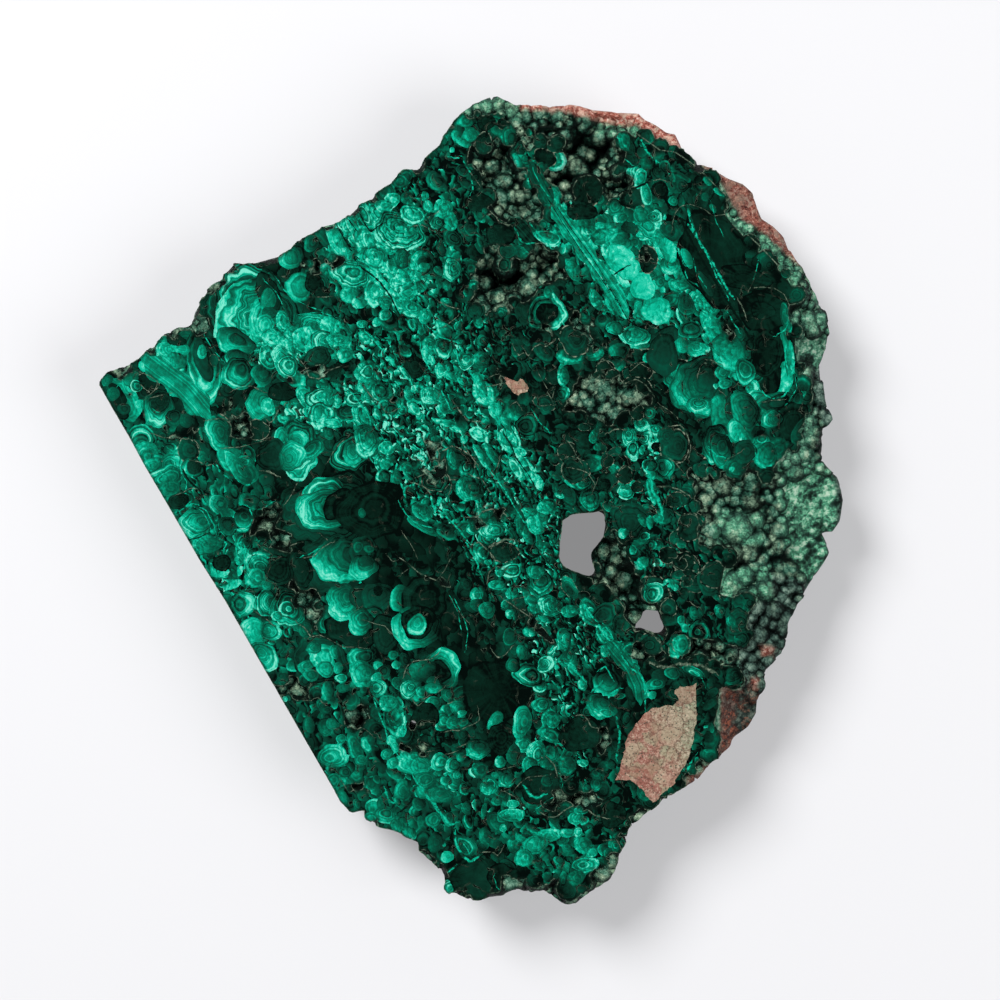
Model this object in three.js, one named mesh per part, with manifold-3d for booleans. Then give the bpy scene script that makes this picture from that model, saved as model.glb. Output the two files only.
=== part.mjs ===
// A polished slab of malachite with pale red host rock grown onto its rim.
// One natural piece: a flat sawn back, a flat polished face, one straight sawn
// side, a rough nodular rind on every other side, and open cavities between
// the nodules, two of which run right through the slab.
// Millimetres, +Z up. The slab lies on its sawn back with the polished face up.
import * as THREE from "three";
import { mergeVertices } from "three/addons/utils/BufferGeometryUtils.js";
import Module from "manifold-3d";

// Driving dimensions.
const SLAB_WIDTH = 138;
const SLAB_THICKNESS = 15;

// Outlines are read off a face-on view as [x, y] in view pixels, y downwards.
// The view's extent of the slab sets the scale.
const VIEW_LEFT = 98;
const VIEW_RIGHT = 846;
const VIEW_TOP = 96;
const VIEW_BOTTOM = 906;
const MM_PER_PIXEL = SLAB_WIDTH / (VIEW_RIGHT - VIEW_LEFT);
const VIEW_CENTRE = new THREE.Vector2(
  (VIEW_LEFT + VIEW_RIGHT) / 2,
  (VIEW_TOP + VIEW_BOTTOM) / 2,
);

// The silhouette, clockwise from the left corner, in stretches that share one
// kind of edge. inset is how far the polished face's edge lies inside the
// silhouette, and drop is how far below the polished face the silhouette's
// widest line runs, both in millimetres.
const EDGE_STRETCHES = [
  {
    kind: "nodular rind, upper left",
    inset: 1.7,
    drop: 4.5,
    points: [
      [98, 381], [106, 371], [128, 364], [143, 350], [160, 334], [180, 326],
      [191, 325], [192, 308], [201, 290], [222, 278], [230, 263], [245, 262],
      [270, 257], [288, 247], [306, 235], [333, 223],
    ],
  },
  {
    kind: "thin broken edge, upper left",
    inset: 0.5,
    drop: 2.5,
    points: [
      [347, 215], [360, 202], [379, 189], [399, 170], [415, 168], [425, 156],
      [440, 145], [451, 128],
    ],
  },
  {
    kind: "rounded crust, top",
    inset: 2.6,
    drop: 5,
    points: [[461, 110], [480, 99], [494, 96], [514, 105], [535, 104]],
  },
  {
    kind: "host rock, upper right",
    inset: 4.4,
    drop: 6.5,
    points: [
      [555, 104], [567, 101], [590, 106], [620, 109], [640, 110], [660, 122],
      [677, 132], [686, 152], [711, 166], [740, 180], [758, 202], [772, 221],
      [790, 242], [806, 268],
    ],
  },
  {
    kind: "natural surface, right",
    inset: 6.5,
    drop: 5.5,
    points: [
      [816, 294], [829, 315], [831, 336], [825, 362], [826, 390], [834, 419],
      [825, 441], [829, 464], [843, 480], [846, 502], [838, 526], [828, 534],
      [832, 557], [815, 577], [799, 602], [789, 627], [784, 652],
    ],
  },
  {
    kind: "natural surface, lower right",
    inset: 4,
    drop: 5,
    points: [
      [771, 667], [767, 689], [759, 711], [744, 735], [733, 749], [712, 762],
      [697, 781],
    ],
  },
  {
    kind: "broken edge, lower right",
    inset: 0.9,
    drop: 4,
    points: [[677, 792], [657, 807], [636, 821], [627, 831], [621, 857]],
  },
  {
    kind: "nodular rind, bottom",
    inset: 2.4,
    drop: 4.5,
    points: [
      [613, 875], [593, 893], [575, 905], [563, 906], [550, 893], [534, 893],
      [525, 897], [512, 891],
    ],
  },
  {
    kind: "broken edge, bottom",
    inset: 0.7,
    drop: 4,
    points: [
      [504, 898], [468, 900], [448, 895], [443, 874], [419, 848], [402, 830],
      [378, 824], [363, 811], [346, 807],
    ],
  },
  {
    kind: "cut away by the saw, lower left",
    inset: 0.7,
    drop: 4,
    points: [[318, 806], [160, 560], [86, 404]],
  },
];

// The saw's straight path down the lower left side, from its upper end.
const SAW_PATH = [[98, 384], [341, 804]];

// The wall below the widest line, as depth share and how far it draws in.
const WALL_ROWS = [
  { share: 0, draw_in: 0 },
  { share: 0.6, draw_in: 0.6 },
  { share: 1, draw_in: 1.6 },
];
const WIDEST_ROW = 2;
const SHOULDER = { inset_share: 0.4, drop_share: 0.22 };
const LONGEST_EDGE_STEP = 4;
const NORMAL_REACH = 4;
const WALL_ROUGHNESS = 0.45;

// Cavities that open on the polished face: [x, y, radius, depth], the radius
// in view pixels and the depth in millimetres. Overlapping ones make one cavity.
const CAVITIES = [
  [500, 165, 34, 3.6], [534, 150, 24, 3.2], [497, 198, 24, 3], [528, 200, 22, 3],
  [590, 150, 34, 4.2], [563, 172, 24, 3.6], [622, 180, 20, 3.2],
  [492, 275, 26, 6.2], [525, 285, 30, 6.8], [548, 262, 16, 4.6],
  [605, 382, 26, 1.6], [585, 400, 22, 1.6], [620, 410, 22, 1.4],
  [712, 500, 26, 5], [742, 522, 30, 5], [728, 555, 28, 4.6], [765, 560, 26, 5],
  [762, 600, 26, 5], [700, 652, 26, 6.4], [728, 650, 16, 5],
  [612, 556, 26, 7], [628, 592, 24, 8], [640, 612, 18, 9],
  [238, 428, 16, 4], [268, 520, 18, 4], [274, 544, 16, 4], [308, 605, 18, 4.5],
  [300, 690, 20, 4], [572, 795, 20, 4.5],
];

// Openings right through the slab, as outlines in view pixels.
const THROUGH_HOLES = [
  [
    [566, 514], [585, 515], [604, 509], [608, 525], [596, 545], [592, 558],
    [598, 577], [576, 572], [558, 556], [562, 530],
  ],
  [[646, 611], [660, 613], [667, 634], [650, 630], [634, 631], [638, 618]],
  [[409, 719], [417, 722], [419, 736], [409, 732]],
];

// Whole nodules that stand in the cavities, below the polished face:
// [x, y, radius] in view pixels, and the height of the top in millimetres.
const NODULES = [
  [492, 168, 15, 13.4], [515, 178, 14, 13], [545, 178, 12, 13.4], [583, 158, 17, 13.2],
  [567, 188, 12, 13], [502, 204, 13, 13.4],
  [507, 256, 18, 14.2], [527, 288, 19, 12], [484, 292, 15, 12.2],
  [718, 490, 16, 13.4], [742, 500, 15, 13], [722, 528, 18, 12.8], [750, 530, 17, 12.4],
  [740, 556, 15, 12], [768, 592, 18, 12.8],
  [606, 554, 16, 11.4], [625, 580, 18, 12.4], [268, 528, 13, 12.6], [306, 612, 13, 12.8],
];

const SOFT_STONE_GREEN = 0x0f6b4c;

const wasm = await Module();
wasm.setup();

const toSlab = ([x, y]) =>
  new THREE.Vector2(
    (x - VIEW_CENTRE.x) * MM_PER_PIXEL,
    (VIEW_CENTRE.y - y) * MM_PER_PIXEL,
  );

// The silhouette as a smooth closed curve through its points, each sample
// with its inset and drop. Both change over the step between two stretches.
function edgePoints() {
  const corners = EDGE_STRETCHES.flatMap(({ inset, drop, points }) =>
    points.map((point) => ({ at: toSlab(point), inset, drop })),
  );
  const line = new THREE.CatmullRomCurve3(
    corners.map(({ at }) => new THREE.Vector3(at.x, at.y, 0)),
    true,
    "centripetal",
  );
  return corners.flatMap((from, i) => {
    const to = corners[(i + 1) % corners.length];
    const steps = Math.ceil(from.at.distanceTo(to.at) / LONGEST_EDGE_STEP);
    return Array.from({ length: steps }, (_, k) => {
      const at = line.getPoint((i + k / steps) / corners.length);
      return {
        at: new THREE.Vector2(at.x, at.y),
        inset: THREE.MathUtils.lerp(from.inset, to.inset, k / steps),
        drop: THREE.MathUtils.lerp(from.drop, to.drop, k / steps),
      };
    });
  });
}

// Inward unit normals of a clockwise outline, taken over a wide stretch so
// that an inset line runs smoothly past small notches.
function inwardNormals(edge) {
  const count = edge.length;
  return edge.map((_, i) => {
    const before = edge[(i + count - NORMAL_REACH) % count].at;
    const after = edge[(i + NORMAL_REACH) % count].at;
    const along = after.clone().sub(before).normalize();
    return new THREE.Vector2(along.y, -along.x);
  });
}

// A smooth wobble that makes the rind uneven.
function wobble(i, row) {
  return WALL_ROUGHNESS * Math.sin(i * 1.9 + row * 2.3) * Math.sin(i * 0.53 + row);
}

// The body: rings from the polished face's edge down to the sawn back.
function bodyRings() {
  const edge = edgePoints();
  const normals = inwardNormals(edge);
  const ring = (inwards, height, row) =>
    edge.map((point, i) => {
      const move = inwards(point) + (row > 0 ? Math.max(0, wobble(i, row)) : 0);
      const at = point.at.clone().addScaledVector(normals[i], move);
      return new THREE.Vector3(at.x, at.y, height(point));
    });
  const face = ring((p) => p.inset, () => SLAB_THICKNESS, 0);
  const shoulder = ring(
    (p) => p.inset * SHOULDER.inset_share,
    (p) => SLAB_THICKNESS - p.drop * SHOULDER.drop_share,
    1,
  );
  const wall = WALL_ROWS.map(({ share, draw_in }, k) =>
    ring(
      () => draw_in,
      (p) => (SLAB_THICKNESS - p.drop) * (1 - share),
      k + 2,
    ),
  );
  return [face, shoulder, ...wall];
}

// Joins rings of equal length into one closed body with flat caps.
function loft(rings) {
  const count = rings[0].length;
  const positions = rings.flat().flatMap((v) => [v.x, v.y, v.z]);
  const index = [];
  for (let row = 0; row + 1 < rings.length; row++) {
    for (let i = 0; i < count; i++) {
      const next = (i + 1) % count;
      const [a, b] = [row * count + i, row * count + next];
      const [c, d] = [a + count, b + count];
      index.push(a, b, c, b, d, c);
    }
  }
  const outline = rings[WIDEST_ROW].map((v) => new THREE.Vector2(v.x, v.y));
  const lastRow = (rings.length - 1) * count;
  for (const [a, b, c] of THREE.ShapeUtils.triangulateShape(outline, [])) {
    const [p, q, r] = [a, b, c].map((k) => outline[k]);
    const anticlockwise = q.clone().sub(p).cross(r.clone().sub(p)) > 0;
    const top = anticlockwise ? [a, b, c] : [c, b, a];
    index.push(...top);
    index.push(...top.map((k) => lastRow + k).reverse());
  }
  return new THREE.BufferGeometry()
    .setAttribute("position", new THREE.Float32BufferAttribute(positions, 3))
    .setIndex(index);
}

function toSolid(geometry) {
  const bare = geometry.clone();
  bare.deleteAttribute("normal");
  bare.deleteAttribute("uv");
  const merged = mergeVertices(bare, 1e-4);
  return new wasm.Manifold(
    new wasm.Mesh({
      numProp: 3,
      vertProperties: new Float32Array(merged.attributes.position.array),
      triVerts: new Uint32Array(merged.index.array),
    }),
  );
}

function toGeometry(solid) {
  const mesh = solid.getMesh();
  return new THREE.BufferGeometry()
    .setAttribute("position", new THREE.BufferAttribute(mesh.vertProperties, 3))
    .setIndex(new THREE.BufferAttribute(mesh.triVerts, 1));
}

// A squashed ball, as wide as radius and as deep as depth below the face.
function cavity([x, y, radius, depth]) {
  const centre = toSlab([x, y]);
  const ball = new THREE.SphereGeometry(1, 11, 8).rotateX(Math.PI / 2);
  ball.scale(radius * MM_PER_PIXEL, radius * MM_PER_PIXEL, depth);
  ball.translate(centre.x, centre.y, SLAB_THICKNESS);
  return toSolid(ball);
}

function throughHole(outline) {
  const shape = new THREE.Shape(outline.map(toSlab));
  const past = 1;
  const plug = new THREE.ExtrudeGeometry(shape, {
    depth: SLAB_THICKNESS + 2 * past,
    bevelEnabled: false,
  });
  return toSolid(plug.translate(0, 0, -past));
}

// A round-topped nodule that stands on the cavity's floor, inside the slab.
function nodule([x, y, radius, top]) {
  const centre = toSlab([x, y]);
  const width = radius * MM_PER_PIXEL;
  const ball = new THREE.SphereGeometry(width, 9, 8).rotateX(Math.PI / 2);
  const root = SLAB_THICKNESS / 3;
  const stretch = (top - root) / (2 * width);
  ball.scale(1, 1, stretch).translate(centre.x, centre.y, (top + root) / 2);
  return toSolid(ball);
}

// Everything beyond the saw's path.
function sawWaste() {
  const [start, end] = SAW_PATH.map(toSlab);
  const along = end.clone().sub(start);
  const length = along.length() * 1.2;
  const reach = SLAB_THICKNESS * 3;
  const waste = new THREE.BoxGeometry(length, reach, reach);
  waste.translate(0, -reach / 2, 0);
  waste.rotateZ(along.angle());
  const middle = start.clone().lerp(end, 0.5);
  return toSolid(waste.translate(middle.x, middle.y, 0));
}

function slabSolid() {
  const body = toSolid(loft(bodyRings())).subtract(sawWaste());
  const holes = THROUGH_HOLES.map(throughHole);
  const cut = CAVITIES.map(cavity).reduce((rest, hollow) => rest.subtract(hollow), body);
  const grown = NODULES.map(nodule).reduce(
    (rest, ball) => rest.add(ball.intersect(body)),
    cut,
  );
  return holes.reduce((rest, hole) => rest.subtract(hole), grown);
}

// Puts the middle of the slab's underside at the origin.
function centred(geometry) {
  geometry.computeBoundingBox();
  const { min, max } = geometry.boundingBox;
  return geometry.translate(-(min.x + max.x) / 2, -(min.y + max.y) / 2, -min.z);
}

const slab = new THREE.Mesh(
  centred(toGeometry(slabSolid())),
  new THREE.MeshStandardMaterial({
    color: SOFT_STONE_GREEN,
    roughness: 0.25,
    metalness: 0,
  }),
);
slab.name = "malachite_slab";

const group = new THREE.Group();
group.add(slab);

export default group;
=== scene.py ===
import math

import bpy
import numpy as np
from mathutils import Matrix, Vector, geometry, kdtree, noise


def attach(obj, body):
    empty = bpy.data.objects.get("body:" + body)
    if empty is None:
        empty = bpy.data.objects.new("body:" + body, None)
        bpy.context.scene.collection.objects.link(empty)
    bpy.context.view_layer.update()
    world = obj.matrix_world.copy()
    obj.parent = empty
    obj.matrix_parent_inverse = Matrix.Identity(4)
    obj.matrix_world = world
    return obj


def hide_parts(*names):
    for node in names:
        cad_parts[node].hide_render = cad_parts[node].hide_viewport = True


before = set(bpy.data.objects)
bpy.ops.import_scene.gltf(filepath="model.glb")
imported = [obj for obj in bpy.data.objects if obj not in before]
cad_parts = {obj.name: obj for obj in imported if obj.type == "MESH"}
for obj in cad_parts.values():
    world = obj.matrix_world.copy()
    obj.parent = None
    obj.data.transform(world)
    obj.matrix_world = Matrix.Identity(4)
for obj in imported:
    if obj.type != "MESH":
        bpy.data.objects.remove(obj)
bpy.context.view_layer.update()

# Numbers
# Everything up to the finished mesh is in millimetres. Places on the face are given as picture
# pixels, x to the right and y down.
PIXEL = 0.1838                  # millimetres a pixel
MIDDLE = (472.0, 501.0)         # the pixel above the origin
PICTURE = 1000                  # pixels across the picture
THICK = 15.0                    # sawn back to polished face
STEP = 0.66                     # spacing of the face's triangles
ROW = 0.866                     # height of a triangle with sides of one
METRES = 0.001                  # metres in a millimetre

# Parts of the surface: the polished face, the natural stone seen from above, the sawn side,
# the natural walls and the sawn back.
POLISHED, NATURAL, SAWN, WALL, BACK = range(5)
# Kinds of things that the polished face cuts.
PLAIN, BAND, ROCK, OUTLINED = range(4)
# Kinds of lines drawn on the polished face: pale crust, bright green stone and black cracks.
PALE_LINE, GREEN_LINE, CRACK = 1, 2, 3


def mm(points):
    """Picture pixels to millimetres."""
    p = np.asarray(points, float)
    return np.stack([(p[..., 0] - MIDDLE[0]) * PIXEL, (MIDDLE[1] - p[..., 1]) * PIXEL], -1)


# The silhouette, clockwise from the left corner, in stretches: (how many pixels the polished
# face's edge lies inside it, how many millimetres the widest line lies below the face, points).
STRETCHES = [
    (7, 4.5, [(98, 384), (100, 379), (108, 371), (118, 367), (130, 363)]),
    (5, 4.5, [(140, 356), (157, 340), (165, 333), (177, 327), (190, 326), (192, 312), (199, 300),
              (206, 288)]),
    (5, 4.0, [(220, 279), (225, 270), (233, 262), (247, 263), (265, 258), (280, 254), (290, 248)]),
    (3, 2.5, [(300, 238), (311, 233), (322, 226), (339, 221), (348, 215), (359, 204), (370, 199),
              (380, 189), (390, 183), (392, 179), (404, 168), (418, 168), (425, 157), (439, 144),
              (442, 136), (454, 121)]),
    (6, 4.0, [(462, 111), (473, 103), (488, 97), (497, 96), (509, 100)]),
    (6, 4.5, [(515, 104), (527, 103), (547, 104), (560, 104), (570, 101), (581, 103), (594, 107)]),
    (8, 5.0, [(614, 108), (640, 110), (646, 116), (658, 122), (668, 129), (677, 131), (682, 141),
              (686, 152), (696, 160), (709, 166), (717, 167), (729, 175), (745, 181), (755, 190),
              (760, 206), (764, 216), (776, 224), (786, 234), (791, 247), (796, 258)]),
    (9, 6.0, [(806, 271), (813, 285), (819, 298), (828, 310), (830, 321), (832, 331), (830, 347),
              (823, 365), (824, 377), (826, 398), (831, 411), (835, 419), (829, 426), (824, 429),
              (826, 444), (824, 460), (831, 469), (841, 476), (844, 485), (847, 500), (844, 521),
              (836, 533), (826, 534), (831, 544), (833, 554), (827, 565), (814, 583), (805, 598),
              (791, 619), (790, 626), (789, 637), (785, 655)]),
    (9, 5.5, [(771, 666), (766, 679), (767, 688), (760, 701), (759, 715), (751, 729), (735, 741),
              (733, 749), (724, 757), (713, 761), (698, 780)]),
    (6, 5.0, [(681, 790), (670, 798), (657, 807), (644, 816), (629, 829), (625, 845), (620, 857)]),
    (12, 5.5, [(617, 870), (608, 883), (593, 893), (575, 905), (562, 906), (552, 898), (544, 891),
               (525, 896), (513, 891)]),
    (3, 4.0, [(503, 898), (483, 900), (468, 901), (460, 896), (447, 895), (443, 889), (444, 879),
              (440, 870), (427, 859), (418, 852), (418, 843), (406, 838), (394, 832), (378, 827),
              (365, 820), (363, 811), (351, 813)]),
    (0, 0.0, [(341, 804), (327, 779), (301, 734), (260, 663), (224, 600), (200, 562), (160, 493),
              (144, 466), (129, 438), (112, 409)]),
]
# The openings that go right through.
HOLES = [
    [(563, 520), (572, 514), (590, 513), (604, 510), (607, 527), (602, 540), (592, 552), (592, 562),
     (598, 577), (584, 575), (572, 570), (563, 565), (559, 557), (561, 534)],
    [(645, 610), (660, 611), (662, 621), (668, 633), (665, 637), (655, 633), (645, 629), (634, 632),
     (636, 624), (641, 618)],
    [(411, 720), (417, 722), (414, 730), (419, 737), (413, 734), (409, 726)],
]
# Cavities: (x, y, half length, half width, turn in degrees, depth in mm).
CAVITIES = [
    (783, 553, 14, 4, 5, 4.5), (753, 591, 6, 7, 0, 5.0), (787, 588, 5, 3, 0, 4.0),
    (590, 131, 26, 5, 8, 4.5), (498, 168, 34, 26, 60, 3.4), (520, 205, 34, 20, 20, 3.4),
    (548, 140, 34, 14, 10, 3.0), (590, 150, 34, 30, 0, 4.6), (618, 186, 26, 16, -20, 3.4),
    (565, 180, 20, 20, 0, 4.0), (610, 122, 40, 12, 8, 4.0), (520, 120, 26, 12, 10, 1.6),
    (505, 275, 34, 28, 20, 7.0), (545, 265, 20, 26, -20, 6.0), (490, 300, 22, 14, 20, 4.0),
    (318, 266, 22, 6, -14, 3.0), (226, 400, 5, 20, -8, 6.0), (238, 424, 18, 12, 20, 4.5),
    (320, 372, 26, 5, -14, 2.4), (391, 404, 11, 7, 20, 3.0), (178, 433, 24, 5, 4, 1.6),
    (436, 452, 6, 20, -16, 5.0), (268, 516, 26, 9, 120, 3.6), (280, 540, 22, 8, 20, 3.6),
    (306, 600, 12, 22, -30, 4.0), (318, 630, 14, 8, 40, 3.0), (296, 688, 20, 10, 10, 3.4),
    (360, 716, 14, 20, 0, 2.6), (410, 745, 20, 6, 20, 2.6), (600, 735, 7, 20, -20, 6.0),
    (575, 798, 30, 12, -8, 4.2), (404, 809, 8, 5, 30, 3.0), (352, 782, 10, 6, 20, 2.0),
    (493, 848, 8, 4, 20, 3.0), (706, 652, 32, 11, 8, 8.0), (644, 652, 18, 8, 10, 2.0),
    (545, 333, 12, 7, 20, 4.0), (600, 350, 5, 9, 0, 3.0), (643, 250, 8, 12, 10, 4.0),
    (622, 292, 7, 8, 30, 3.4), (712, 350, 4, 12, 20, 4.0), (730, 330, 5, 14, 20, 4.0),
    (610, 552, 22, 22, 0, 6.0), (624, 585, 24, 20, 50, 6.6), (640, 608, 16, 20, -30, 7.0),
    (605, 398, 44, 26, 0, 1.1), (580, 330, 18, 12, 30, 2.0), (570, 320, 10, 10, 30, 2.0),
    (500, 653, 12, 3, 10, 1.6), (412, 568, 30, 4, 25, 1.4), (560, 778, 18, 3, 50, 1.4),
    (484, 520, 30, 4, -20, 1.6), (430, 478, 20, 4, 30, 1.6), (520, 610, 30, 3, 45, 1.2),
    (600, 585, 26, 5, 20, 5.0), (500, 380, 10, 3, 60, 1.2), (545, 115, 34, 13, 4, 2.6),
    (602, 118, 30, 10, 12, 3.0),
]
# Natural surfaces that slope down from the polished face: (first drop, fall for each millimetre
# inwards, deepest drop, outline).
SLOPES = [
    (0.5, 0.5, 2.6, [(84, 388), (90, 368), (108, 352), (128, 352), (135, 362), (125, 372), (120, 378),
                     (116, 381), (108, 376), (101, 382)]),
    (0.5, 0.5, 2.6, [(134, 346), (146, 328), (160, 316), (190, 308), (204, 312), (208, 328), (200, 333),
                     (192, 335), (187, 339), (180, 337), (172, 338), (165, 343), (155, 349),
                     (146, 354)]),
    (0.5, 0.5, 2.6, [(182, 322), (182, 305), (190, 288), (200, 276), (216, 266), (221, 284), (212, 291),
                     (206, 299), (203, 310), (205, 320), (206, 325)]),
    (1.0, 0.5, 3.5, [(722, 690), (735, 686), (748, 672), (780, 672), (775, 745), (736, 765), (714, 756),
                     (714, 735), (720, 712)]),
    (1.2, 0.17, 4.8, [(690, 470), (712, 476), (742, 468), (770, 480), (780, 462), (800, 452),
                      (812, 440), (860, 440), (870, 700), (790, 720), (764, 700), (744, 690),
                      (726, 655), (748, 640), (752, 602), (722, 592), (730, 552), (700, 542),
                      (700, 520), (688, 500)]),
    (0.5, 0.3, 4.0, [(590, 80), (590, 116), (620, 127), (636, 126), (655, 144), (680, 152), (705, 170),
                     (722, 185), (728, 215), (745, 235), (765, 255), (785, 272), (797, 290), (790, 312),
                     (797, 340), (802, 385), (808, 420), (797, 440), (782, 462), (880, 470),
                     (880, 80)]),
    (0.4, 0.3, 3.0, [(735, 650), (742, 690), (738, 730), (716, 752), (690, 772), (672, 792),
                     (700, 810), (800, 760), (800, 640)]),
    (0.5, 0.35, 3.0, [(505, 868), (530, 878), (560, 882), (566, 920), (500, 920)]),
    (0.5, 0.35, 3.0, [(588, 880), (604, 862), (618, 850), (640, 880), (600, 912), (578, 912)]),
    (0.4, 0.3, 2.0, [(450, 90), (462, 118), (488, 112), (512, 118), (560, 116), (600, 116), (600, 90)]),
]
# Patches of the rough surface: (share of red rock, of rust, of mint, outline).
PATCHES = [
    (0, 0.9, 0, [(745, 600), (775, 575), (808, 582), (840, 560), (840, 600), (800, 655), (785, 690),
                 (745, 705), (735, 640)]),
    (0, 0.7, 0, [(832, 470), (850, 480), (850, 530), (838, 530), (836, 500)]),
    (1, 0, 0, [(512, 90), (600, 90), (690, 125), (692, 158), (664, 151), (646, 134), (620, 125),
               (590, 117), (560, 109), (515, 108)]),
    (1, 0.5, 0, [(700, 155), (760, 175), (805, 235), (803, 266), (782, 248), (762, 232), (738, 222),
                 (727, 200), (712, 178)]),
    (1, 0.9, 0, [(720, 688), (740, 690), (742, 715), (734, 750), (710, 760), (716, 715)]),
    (0.6, 1, 0, [(738, 690), (770, 700), (764, 735), (732, 752), (738, 715)]),
    (0.8, 0.8, 0, [(720, 752), (730, 760), (690, 795), (668, 800), (672, 790), (700, 772)]),
    (1, 0.4, 0, [(752, 678), (760, 680), (758, 690), (750, 690)]),
    (1, 0.4, 0, [(762, 646), (776, 648), (774, 656), (762, 656)]),
    (0, 0, 1, [(776, 462), (832, 462), (840, 500), (834, 560), (826, 590), (804, 580), (786, 540)]),
    (0, 0, 0.8, [(712, 512), (764, 512), (764, 545), (716, 545)]),
    (0, 0, 0.9, [(704, 570), (770, 566), (775, 600), (712, 602)]),
    (0, 0, 0.6, [(450, 90), (520, 90), (520, 120), (462, 122)]),
    (0, 0, 0.5, [(740, 225), (830, 300), (830, 330), (790, 300)]),
    (0, 0, 0.8, [(592, 120), (640, 126), (656, 140), (644, 142), (618, 136), (598, 133)]),
    (0, 0, 0.85, [(710, 170), (722, 182), (734, 206), (748, 222), (764, 232), (780, 246), (796, 268),
                  (800, 292), (790, 300), (770, 262), (745, 238), (725, 216)]),
    (0, 0.3, 0.75, [(786, 296), (830, 300), (834, 340), (826, 380), (812, 440), (796, 470), (782, 462),
                    (804, 400)]),
    (0, 1, 0, [(812, 372), (826, 366), (840, 420), (830, 430), (818, 412)]),
    (0, 0.2, 0.7, [(700, 686), (722, 690), (722, 745), (706, 768)]),
]
# Whole nodules, listed one by one: (x, y, radius in pixels, depth of the top below the polished
# face in millimetres; below nought means that the face cuts it).
SET_NODULES = [
    (484, 145, 12, -0.9), (509, 138, 10, -0.8), (530, 132, 6, -0.6), (541, 140, 9, -0.8),
    (558, 142, 10, -0.8), (588, 190, 18, -1.6), (540, 165, 14, -0.5), (492, 165, 11, 1.2),
    (505, 180, 10, 1.0), (520, 195, 9, 1.0), (575, 165, 13, 1.0), (600, 135, 10, 1.2),
    (508, 250, 16, -0.6), (505, 265, 13, -0.4), (530, 287, 15, 2.6), (484, 282, 10, 3.0),
    (480, 262, 8, 2.6), (488, 297, 12, 2.2), (546, 262, 10, 3.6), (215, 430, 19, -2.0),
    (259, 428, 11, -0.9), (240, 425, 10, 1.4), (272, 512, 10, 1.2), (266, 528, 12, 1.0),
    (288, 540, 10, 1.2), (300, 592, 10, 1.2), (312, 614, 12, 1.2), (298, 690, 14, 1.0),
    (350, 715, 12, 0.8), (568, 795, 8, 2.4), (598, 805, 8, 1.8), (653, 645, 13, -1.0),
    (680, 645, 14, -1.0), (652, 592, 15, -1.0), (605, 552, 16, 3.4), (624, 580, 18, 2.8),
    (618, 560, 12, 3.6), (705, 500, 11, 1.8), (722, 486, 14, 0.6), (750, 500, 15, 1.4),
    (738, 530, 20, 1.6), (750, 555, 13, 2.6), (710, 530, 14, 2.2), (730, 585, 18, 1.0),
    (775, 610, 13, 2.6), (757, 520, 12, 2.4), (745, 575, 14, 1.4), (700, 553, 9, 1.6),
    (722, 565, 9, 1.8), (760, 636, 12, 2.2), (742, 655, 10, 2.4), (768, 590, 14, 2.6),
    (785, 628, 12, 3.0), (476, 163, 9, 1.2), (500, 180, 9, 1.2), (490, 188, 8, 1.4), (513, 195, 9, 1.4),
    (528, 193, 7, 1.6), (565, 185, 8, 1.0), (568, 198, 8, 1.2), (583, 170, 9, 1.2), (572, 160, 10, 1.4),
    (565, 135, 9, 0.2), (770, 498, 7, 1.6), (775, 513, 8, 1.8), (716, 528, 9, 2.0), (745, 550, 9, 2.0),
    (775, 612, 10, 2.6), (765, 622, 8, 3.0), (752, 618, 7, 3.0), (577, 793, 7, 2.2),
]
# Smooth broken stone without nodules.
SMOOTH = [
    [(781, 480), (800, 468), (838, 474), (848, 500), (846, 530), (834, 548), (834, 606), (812, 596),
     (798, 570), (788, 545), (780, 512)],
    [(790, 330), (832, 330), (832, 380), (812, 392), (800, 360)],
]
# Nodules scattered between the listed ones, large ones first: (spacing, radius, highest and
# lowest level of the stone that carries them, seed).
SCATTERED_NODULES = [(3.1, 2.0, 1.2, -9.0, 3), (1.9, 1.25, 0.6, -3.6, 4)]


# Measuring on the face
CHUNK = 20000                   # points measured at a time
SPREAD = (70, 76)               # half width and half height that scattered places cover
SPREAD_ROW = 0.87               # distance of their rows, in spacings
JITTER = 0.38                   # how far a scattered place strays, in spacings


def outline_distance(p, loop):
    """How far each point lies inside a closed loop, and its nearest side and share along it."""
    a, b = loop, np.roll(loop, -1, 0)
    d = b - a
    out = np.empty(len(p))
    side = np.empty(len(p), int)
    share = np.empty(len(p))
    for s in range(0, len(p), CHUNK):
        q = p[s:s + CHUNK, None]
        t = np.clip(((q - a) * d).sum(-1) / np.maximum((d * d).sum(-1), 1e-12), 0, 1)
        dist = np.linalg.norm(q - a - t[..., None] * d, axis=-1)
        k = dist.argmin(1)
        r = np.arange(len(k))
        crosses = ((a[:, 1] > q[..., 1]) != (b[:, 1] > q[..., 1]))
        with np.errstate(divide="ignore", invalid="ignore"):
            x = a[:, 0] + (q[..., 1] - a[:, 1]) / d[:, 1] * d[:, 0]
        inside = (crosses & (q[..., 0] < x)).sum(1) % 2 == 1
        out[s:s + CHUNK] = np.where(inside, 1, -1) * dist[r, k]
        side[s:s + CHUNK] = k
        share[s:s + CHUNK] = t[r, k]
    return out, side, share


def depth_in(p, pixels):
    """How far each point lies inside an outline given in picture pixels."""
    return outline_distance(p, mm(pixels))[0]


def smooth_noise(p, scale, seed=0.0):
    return np.array([noise.noise((x * scale, y * scale, seed)) for x, y in p])


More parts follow.
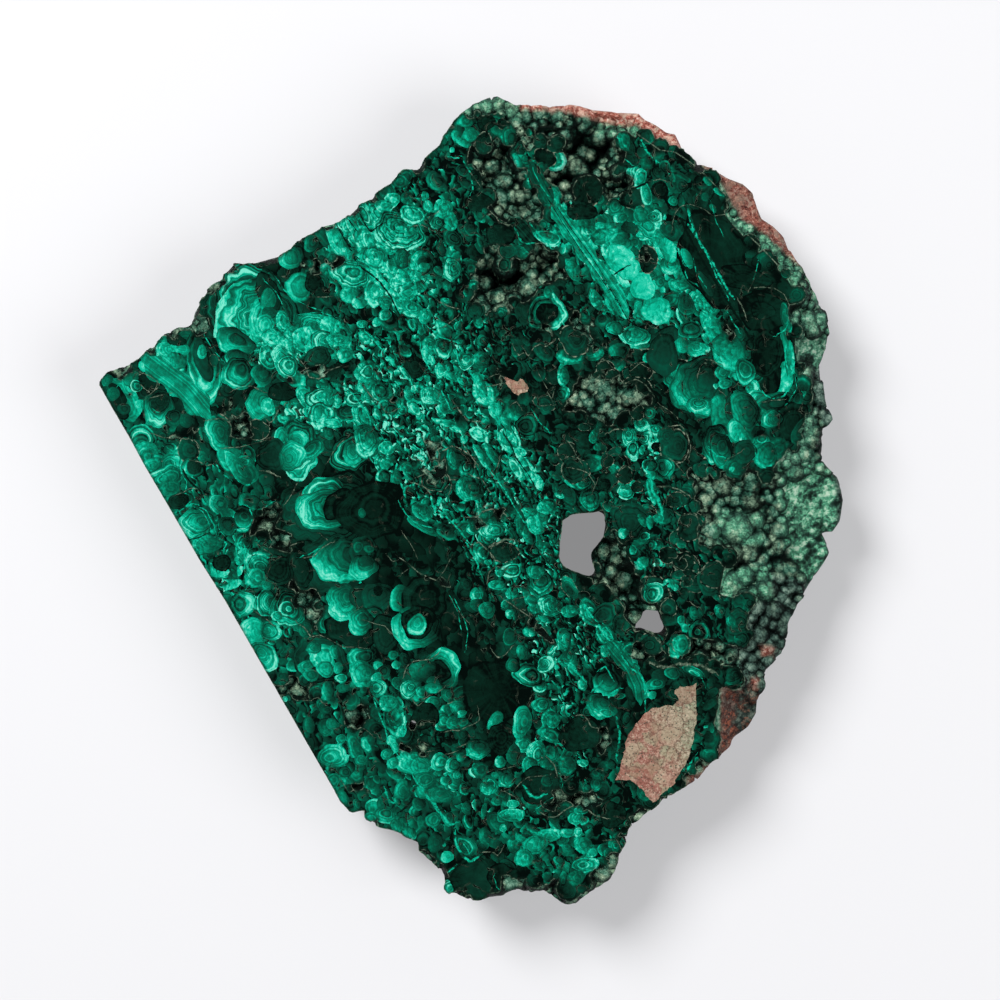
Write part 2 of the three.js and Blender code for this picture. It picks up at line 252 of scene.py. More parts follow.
def polar(p, x, y, rx, ry, turn):
    """Points in an ellipse's own coordinates: its edge is one away from its middle."""
    c = mm((x, y))
    a = -math.radians(turn)
    dx, dy = p[:, 0] - c[0], p[:, 1] - c[1]
    u = (dx * math.cos(a) + dy * math.sin(a)) / (rx * PIXEL)
    v = (-dx * math.sin(a) + dy * math.cos(a)) / (ry * PIXEL)
    return np.stack([u, v], -1)


def smoothstep(a, b, x):
    t = np.clip((x - a) / (b - a), 0, 1)
    return t * t * (3 - 2 * t)


def scatter(spacing, keep, seed):
    """Jittered places on a triangular lattice where keep(points) is true."""
    r = np.random.default_rng(seed)
    xs = np.arange(-SPREAD[0], SPREAD[0], spacing)
    ys = np.arange(-SPREAD[1], SPREAD[1], spacing * SPREAD_ROW)
    g = np.array([(x + (j % 2) * spacing / 2, y) for j, y in enumerate(ys) for x in xs])
    g = g + r.uniform(-JITTER, JITTER, g.shape) * spacing
    return g[keep(g)]


# The stone's outline and its natural surface
RIM = np.concatenate([mm(points) for *_, points in STRETCHES])
INSET = np.concatenate([np.full(len(points), inset * PIXEL) for inset, _, points in STRETCHES])
DROP = np.concatenate([np.full(len(points), drop) for _, drop, points in STRETCHES])
SAWN_ENDS = mm([(98, 384), (341, 804)])
SHARP = 0.05                    # an edge with a smaller inset is sawn and falls straight down
NO_LIMIT = 9.0                  # level of stone that nothing lowers
SAWN_NEAR, SAWN_FAR = 0.5, 4    # stone this near the sawn side is straight, and beyond this rough
SMALLER = 0.12                  # how far the stone stays inside the silhouette
CUT_RISE = 1.2                  # steepness of the rim where the face has cut it
CAVITY_RISE = 1.7               # steepness of a cavity's wall
SLOPE_RISE = 1.3                # steepness outside a slope's outline


def sawn_share(p):
    """How much a point belongs to the straight sawn side: 1 on it, 0 far away."""
    d = SAWN_ENDS[1] - SAWN_ENDS[0]
    n = np.array([d[1], -d[0]]) / np.linalg.norm(d)
    off = np.abs((p - SAWN_ENDS[0]) @ n)
    along = (p - SAWN_ENDS[0]) @ d / (d @ d)
    beside = (1 - smoothstep(SAWN_NEAR, SAWN_FAR, off)) * smoothstep(-0.02, 0.01, along)
    return beside * (1 - smoothstep(0.985, 1.0, along))


def border(p):
    """Positive on stone, negative outside it and in the through-holes."""
    d, *_ = outline_distance(p, RIM)
    rough = 0.28 * smooth_noise(p, 0.45) + 0.16 * smooth_noise(p, 1.3, 7)
    d = d + rough * (1 - sawn_share(p)) - SMALLER
    for hole in HOLES:
        d = np.minimum(d, -depth_in(p, hole) + 0.6 * rough)
    return d


def rim_level(p):
    """Height of the rounded rim above the polished face, positive where the face has cut it."""
    d, k, t = outline_distance(p, RIM)
    following = (k + 1) % len(RIM)
    inset = INSET[k] * (1 - t) + INSET[following] * t
    drop = DROP[k] * (1 - t) + DROP[following] * t
    q = np.clip(d / np.maximum(inset, SHARP), 0, 3)
    rounded = -drop * (1 - np.sqrt(np.clip(1 - (1 - q) ** 2, 0, 1)))
    rim = np.where(q < 1, rounded, (q - 1) * inset * CUT_RISE)
    return np.where(inset > SHARP, np.minimum(NO_LIMIT, rim), NO_LIMIT)


def level(p):
    """Height of the stone's natural surface above the polished face, before its nodules."""
    out = rim_level(p)
    for x, y, rx, ry, turn, depth in CAVITIES:
        r = np.linalg.norm(polar(p, x, y, rx, ry, turn), axis=1)
        out = np.minimum(out, np.maximum((r - 1) * min(rx, ry) * PIXEL * CAVITY_RISE, -depth))
    for first, fall, deepest, points in SLOPES:
        s = depth_in(p, points)
        slope = np.maximum(-s * SLOPE_RISE, -first - fall * np.maximum(s, 0))
        out = np.minimum(out, np.maximum(slope, -deepest))
    return out


# Nodules
SUNK = 0.55                     # how far the stone between the nodules lies below the level
PURE_RED = 0.5                  # patches redder than this carry no nodules
BELOW_FACE = -0.1               # sunken listed nodules stay at least this far down
BELOW_SLOPE = -0.12             # so do those scattered on the slopes
ABOVE = 3.1                     # no nodule reaches the face where the stone would stand higher
HAND_RISE = 0.45                # how far a sunken listed nodule stands up, in its radii
SCATTER_RISE = 0.5              # how far a scattered one does
SIZES = (0.72, 1.15)            # least and greatest radius of a scattered one, in usual radii
OVERHANG = 0.2                  # how far outside the stone its middle may lie
MARGIN = 0.3                    # it belongs to an outline if it lies this far inside it
APART = 0.8                     # how near it comes to a listed one, in that one's radii
AT_ONCE = 4000                  # points whose nodules are looked for at a time


def hand_nodules():
    """The listed nodules: (x, y, radius, top above the polished face) in millimetres."""
    hand = np.array([(*mm((x, y)), r * PIXEL, -depth) for x, y, r, depth in SET_NODULES])
    stone = level(hand[:, :2])
    low = (hand[:, 3] < 0) & (stone < 0)
    raised = np.maximum(hand[low, 3], stone[low] + HAND_RISE * hand[low, 2])
    hand[low, 3] = np.minimum(raised, BELOW_FACE)
    return hand


def scattered_nodules(hand, spacing, size, highest, lowest, seed):
    """Nodules of one size at scattered places, as (x, y, radius, top)."""
    without = SMOOTH + [points for red, _, _, points in PATCHES if red > PURE_RED]

    def keep(g):
        stone = level(g)
        good = (border(g) > -OVERHANG) & (stone < highest) & (stone > lowest)
        for points in without:
            good &= depth_in(g, points) < MARGIN
        return good

    g = scatter(spacing, keep, seed)
    radius = size * np.random.default_rng(seed + 50).uniform(*SIZES, len(g))
    top = level(g) + SCATTER_RISE * radius
    # nothing rises to the polished face on the slopes
    sloping = np.max([depth_in(g, points) for *_, points in SLOPES], 0) > MARGIN
    top = np.where(sloping, np.minimum(top, BELOW_SLOPE), top)
    taken = np.linalg.norm(g[:, None] - hand[:, :2], axis=-1) < hand[:, 2] * APART
    return np.column_stack([g, radius, top])[~taken.any(1)]


def make_nodules():
    """Middles, radii and middle heights (above the polished face) of all whole nodules."""
    hand = hand_nodules()
    n = np.concatenate([hand] + [scattered_nodules(hand, *row) for row in SCATTERED_NODULES])
    return n[:, :2], n[:, 2], n[:, 3] - n[:, 2]


SPOT, SIZE, SINK = make_nodules()
# radius of the disc that the polished face cuts from each nodule
CUT = np.sqrt(np.clip(SIZE ** 2 - SINK ** 2, 0, None)) * (SINK + SIZE > 0)


def bare(p):
    """Height of the stone between the nodules."""
    out = level(p) - SUNK + 0.1 * smooth_noise(p, 1.1, 3)
    for points in SMOOTH:
        inside = smoothstep(-0.5, 1.5, depth_in(p, points))
        out += inside * (0.5 * smooth_noise(p, 0.35, 9) + 0.3 * smooth_noise(p, 0.8, 11) - 0.2)
    return out


def height_of(q, k):
    """Height of nodule k, or of the bare stone where k is -1, carried on past its rim."""
    d = np.linalg.norm(q - SPOT[k], axis=1)
    z = SINK[k] + np.sqrt(np.clip(SIZE[k] ** 2 - d ** 2, 0, None)) - 3 * np.maximum(d - SIZE[k], 0)
    return np.where(k >= 0, z, bare(q))


def surface(p):
    """Height above the polished face, uncut, and the nodule that carries each point, or -1."""
    best = bare(p)
    who = np.full(len(p), -1)
    near = np.where(best + SUNK < ABOVE)[0]
    for s in range(0, len(near), AT_ONCE):
        i = near[s:s + AT_ONCE]
        d2 = ((p[i, None] - SPOT) ** 2).sum(-1)
        z = np.where(d2 < SIZE ** 2, SINK + np.sqrt(np.clip(SIZE ** 2 - d2, 0, None)), -99)
        k = z.argmax(1)
        zk = z[np.arange(len(i)), k]
        up = zk > best[i]
        best[i] = np.where(up, zk, best[i])
        who[i] = np.where(up, k, -1)
    return best, who


# What the polished face cuts

# Cut lobes drawn on the polished face, later ones over earlier ones: (x, y, half length, half
# width, turn, tone on the dark side, tone on the bright side, bright side in degrees, rings,
# contrast of the rings, pale outline). Tone is the share of the stone that is darker. Turns and
# sides run clockwise.
# The bright side of each lobe is partly the stone's own tone and partly a painted sheen.
LOBES = [
    # the upper left corner
    (121, 401, 25, 16, 60, 0.3, 0.88, -25, 3, 0.4), (117, 402, 20, 10, 65, 0.06, 0.14),
    (113, 394, 7, 7, 0, 0.4, 0.6), (124, 409, 7, 6, 0, 0.22, 0.32), (107, 380, 7, 5, -40, 0.4, 0.75),
    (132, 378, 9, 9, 0, 0.45, 0.7), (136, 386, 6, 6, 0, 0.35, 0.8, 180, 2, 1.0),
    (149, 382, 12, 8, 30, 0.06, 0.14, 0, 2, 0.1, 1), (139, 404, 5, 5, 0, 0.8, 0.97),
    (146, 406, 5, 5, 0, 0.6, 0.8), (158, 408, 15, 20, 0, 0.08, 0.97, 105, 4, 0.8),
    (160, 402, 10, 9, 0, 0.1, 0.16), (174, 418, 9, 9, 0, 0.1, 0.5, 90, 2, 0.3),
    (187, 420, 8, 8, 0, 0.1, 0.5, 180, 2, 0.3), (141, 437, 14, 13, 0, 0.4, 0.92, -80, 4, 0.9),
    (140, 444, 10, 9, 0, 0.45, 0.75), (203, 350, 22, 20, 0, 0.06, 0.25),
    (204, 367, 18, 34, -12, 0.12, 0.99, 105, 5, 0.45), (203, 360, 9, 22, -14, 0.12, 0.4),
    (202, 352, 5, 7, 0, 0.6, 0.95), (214, 360, 5, 6, -20, 0.2, 0.5, 0, 2, 0.2, 1),
    (168, 350, 13, 9, 0, 0.7, 0.97), (180, 348, 10, 7, 20, 0.7, 0.9), (176, 340, 10, 6, 10, 0.08, 0.2),
    (175, 362, 11, 10, 0, 0.5, 0.9), (173, 364, 3, 3, 0, 0.8, 0.9),
    (217, 433, 12, 18, -20, 0.3, 0.97, 165, 4, 0.5), (229, 458, 11, 14, -15, 0.55, 0.88),
    (246, 463, 9, 9, 0, 0.4, 0.85, 150, 3, 0.8), (170, 450, 9, 8, 0, 0.2, 0.95, 30, 3, 0.6),
    (145, 452, 12, 11, 0, 0.7, 0.97), (156, 463, 13, 10, 20, 0.65, 0.93),
    (161, 477, 17, 13, 30, 0.55, 0.95, -90, 4, 0.6), (172, 463, 12, 14, 30, 0.5, 0.9, -20, 4, 0.8),
    (188, 450, 11, 12, 0, 0.12, 0.5, 180, 2, 0.4, 1), (192, 468, 11, 11, 0, 0.15, 0.75, 170, 3, 0.6),
    # the nested lobes below the upper left edge
    (240, 303, 44, 44, 0, 0.06, 0.34, -140, 9, 0.9), (244, 290, 31, 26, 0, 0.08, 0.85, -105, 5, 0.9),
    (250, 291, 17, 14, 0, 0.1, 0.35, 180, 3, 0.4), (257, 316, 42, 40, 0, 0.3, 0.97, 160, 7, 0.7),
    (262, 320, 14, 22, 0, 0.5, 0.97, 180, 2, 0.5), (235, 342, 20, 14, 25, 0.2, 0.93, 130, 3, 0.5),
    (238, 358, 15, 8, 10, 0.2, 0.82, 120, 3, 0.4), (238, 374, 16, 17, 0, 0.2, 0.95, 130, 4, 0.5),
    (268, 293, 12, 20, -20, 0.08, 0.2), (268, 300, 8, 12, 0, 0.5, 0.75), (269, 313, 8, 6, 0, 0.3, 0.5),
    (262, 375, 11, 11, 0, 0.2, 0.7, 150, 2, 0.3), (292, 378, 15, 9, 10, 0.4, 0.85, 20, 2, 0.4),
    (268, 357, 10, 13, -15, 0.55, 0.85, 180, 4, 0.5), (265, 326, 9, 13, -10, 0.8, 1.0),
    (272, 338, 12, 9, 20, 0.85, 1.0), (283, 322, 7, 12, -10, 0.65, 0.95),
    (286, 342, 12, 6, 0, 0.75, 1.0), (280, 355, 10, 10, 0, 0.7, 1.0, 200, 4, 0.6),
    (287, 366, 12, 12, 30, 0.6, 0.98, 150, 4, 0.6), (292, 333, 9, 7, 0, 0.5, 0.8),
    (315, 324, 20, 10, 10, 0.5, 0.8, -60, 5, 0.6), (330, 326, 12, 9, 10, 0.75, 1.0, 180, 2, 0.2),
    (305, 340, 12, 15, -10, 0.8, 1.0, -90, 2, 0.2), (323, 341, 13, 12, 0, 0.5, 0.98, 180, 4, 0.9),
    (337, 340, 12, 6, 0, 0.7, 1.0), (327, 353, 11, 8, 0, 0.4, 0.97, 120, 3, 0.8),
    (299, 287, 14, 15, -20, 0.5, 0.93, 170, 3, 0.3), (314, 283, 10, 10, 0, 0.02, 0.08),
    (322, 292, 8, 6, 0, 0.05, 0.1), (290, 258, 12, 11, 0, 0.45, 0.93, 170, 3, 0.4),
    (311, 243, 8, 9, 0, 0.15, 0.65, 180, 3, 0.5), (345, 355, 8, 8, 0, 0.6, 0.98),
    (318, 357, 14, 10, 0, 0.15, 0.4),
    # the bright bands at the upper left edge
    (336, 240, 20, 7, 62, 0.7, 0.98, 150, 3, 0.3), (347, 251, 8, 5, -20, 0.7, 0.95),
    (354, 228, 20, 6, 66, 0.6, 0.97, 150, 4, 0.6), (366, 216, 18, 7, 64, 0.65, 1.0, 0, 4, 0.7),
    (378, 214, 14, 8, 60, 0.55, 0.95, 150, 3, 0.7), (352, 265, 9, 18, -8, 0.55, 0.95),
    (372, 243, 14, 22, -35, 0.75, 1.0, 90, 4, 0.5), (392, 200, 8, 8, 0, 0.75, 0.98),
    (384, 206, 10, 6, 10, 0.7, 0.97), (398, 232, 25, 20, 10, 0.45, 0.98, 110, 6, 0.9),
    (412, 215, 13, 9, 30, 0.7, 1.0, 120, 3, 0.5), (384, 249, 10, 6, 20, 0.75, 1.0),
    (374, 259, 16, 14, 30, 0.75, 1.0, 120, 3, 0.4), (350, 273, 22, 13, 10, 0.6, 0.93, 160, 5, 0.6),
    (349, 295, 10, 8, 0, 0.6, 1.0), (376, 292, 12, 15, 0, 0.65, 1.0, 90, 3, 0.4),
    (359, 303, 8, 6, 0, 0.6, 0.97), (404, 275, 14, 12, 20, 0.6, 0.97), (405, 293, 14, 9, -5, 0.75, 1.0),
    (411, 309, 12, 9, 20, 0.65, 0.96, 120, 4, 0.5), (425, 316, 7, 8, 0, 0.7, 0.97),
    (380, 283, 23, 6, 50, 0.85, 1.0, 0, 2, 0.3), (398, 302, 12, 6, 60, 0.75, 0.97),
    (402, 259, 9, 10, 0, 0.3, 0.75, 180, 2, 0.5), (421, 262, 13, 13, 0, 0.1, 0.85, 180, 2, 0.5),
    (424, 267, 6, 5, 0, 0.6, 0.85), (416, 276, 7, 6, 20, 0.7, 1.0), (425, 197, 4, 6, 0, 0.6, 0.85),
    (428, 206, 5, 7, -10, 0.7, 1.0), (443, 208, 9, 10, 10, 0.65, 0.9), (451, 222, 7, 9, 0, 0.65, 0.85),
    (437, 223, 8, 6, -20, 0.3, 0.85, 150, 4, 0.9), (452, 269, 9, 13, 0, 0.4, 0.9, 150, 4, 0.8),
    (408, 230, 12, 4, 10, 0.6, 0.9), (385, 302, 8, 6, 0, 0.5, 0.8), (362, 324, 6, 4, 0, 0.6, 0.9),
    (377, 322, 5, 5, 0, 0.7, 0.98), (385, 315, 7, 6, 0, 0.4, 0.85), (365, 337, 8, 6, 40, 0.7, 0.98),
    (430, 346, 7, 10, -40, 0.5, 0.85),
    # below the bands
    (428, 357, 10, 5, 52, 0.93, 1.0), (440, 371, 5, 8, 0, 0.75, 1.0), (450, 376, 9, 4, 30, 0.7, 0.93),
    (443, 348, 10, 12, -20, 0.2, 0.85, 110, 3, 0.7), (466, 361, 8, 9, 10, 0.6, 0.97, 90, 3, 0.7),
    (415, 367, 11, 11, 0, 0.04, 0.12), (405, 373, 10, 3, 50, 0.6, 0.95), (408, 393, 4, 8, 0, 0.7, 0.96),
    (431, 396, 12, 10, 0, 0.6, 0.95, 150, 3, 0.7), (414, 408, 10, 5, 55, 0.7, 0.99),
    (445, 406, 8, 9, 0, 0.5, 0.85), (488, 393, 12, 6, 62, 0.85, 1.0), (480, 384, 14, 5, 58, 0.6, 0.88),
    (495, 410, 7, 8, 0, 0.75, 1.0), (478, 434, 9, 7, 40, 0.95, 1.0), (446, 423, 13, 4, 15, 0.6, 0.97),
    (457, 429, 10, 3, 15, 0.7, 0.99), (464, 439, 4, 5, 0, 0.8, 1.0),
    (456, 464, 18, 18, 0, 0.08, 0.4, 180, 4, 0.4, 1), (452, 459, 5, 12, -18, 0.4, 0.75),
    (466, 469, 8, 9, -20, 0.15, 0.9, 120, 3, 0.9), (436, 481, 14, 11, 0, 0.12, 0.4, 0, 3, 0.9, 1),
    (469, 489, 14, 13, 20, 0.15, 0.93, 160, 3, 0.5), (482, 457, 17, 4, 58, 0.5, 0.9),
    (492, 455, 15, 4, 62, 0.4, 0.85), (505, 487, 16, 4, 58, 0.3, 0.7), (504, 443, 14, 4, 62, 0.75, 1.0),
    (512, 437, 16, 6, 60, 0.85, 1.0, 0, 3, 0.5), (520, 453, 6, 6, 0, 0.9, 1.0),
    (516, 469, 14, 5, 58, 0.85, 1.0, 0, 3, 0.5), (531, 474, 17, 6, 60, 0.85, 1.0, 0, 3, 0.5),
    (524, 464, 10, 4, 60, 0.6, 0.9), (538, 482, 9, 5, 65, 0.85, 1.0),
    (527, 425, 11, 12, 0, 0.08, 0.4, -30, 3, 0.8), (505, 421, 12, 4, 62, 0.6, 0.9),
    # the fans on the left
    (262, 404, 18, 15, -20, 0.45, 0.9, 150, 4, 0.35), (268, 407, 7, 9, -30, 0.85, 1.0),
    (282, 392, 14, 10, 10, 0.04, 0.1), (283, 418, 6, 5, 0, 0.6, 0.95), (291, 418, 6, 4, 0, 0.5, 0.7),
    (306, 398, 8, 13, -30, 0.75, 1.0, 200, 3, 0.4), (320, 399, 16, 11, 10, 0.65, 1.0, 120, 4, 0.9),
    (329, 396, 7, 10, 0, 0.6, 0.85), (321, 416, 14, 13, 10, 0.7, 1.0, 90, 4, 0.5),
    (331, 423, 12, 5, 10, 0.9, 1.0), (275, 453, 14, 16, 0, 0.08, 0.25, 180, 6, 0.6),
    (299, 449, 21, 29, 0, 0.4, 0.98, 95, 7, 0.6), (312, 450, 14, 9, -40, 0.35, 0.8, 60, 5, 0.5),
    (281, 437, 7, 10, -10, 0.6, 0.95, 180, 3, 0.3), (298, 439, 10, 9, 0, 0.5, 0.98, -30, 2, 0.4),
    (350, 453, 19, 20, 20, 0.08, 0.65, 150, 5, 1.0), (353, 453, 11, 12, 20, 0.45, 0.9, 110, 4, 0.4),
    (348, 413, 12, 9, 0, 0.15, 0.6, 90, 4, 0.5), (362, 416, 8, 17, -25, 0.6, 0.96, 180, 4, 0.4),
    (366, 441, 13, 17, -10, 0.4, 1.0, 115, 5, 0.6), (386, 448, 8, 7, 0, 0.75, 1.0),
    (355, 399, 10, 8, 0, 0.5, 0.97, 150, 3, 0.9), (367, 396, 6, 7, 0, 0.6, 0.93),
    (338, 401, 4, 7, 0, 0.7, 0.97), (380, 392, 9, 9, 0, 0.3, 0.85, 150, 3, 0.9),
    (380, 462, 6, 10, -10, 0.4, 0.85, 170, 2, 0.5), (385, 464, 5, 6, 0, 0.6, 0.9),
    (384, 477, 8, 8, 0, 0.15, 0.85, 170, 2, 0.7), (391, 489, 8, 8, 0, 0.2, 0.8, 170, 2, 0.7),
    (396, 478, 6, 8, 0, 0.4, 0.8), (366, 372, 11, 12, 0, 0.5, 0.88, 170, 3, 0.6),
    (246, 473, 12, 13, -30, 0.5, 0.92, 160, 3, 0.5), (254, 500, 6, 5, 0, 0.2, 0.5),
    (240, 519, 14, 13, 0, 0.06, 0.97, 95, 3, 0.8), (258, 430, 11, 11, 0, 0.08, 0.2, 0, 2, 0.2, 1),
    # the big dark lobes left of the middle
    (330, 510, 48, 36, -20, 0.05, 0.3, 170, 8, 0.6), (324, 497, 22, 20, 0, 0.15, 0.97, -150, 4, 0.6),
    (326, 509, 31, 21, 0, 0.15, 0.97, 160, 4, 0.75), (342, 504, 20, 15, -30, 0.02, 0.06),
    (372, 510, 34, 30, 0, 0.02, 0.08), (362, 513, 4, 5, 0, 0.4, 0.65),
    (330, 563, 31, 29, 0, 0.06, 0.25, 160, 6, 0.35), (338, 560, 24, 25, 0, 0.15, 1.0, 125, 3, 0.4),
    (346, 556, 17, 17, 0, 0.04, 0.62, 160, 3, 0.35), (364, 552, 15, 16, 0, 0.06, 0.3),
    (358, 547, 5, 6, 0, 0.3, 0.55), (369, 549, 6, 4, 0, 0.3, 0.55),
    (363, 567, 15, 13, -20, 0.12, 1.0, 120, 3, 0.5), (366, 561, 8, 6, 0, 0.1, 0.4),
    (350, 632, 26, 16, 20, 0.05, 0.14), (344, 602, 19, 18, 0, 0.3, 1.0, 130, 5, 0.4),
    (361, 596, 11, 14, 0, 0.04, 0.3, 160, 2, 0.2), (378, 597, 17, 16, 0, 0.08, 0.42, 130, 3, 0.25),
    (378, 591, 5, 5, 0, 0.01, 0.03), (372, 614, 13, 9, 0, 0.15, 0.65, 150, 3, 0.3),
    (360, 621, 13, 14, 20, 0.2, 1.0, 150, 3, 0.35), (385, 634, 14, 20, 0, 0.08, 0.2),
    (400, 599, 11, 13, 0, 0.05, 0.92, 175, 2, 0.3), (361, 657, 14, 10, 0, 0.1, 0.9, 185, 4, 0.5),
    (363, 674, 13, 14, -10, 0.4, 1.0, 165, 4, 0.35), (425, 600, 24, 24, 0, 0.02, 0.12),
    (416, 628, 24, 22, 0, 0.04, 0.95, 150, 3, 0.35), (418, 622, 17, 17, 0, 0.02, 0.1),
    (417, 625, 9, 12, 20, 0.6, 1.0, 90, 2, 0.4), (442, 669, 20, 20, 0, 0.05, 0.92, -45, 4, 0.45),
    (435, 672, 15, 13, 0, 0.02, 0.08), (497, 690, 34, 33, 0, 0.01, 0.07, 180, 4, 0.1),
    (300, 570, 12, 20, 0, 0.06, 0.2), (320, 660, 27, 24, 10, 0.08, 0.35, -90, 4, 0.5),
    (306, 666, 9, 6, -20, 0.5, 0.85), (311, 675, 8, 7, 0, 0.4, 0.75), (323, 658, 12, 14, -40, 0.8, 1.0),
    (325, 669, 9, 8, 20, 0.6, 0.97), (334, 652, 4, 8, -10, 0.5, 0.88), (314, 648, 8, 6, 0, 0.4, 0.8),
    (338, 668, 5, 6, 0, 0.5, 0.9), (341, 678, 7, 4, 0, 0.6, 0.98), (343, 688, 7, 5, 0, 0.4, 0.6),
    (379, 666, 6, 5, 30, 0.6, 0.98), (384, 672, 7, 7, 0, 0.15, 0.5, 90, 2, 0.4),
    (378, 688, 9, 9, 0, 0.5, 0.98, 0, 3, 0.8), (393, 655, 5, 5, 0, 0.4, 0.7),
    (396, 665, 5, 4, 0, 0.5, 0.97), (376, 677, 6, 4, -30, 0.6, 0.93),
    # the left edge
    (257, 564, 13, 13, 0, 0.4, 0.97, -130, 4, 0.7), (256, 578, 12, 10, 0, 0.55, 0.93),
    (268, 585, 7, 6, 0, 0.5, 0.88), (279, 571, 14, 16, 0, 0.08, 0.3, 180, 4, 0.5),
    (279, 571, 4.5, 6, 0, 0.1, 0.8, 0, 1, 1.4), (268, 603, 12, 14, 15, 0.2, 1.0, 160, 3, 0.9),
    (287, 608, 17, 20, 0, 0.12, 0.8, 110, 5, 0.8), (287, 609, 8, 8, 0, 0.5, 0.9, 180, 2, 0.7),
    (277, 616, 6, 5, 0, 0.6, 0.95), (243, 604, 12, 14, 0, 0.4, 1.0, 0, 3, 0.8),
    (255, 632, 15, 15, 0, 0.65, 1.0, 180, 3, 0.25), (271, 631, 11, 10, 0, 0.5, 0.97, 0, 3, 0.6),
    (265, 656, 16, 12, 50, 0.55, 0.98, 40, 5, 0.5),
    # right of the middle
    (593, 352, 10, 10, 0, 0.06, 0.9, 30, 2, 0.4), (571, 355, 14, 11, 0, 0.04, 0.88, 115, 2, 0.7),
    (563, 376, 6, 11, 0, 0.4, 0.9), (563, 394, 7, 8, 0, 0.1, 0.85, 0, 2, 0.5),
    (619, 352, 11, 10, 0, 0.04, 0.7, 180, 2, 0.3), (616, 364, 9, 9, 0, 0.08, 0.8, 90, 2, 0.4),
    (641, 372, 13, 10, 10, 0.03, 0.1, 180, 2, 0.1, 1),
    (637, 388, 15, 12, 0, 0.03, 0.09, 180, 2, 0.1, 1), (649, 401, 12, 12, 0, 0.03, 0.09),
    (605, 369, 9, 9, 0, 0.05, 0.2, 180, 2, 0.1, 1), (600, 379, 8, 8, 0, 0.05, 0.2, 180, 2, 0.1, 1),
    (613, 378, 8, 9, 0, 0.05, 0.2, 180, 2, 0.1, 1), (629, 437, 7, 10, 0, 0.55, 1.0, 90, 3, 0.8),
    (641, 424, 8, 7, 30, 0.3, 0.93, 60, 2, 0.9), (650, 413, 6, 6, 0, 0.3, 0.75, 0, 2, 0.5),
    (655, 430, 7, 6, 0, 0.5, 1.0, 120, 2, 0.8), (646, 438, 7, 8, 30, 0.3, 1.0, 0, 3, 1.0),
    (633, 451, 7, 10, 0, 0.5, 0.97, 90, 3, 0.8), (642, 450, 3, 5, 0, 0.7, 1.0),
    (656, 447, 7.5, 7.5, 0, 0.9, 1.0), (656, 447, 5, 5, 0, 0.0, 0.02),
    (675, 447, 15, 17, 0, 0.1, 0.4, 180, 3, 0.5, 1), (666, 436, 9, 9, 0, 0.2, 0.45),
    (672, 380, 8, 8, 0, 0.2, 0.88, 110, 2, 0.7), (676, 372, 9, 8, 0, 0.55, 0.9, -120, 2, 0.4),
    (690, 367, 9, 7, -10, 0.4, 0.8), (648, 358, 6, 5, 0, 0.5, 0.85),
    (665, 467, 10, 11, 0, 0.12, 0.85, 0, 3, 0.8), (650, 466, 8, 8, 0, 0.2, 0.75, 150, 2, 0.7),
    (651, 475, 5, 5, 0, 0.5, 0.97), (652, 491, 5, 14, -10, 0.5, 0.9),
    (626, 491, 9, 9, 0, 0.5, 0.97, 150, 2, 0.8), (621, 481, 7, 4, 0, 0.5, 0.9),
    (613, 470, 7, 6, 0, 0.2, 0.85, -60, 2, 0.5), (580, 480, 15, 10, 10, 0.25, 0.88, 175, 3, 0.5),
    (585, 440, 11, 10, 0, 0.04, 0.2), (598, 447, 5, 4, 0, 0.3, 0.75),
    (592, 463, 12, 10, 0, 0.04, 0.75, 0, 2, 0.3), (590, 497, 9, 6, 0, 0.3, 0.7),
    (593, 437, 4, 7, 0, 0.4, 0.85), (567, 452, 10, 10, 0, 0.05, 0.2, 180, 2, 0.1, 1),
    (607, 461, 7, 7, 0, 0.05, 0.2, 180, 2, 0.1, 1), (625, 475, 8, 9, 0, 0.05, 0.2, 180, 2, 0.1, 1),
    (637, 412, 8, 8, 0, 0.04, 0.15, 180, 2, 0.1, 1), (607, 482, 11, 10, 0, 0.05, 0.4, 0, 2, 0.3),
    # the bright barrels of the upper right
    (606, 232, 8, 10, 10, 0.75, 1.0), (618, 228, 9, 7, 0, 0.4, 0.7),
    (646, 213, 11, 12, 0, 0.5, 0.8, 180, 2, 0.3), (645, 228, 14, 11, 15, 0.75, 1.0, 0, 4, 0.4),
    (656, 217, 8, 8, 0, 0.3, 0.97, 170, 2, 1.0), (660, 240, 9, 8, 0, 0.65, 0.97, 180, 2, 0.3),
    (666, 254, 9, 8, -10, 0.75, 1.0, 180, 2, 0.5), (672, 232, 8, 11, -20, 0.15, 0.5, 0, 2, 0.3),
    (670, 266, 10, 9, 0, 0.35, 1.0, 100, 2, 0.6), (679, 285, 11, 7, 10, 0.5, 0.9, 150, 2, 0.5),
    (692, 272, 6, 7, 0, 0.4, 0.85, 90, 2, 0.5), (701, 284, 7, 10, -40, 0.6, 1.0, 90, 2, 0.6),
    (610, 252, 14, 9, 62, 0.8, 1.0, 180, 2, 0.3), (620, 265, 25, 11, 62, 0.7, 1.0, 110, 3, 0.4),
    (625, 275, 12, 10, 60, 0.85, 1.0, 90, 2, 0.3), (611, 285, 22, 7, 60, 0.6, 0.93, 180, 3, 0.5),
    (645, 287, 14, 14, 0, 0.5, 0.99, -30, 3, 0.4), (654, 297, 9, 8, 0, 0.5, 0.85),
    (660, 282, 5, 5, 0, 0.5, 0.75), (650, 275, 7, 5, 0, 0.4, 0.7),
    (657, 311, 17, 14, 20, 0.5, 1.0, 100, 3, 0.45), (684, 314, 8, 12, -10, 0.3, 0.95, 180, 2, 0.5),
    (698, 300, 12, 10, 0, 0.6, 1.0, 180, 2, 0.5), (712, 321, 19, 6, 72, 0.75, 1.0, 180, 2, 0.4),
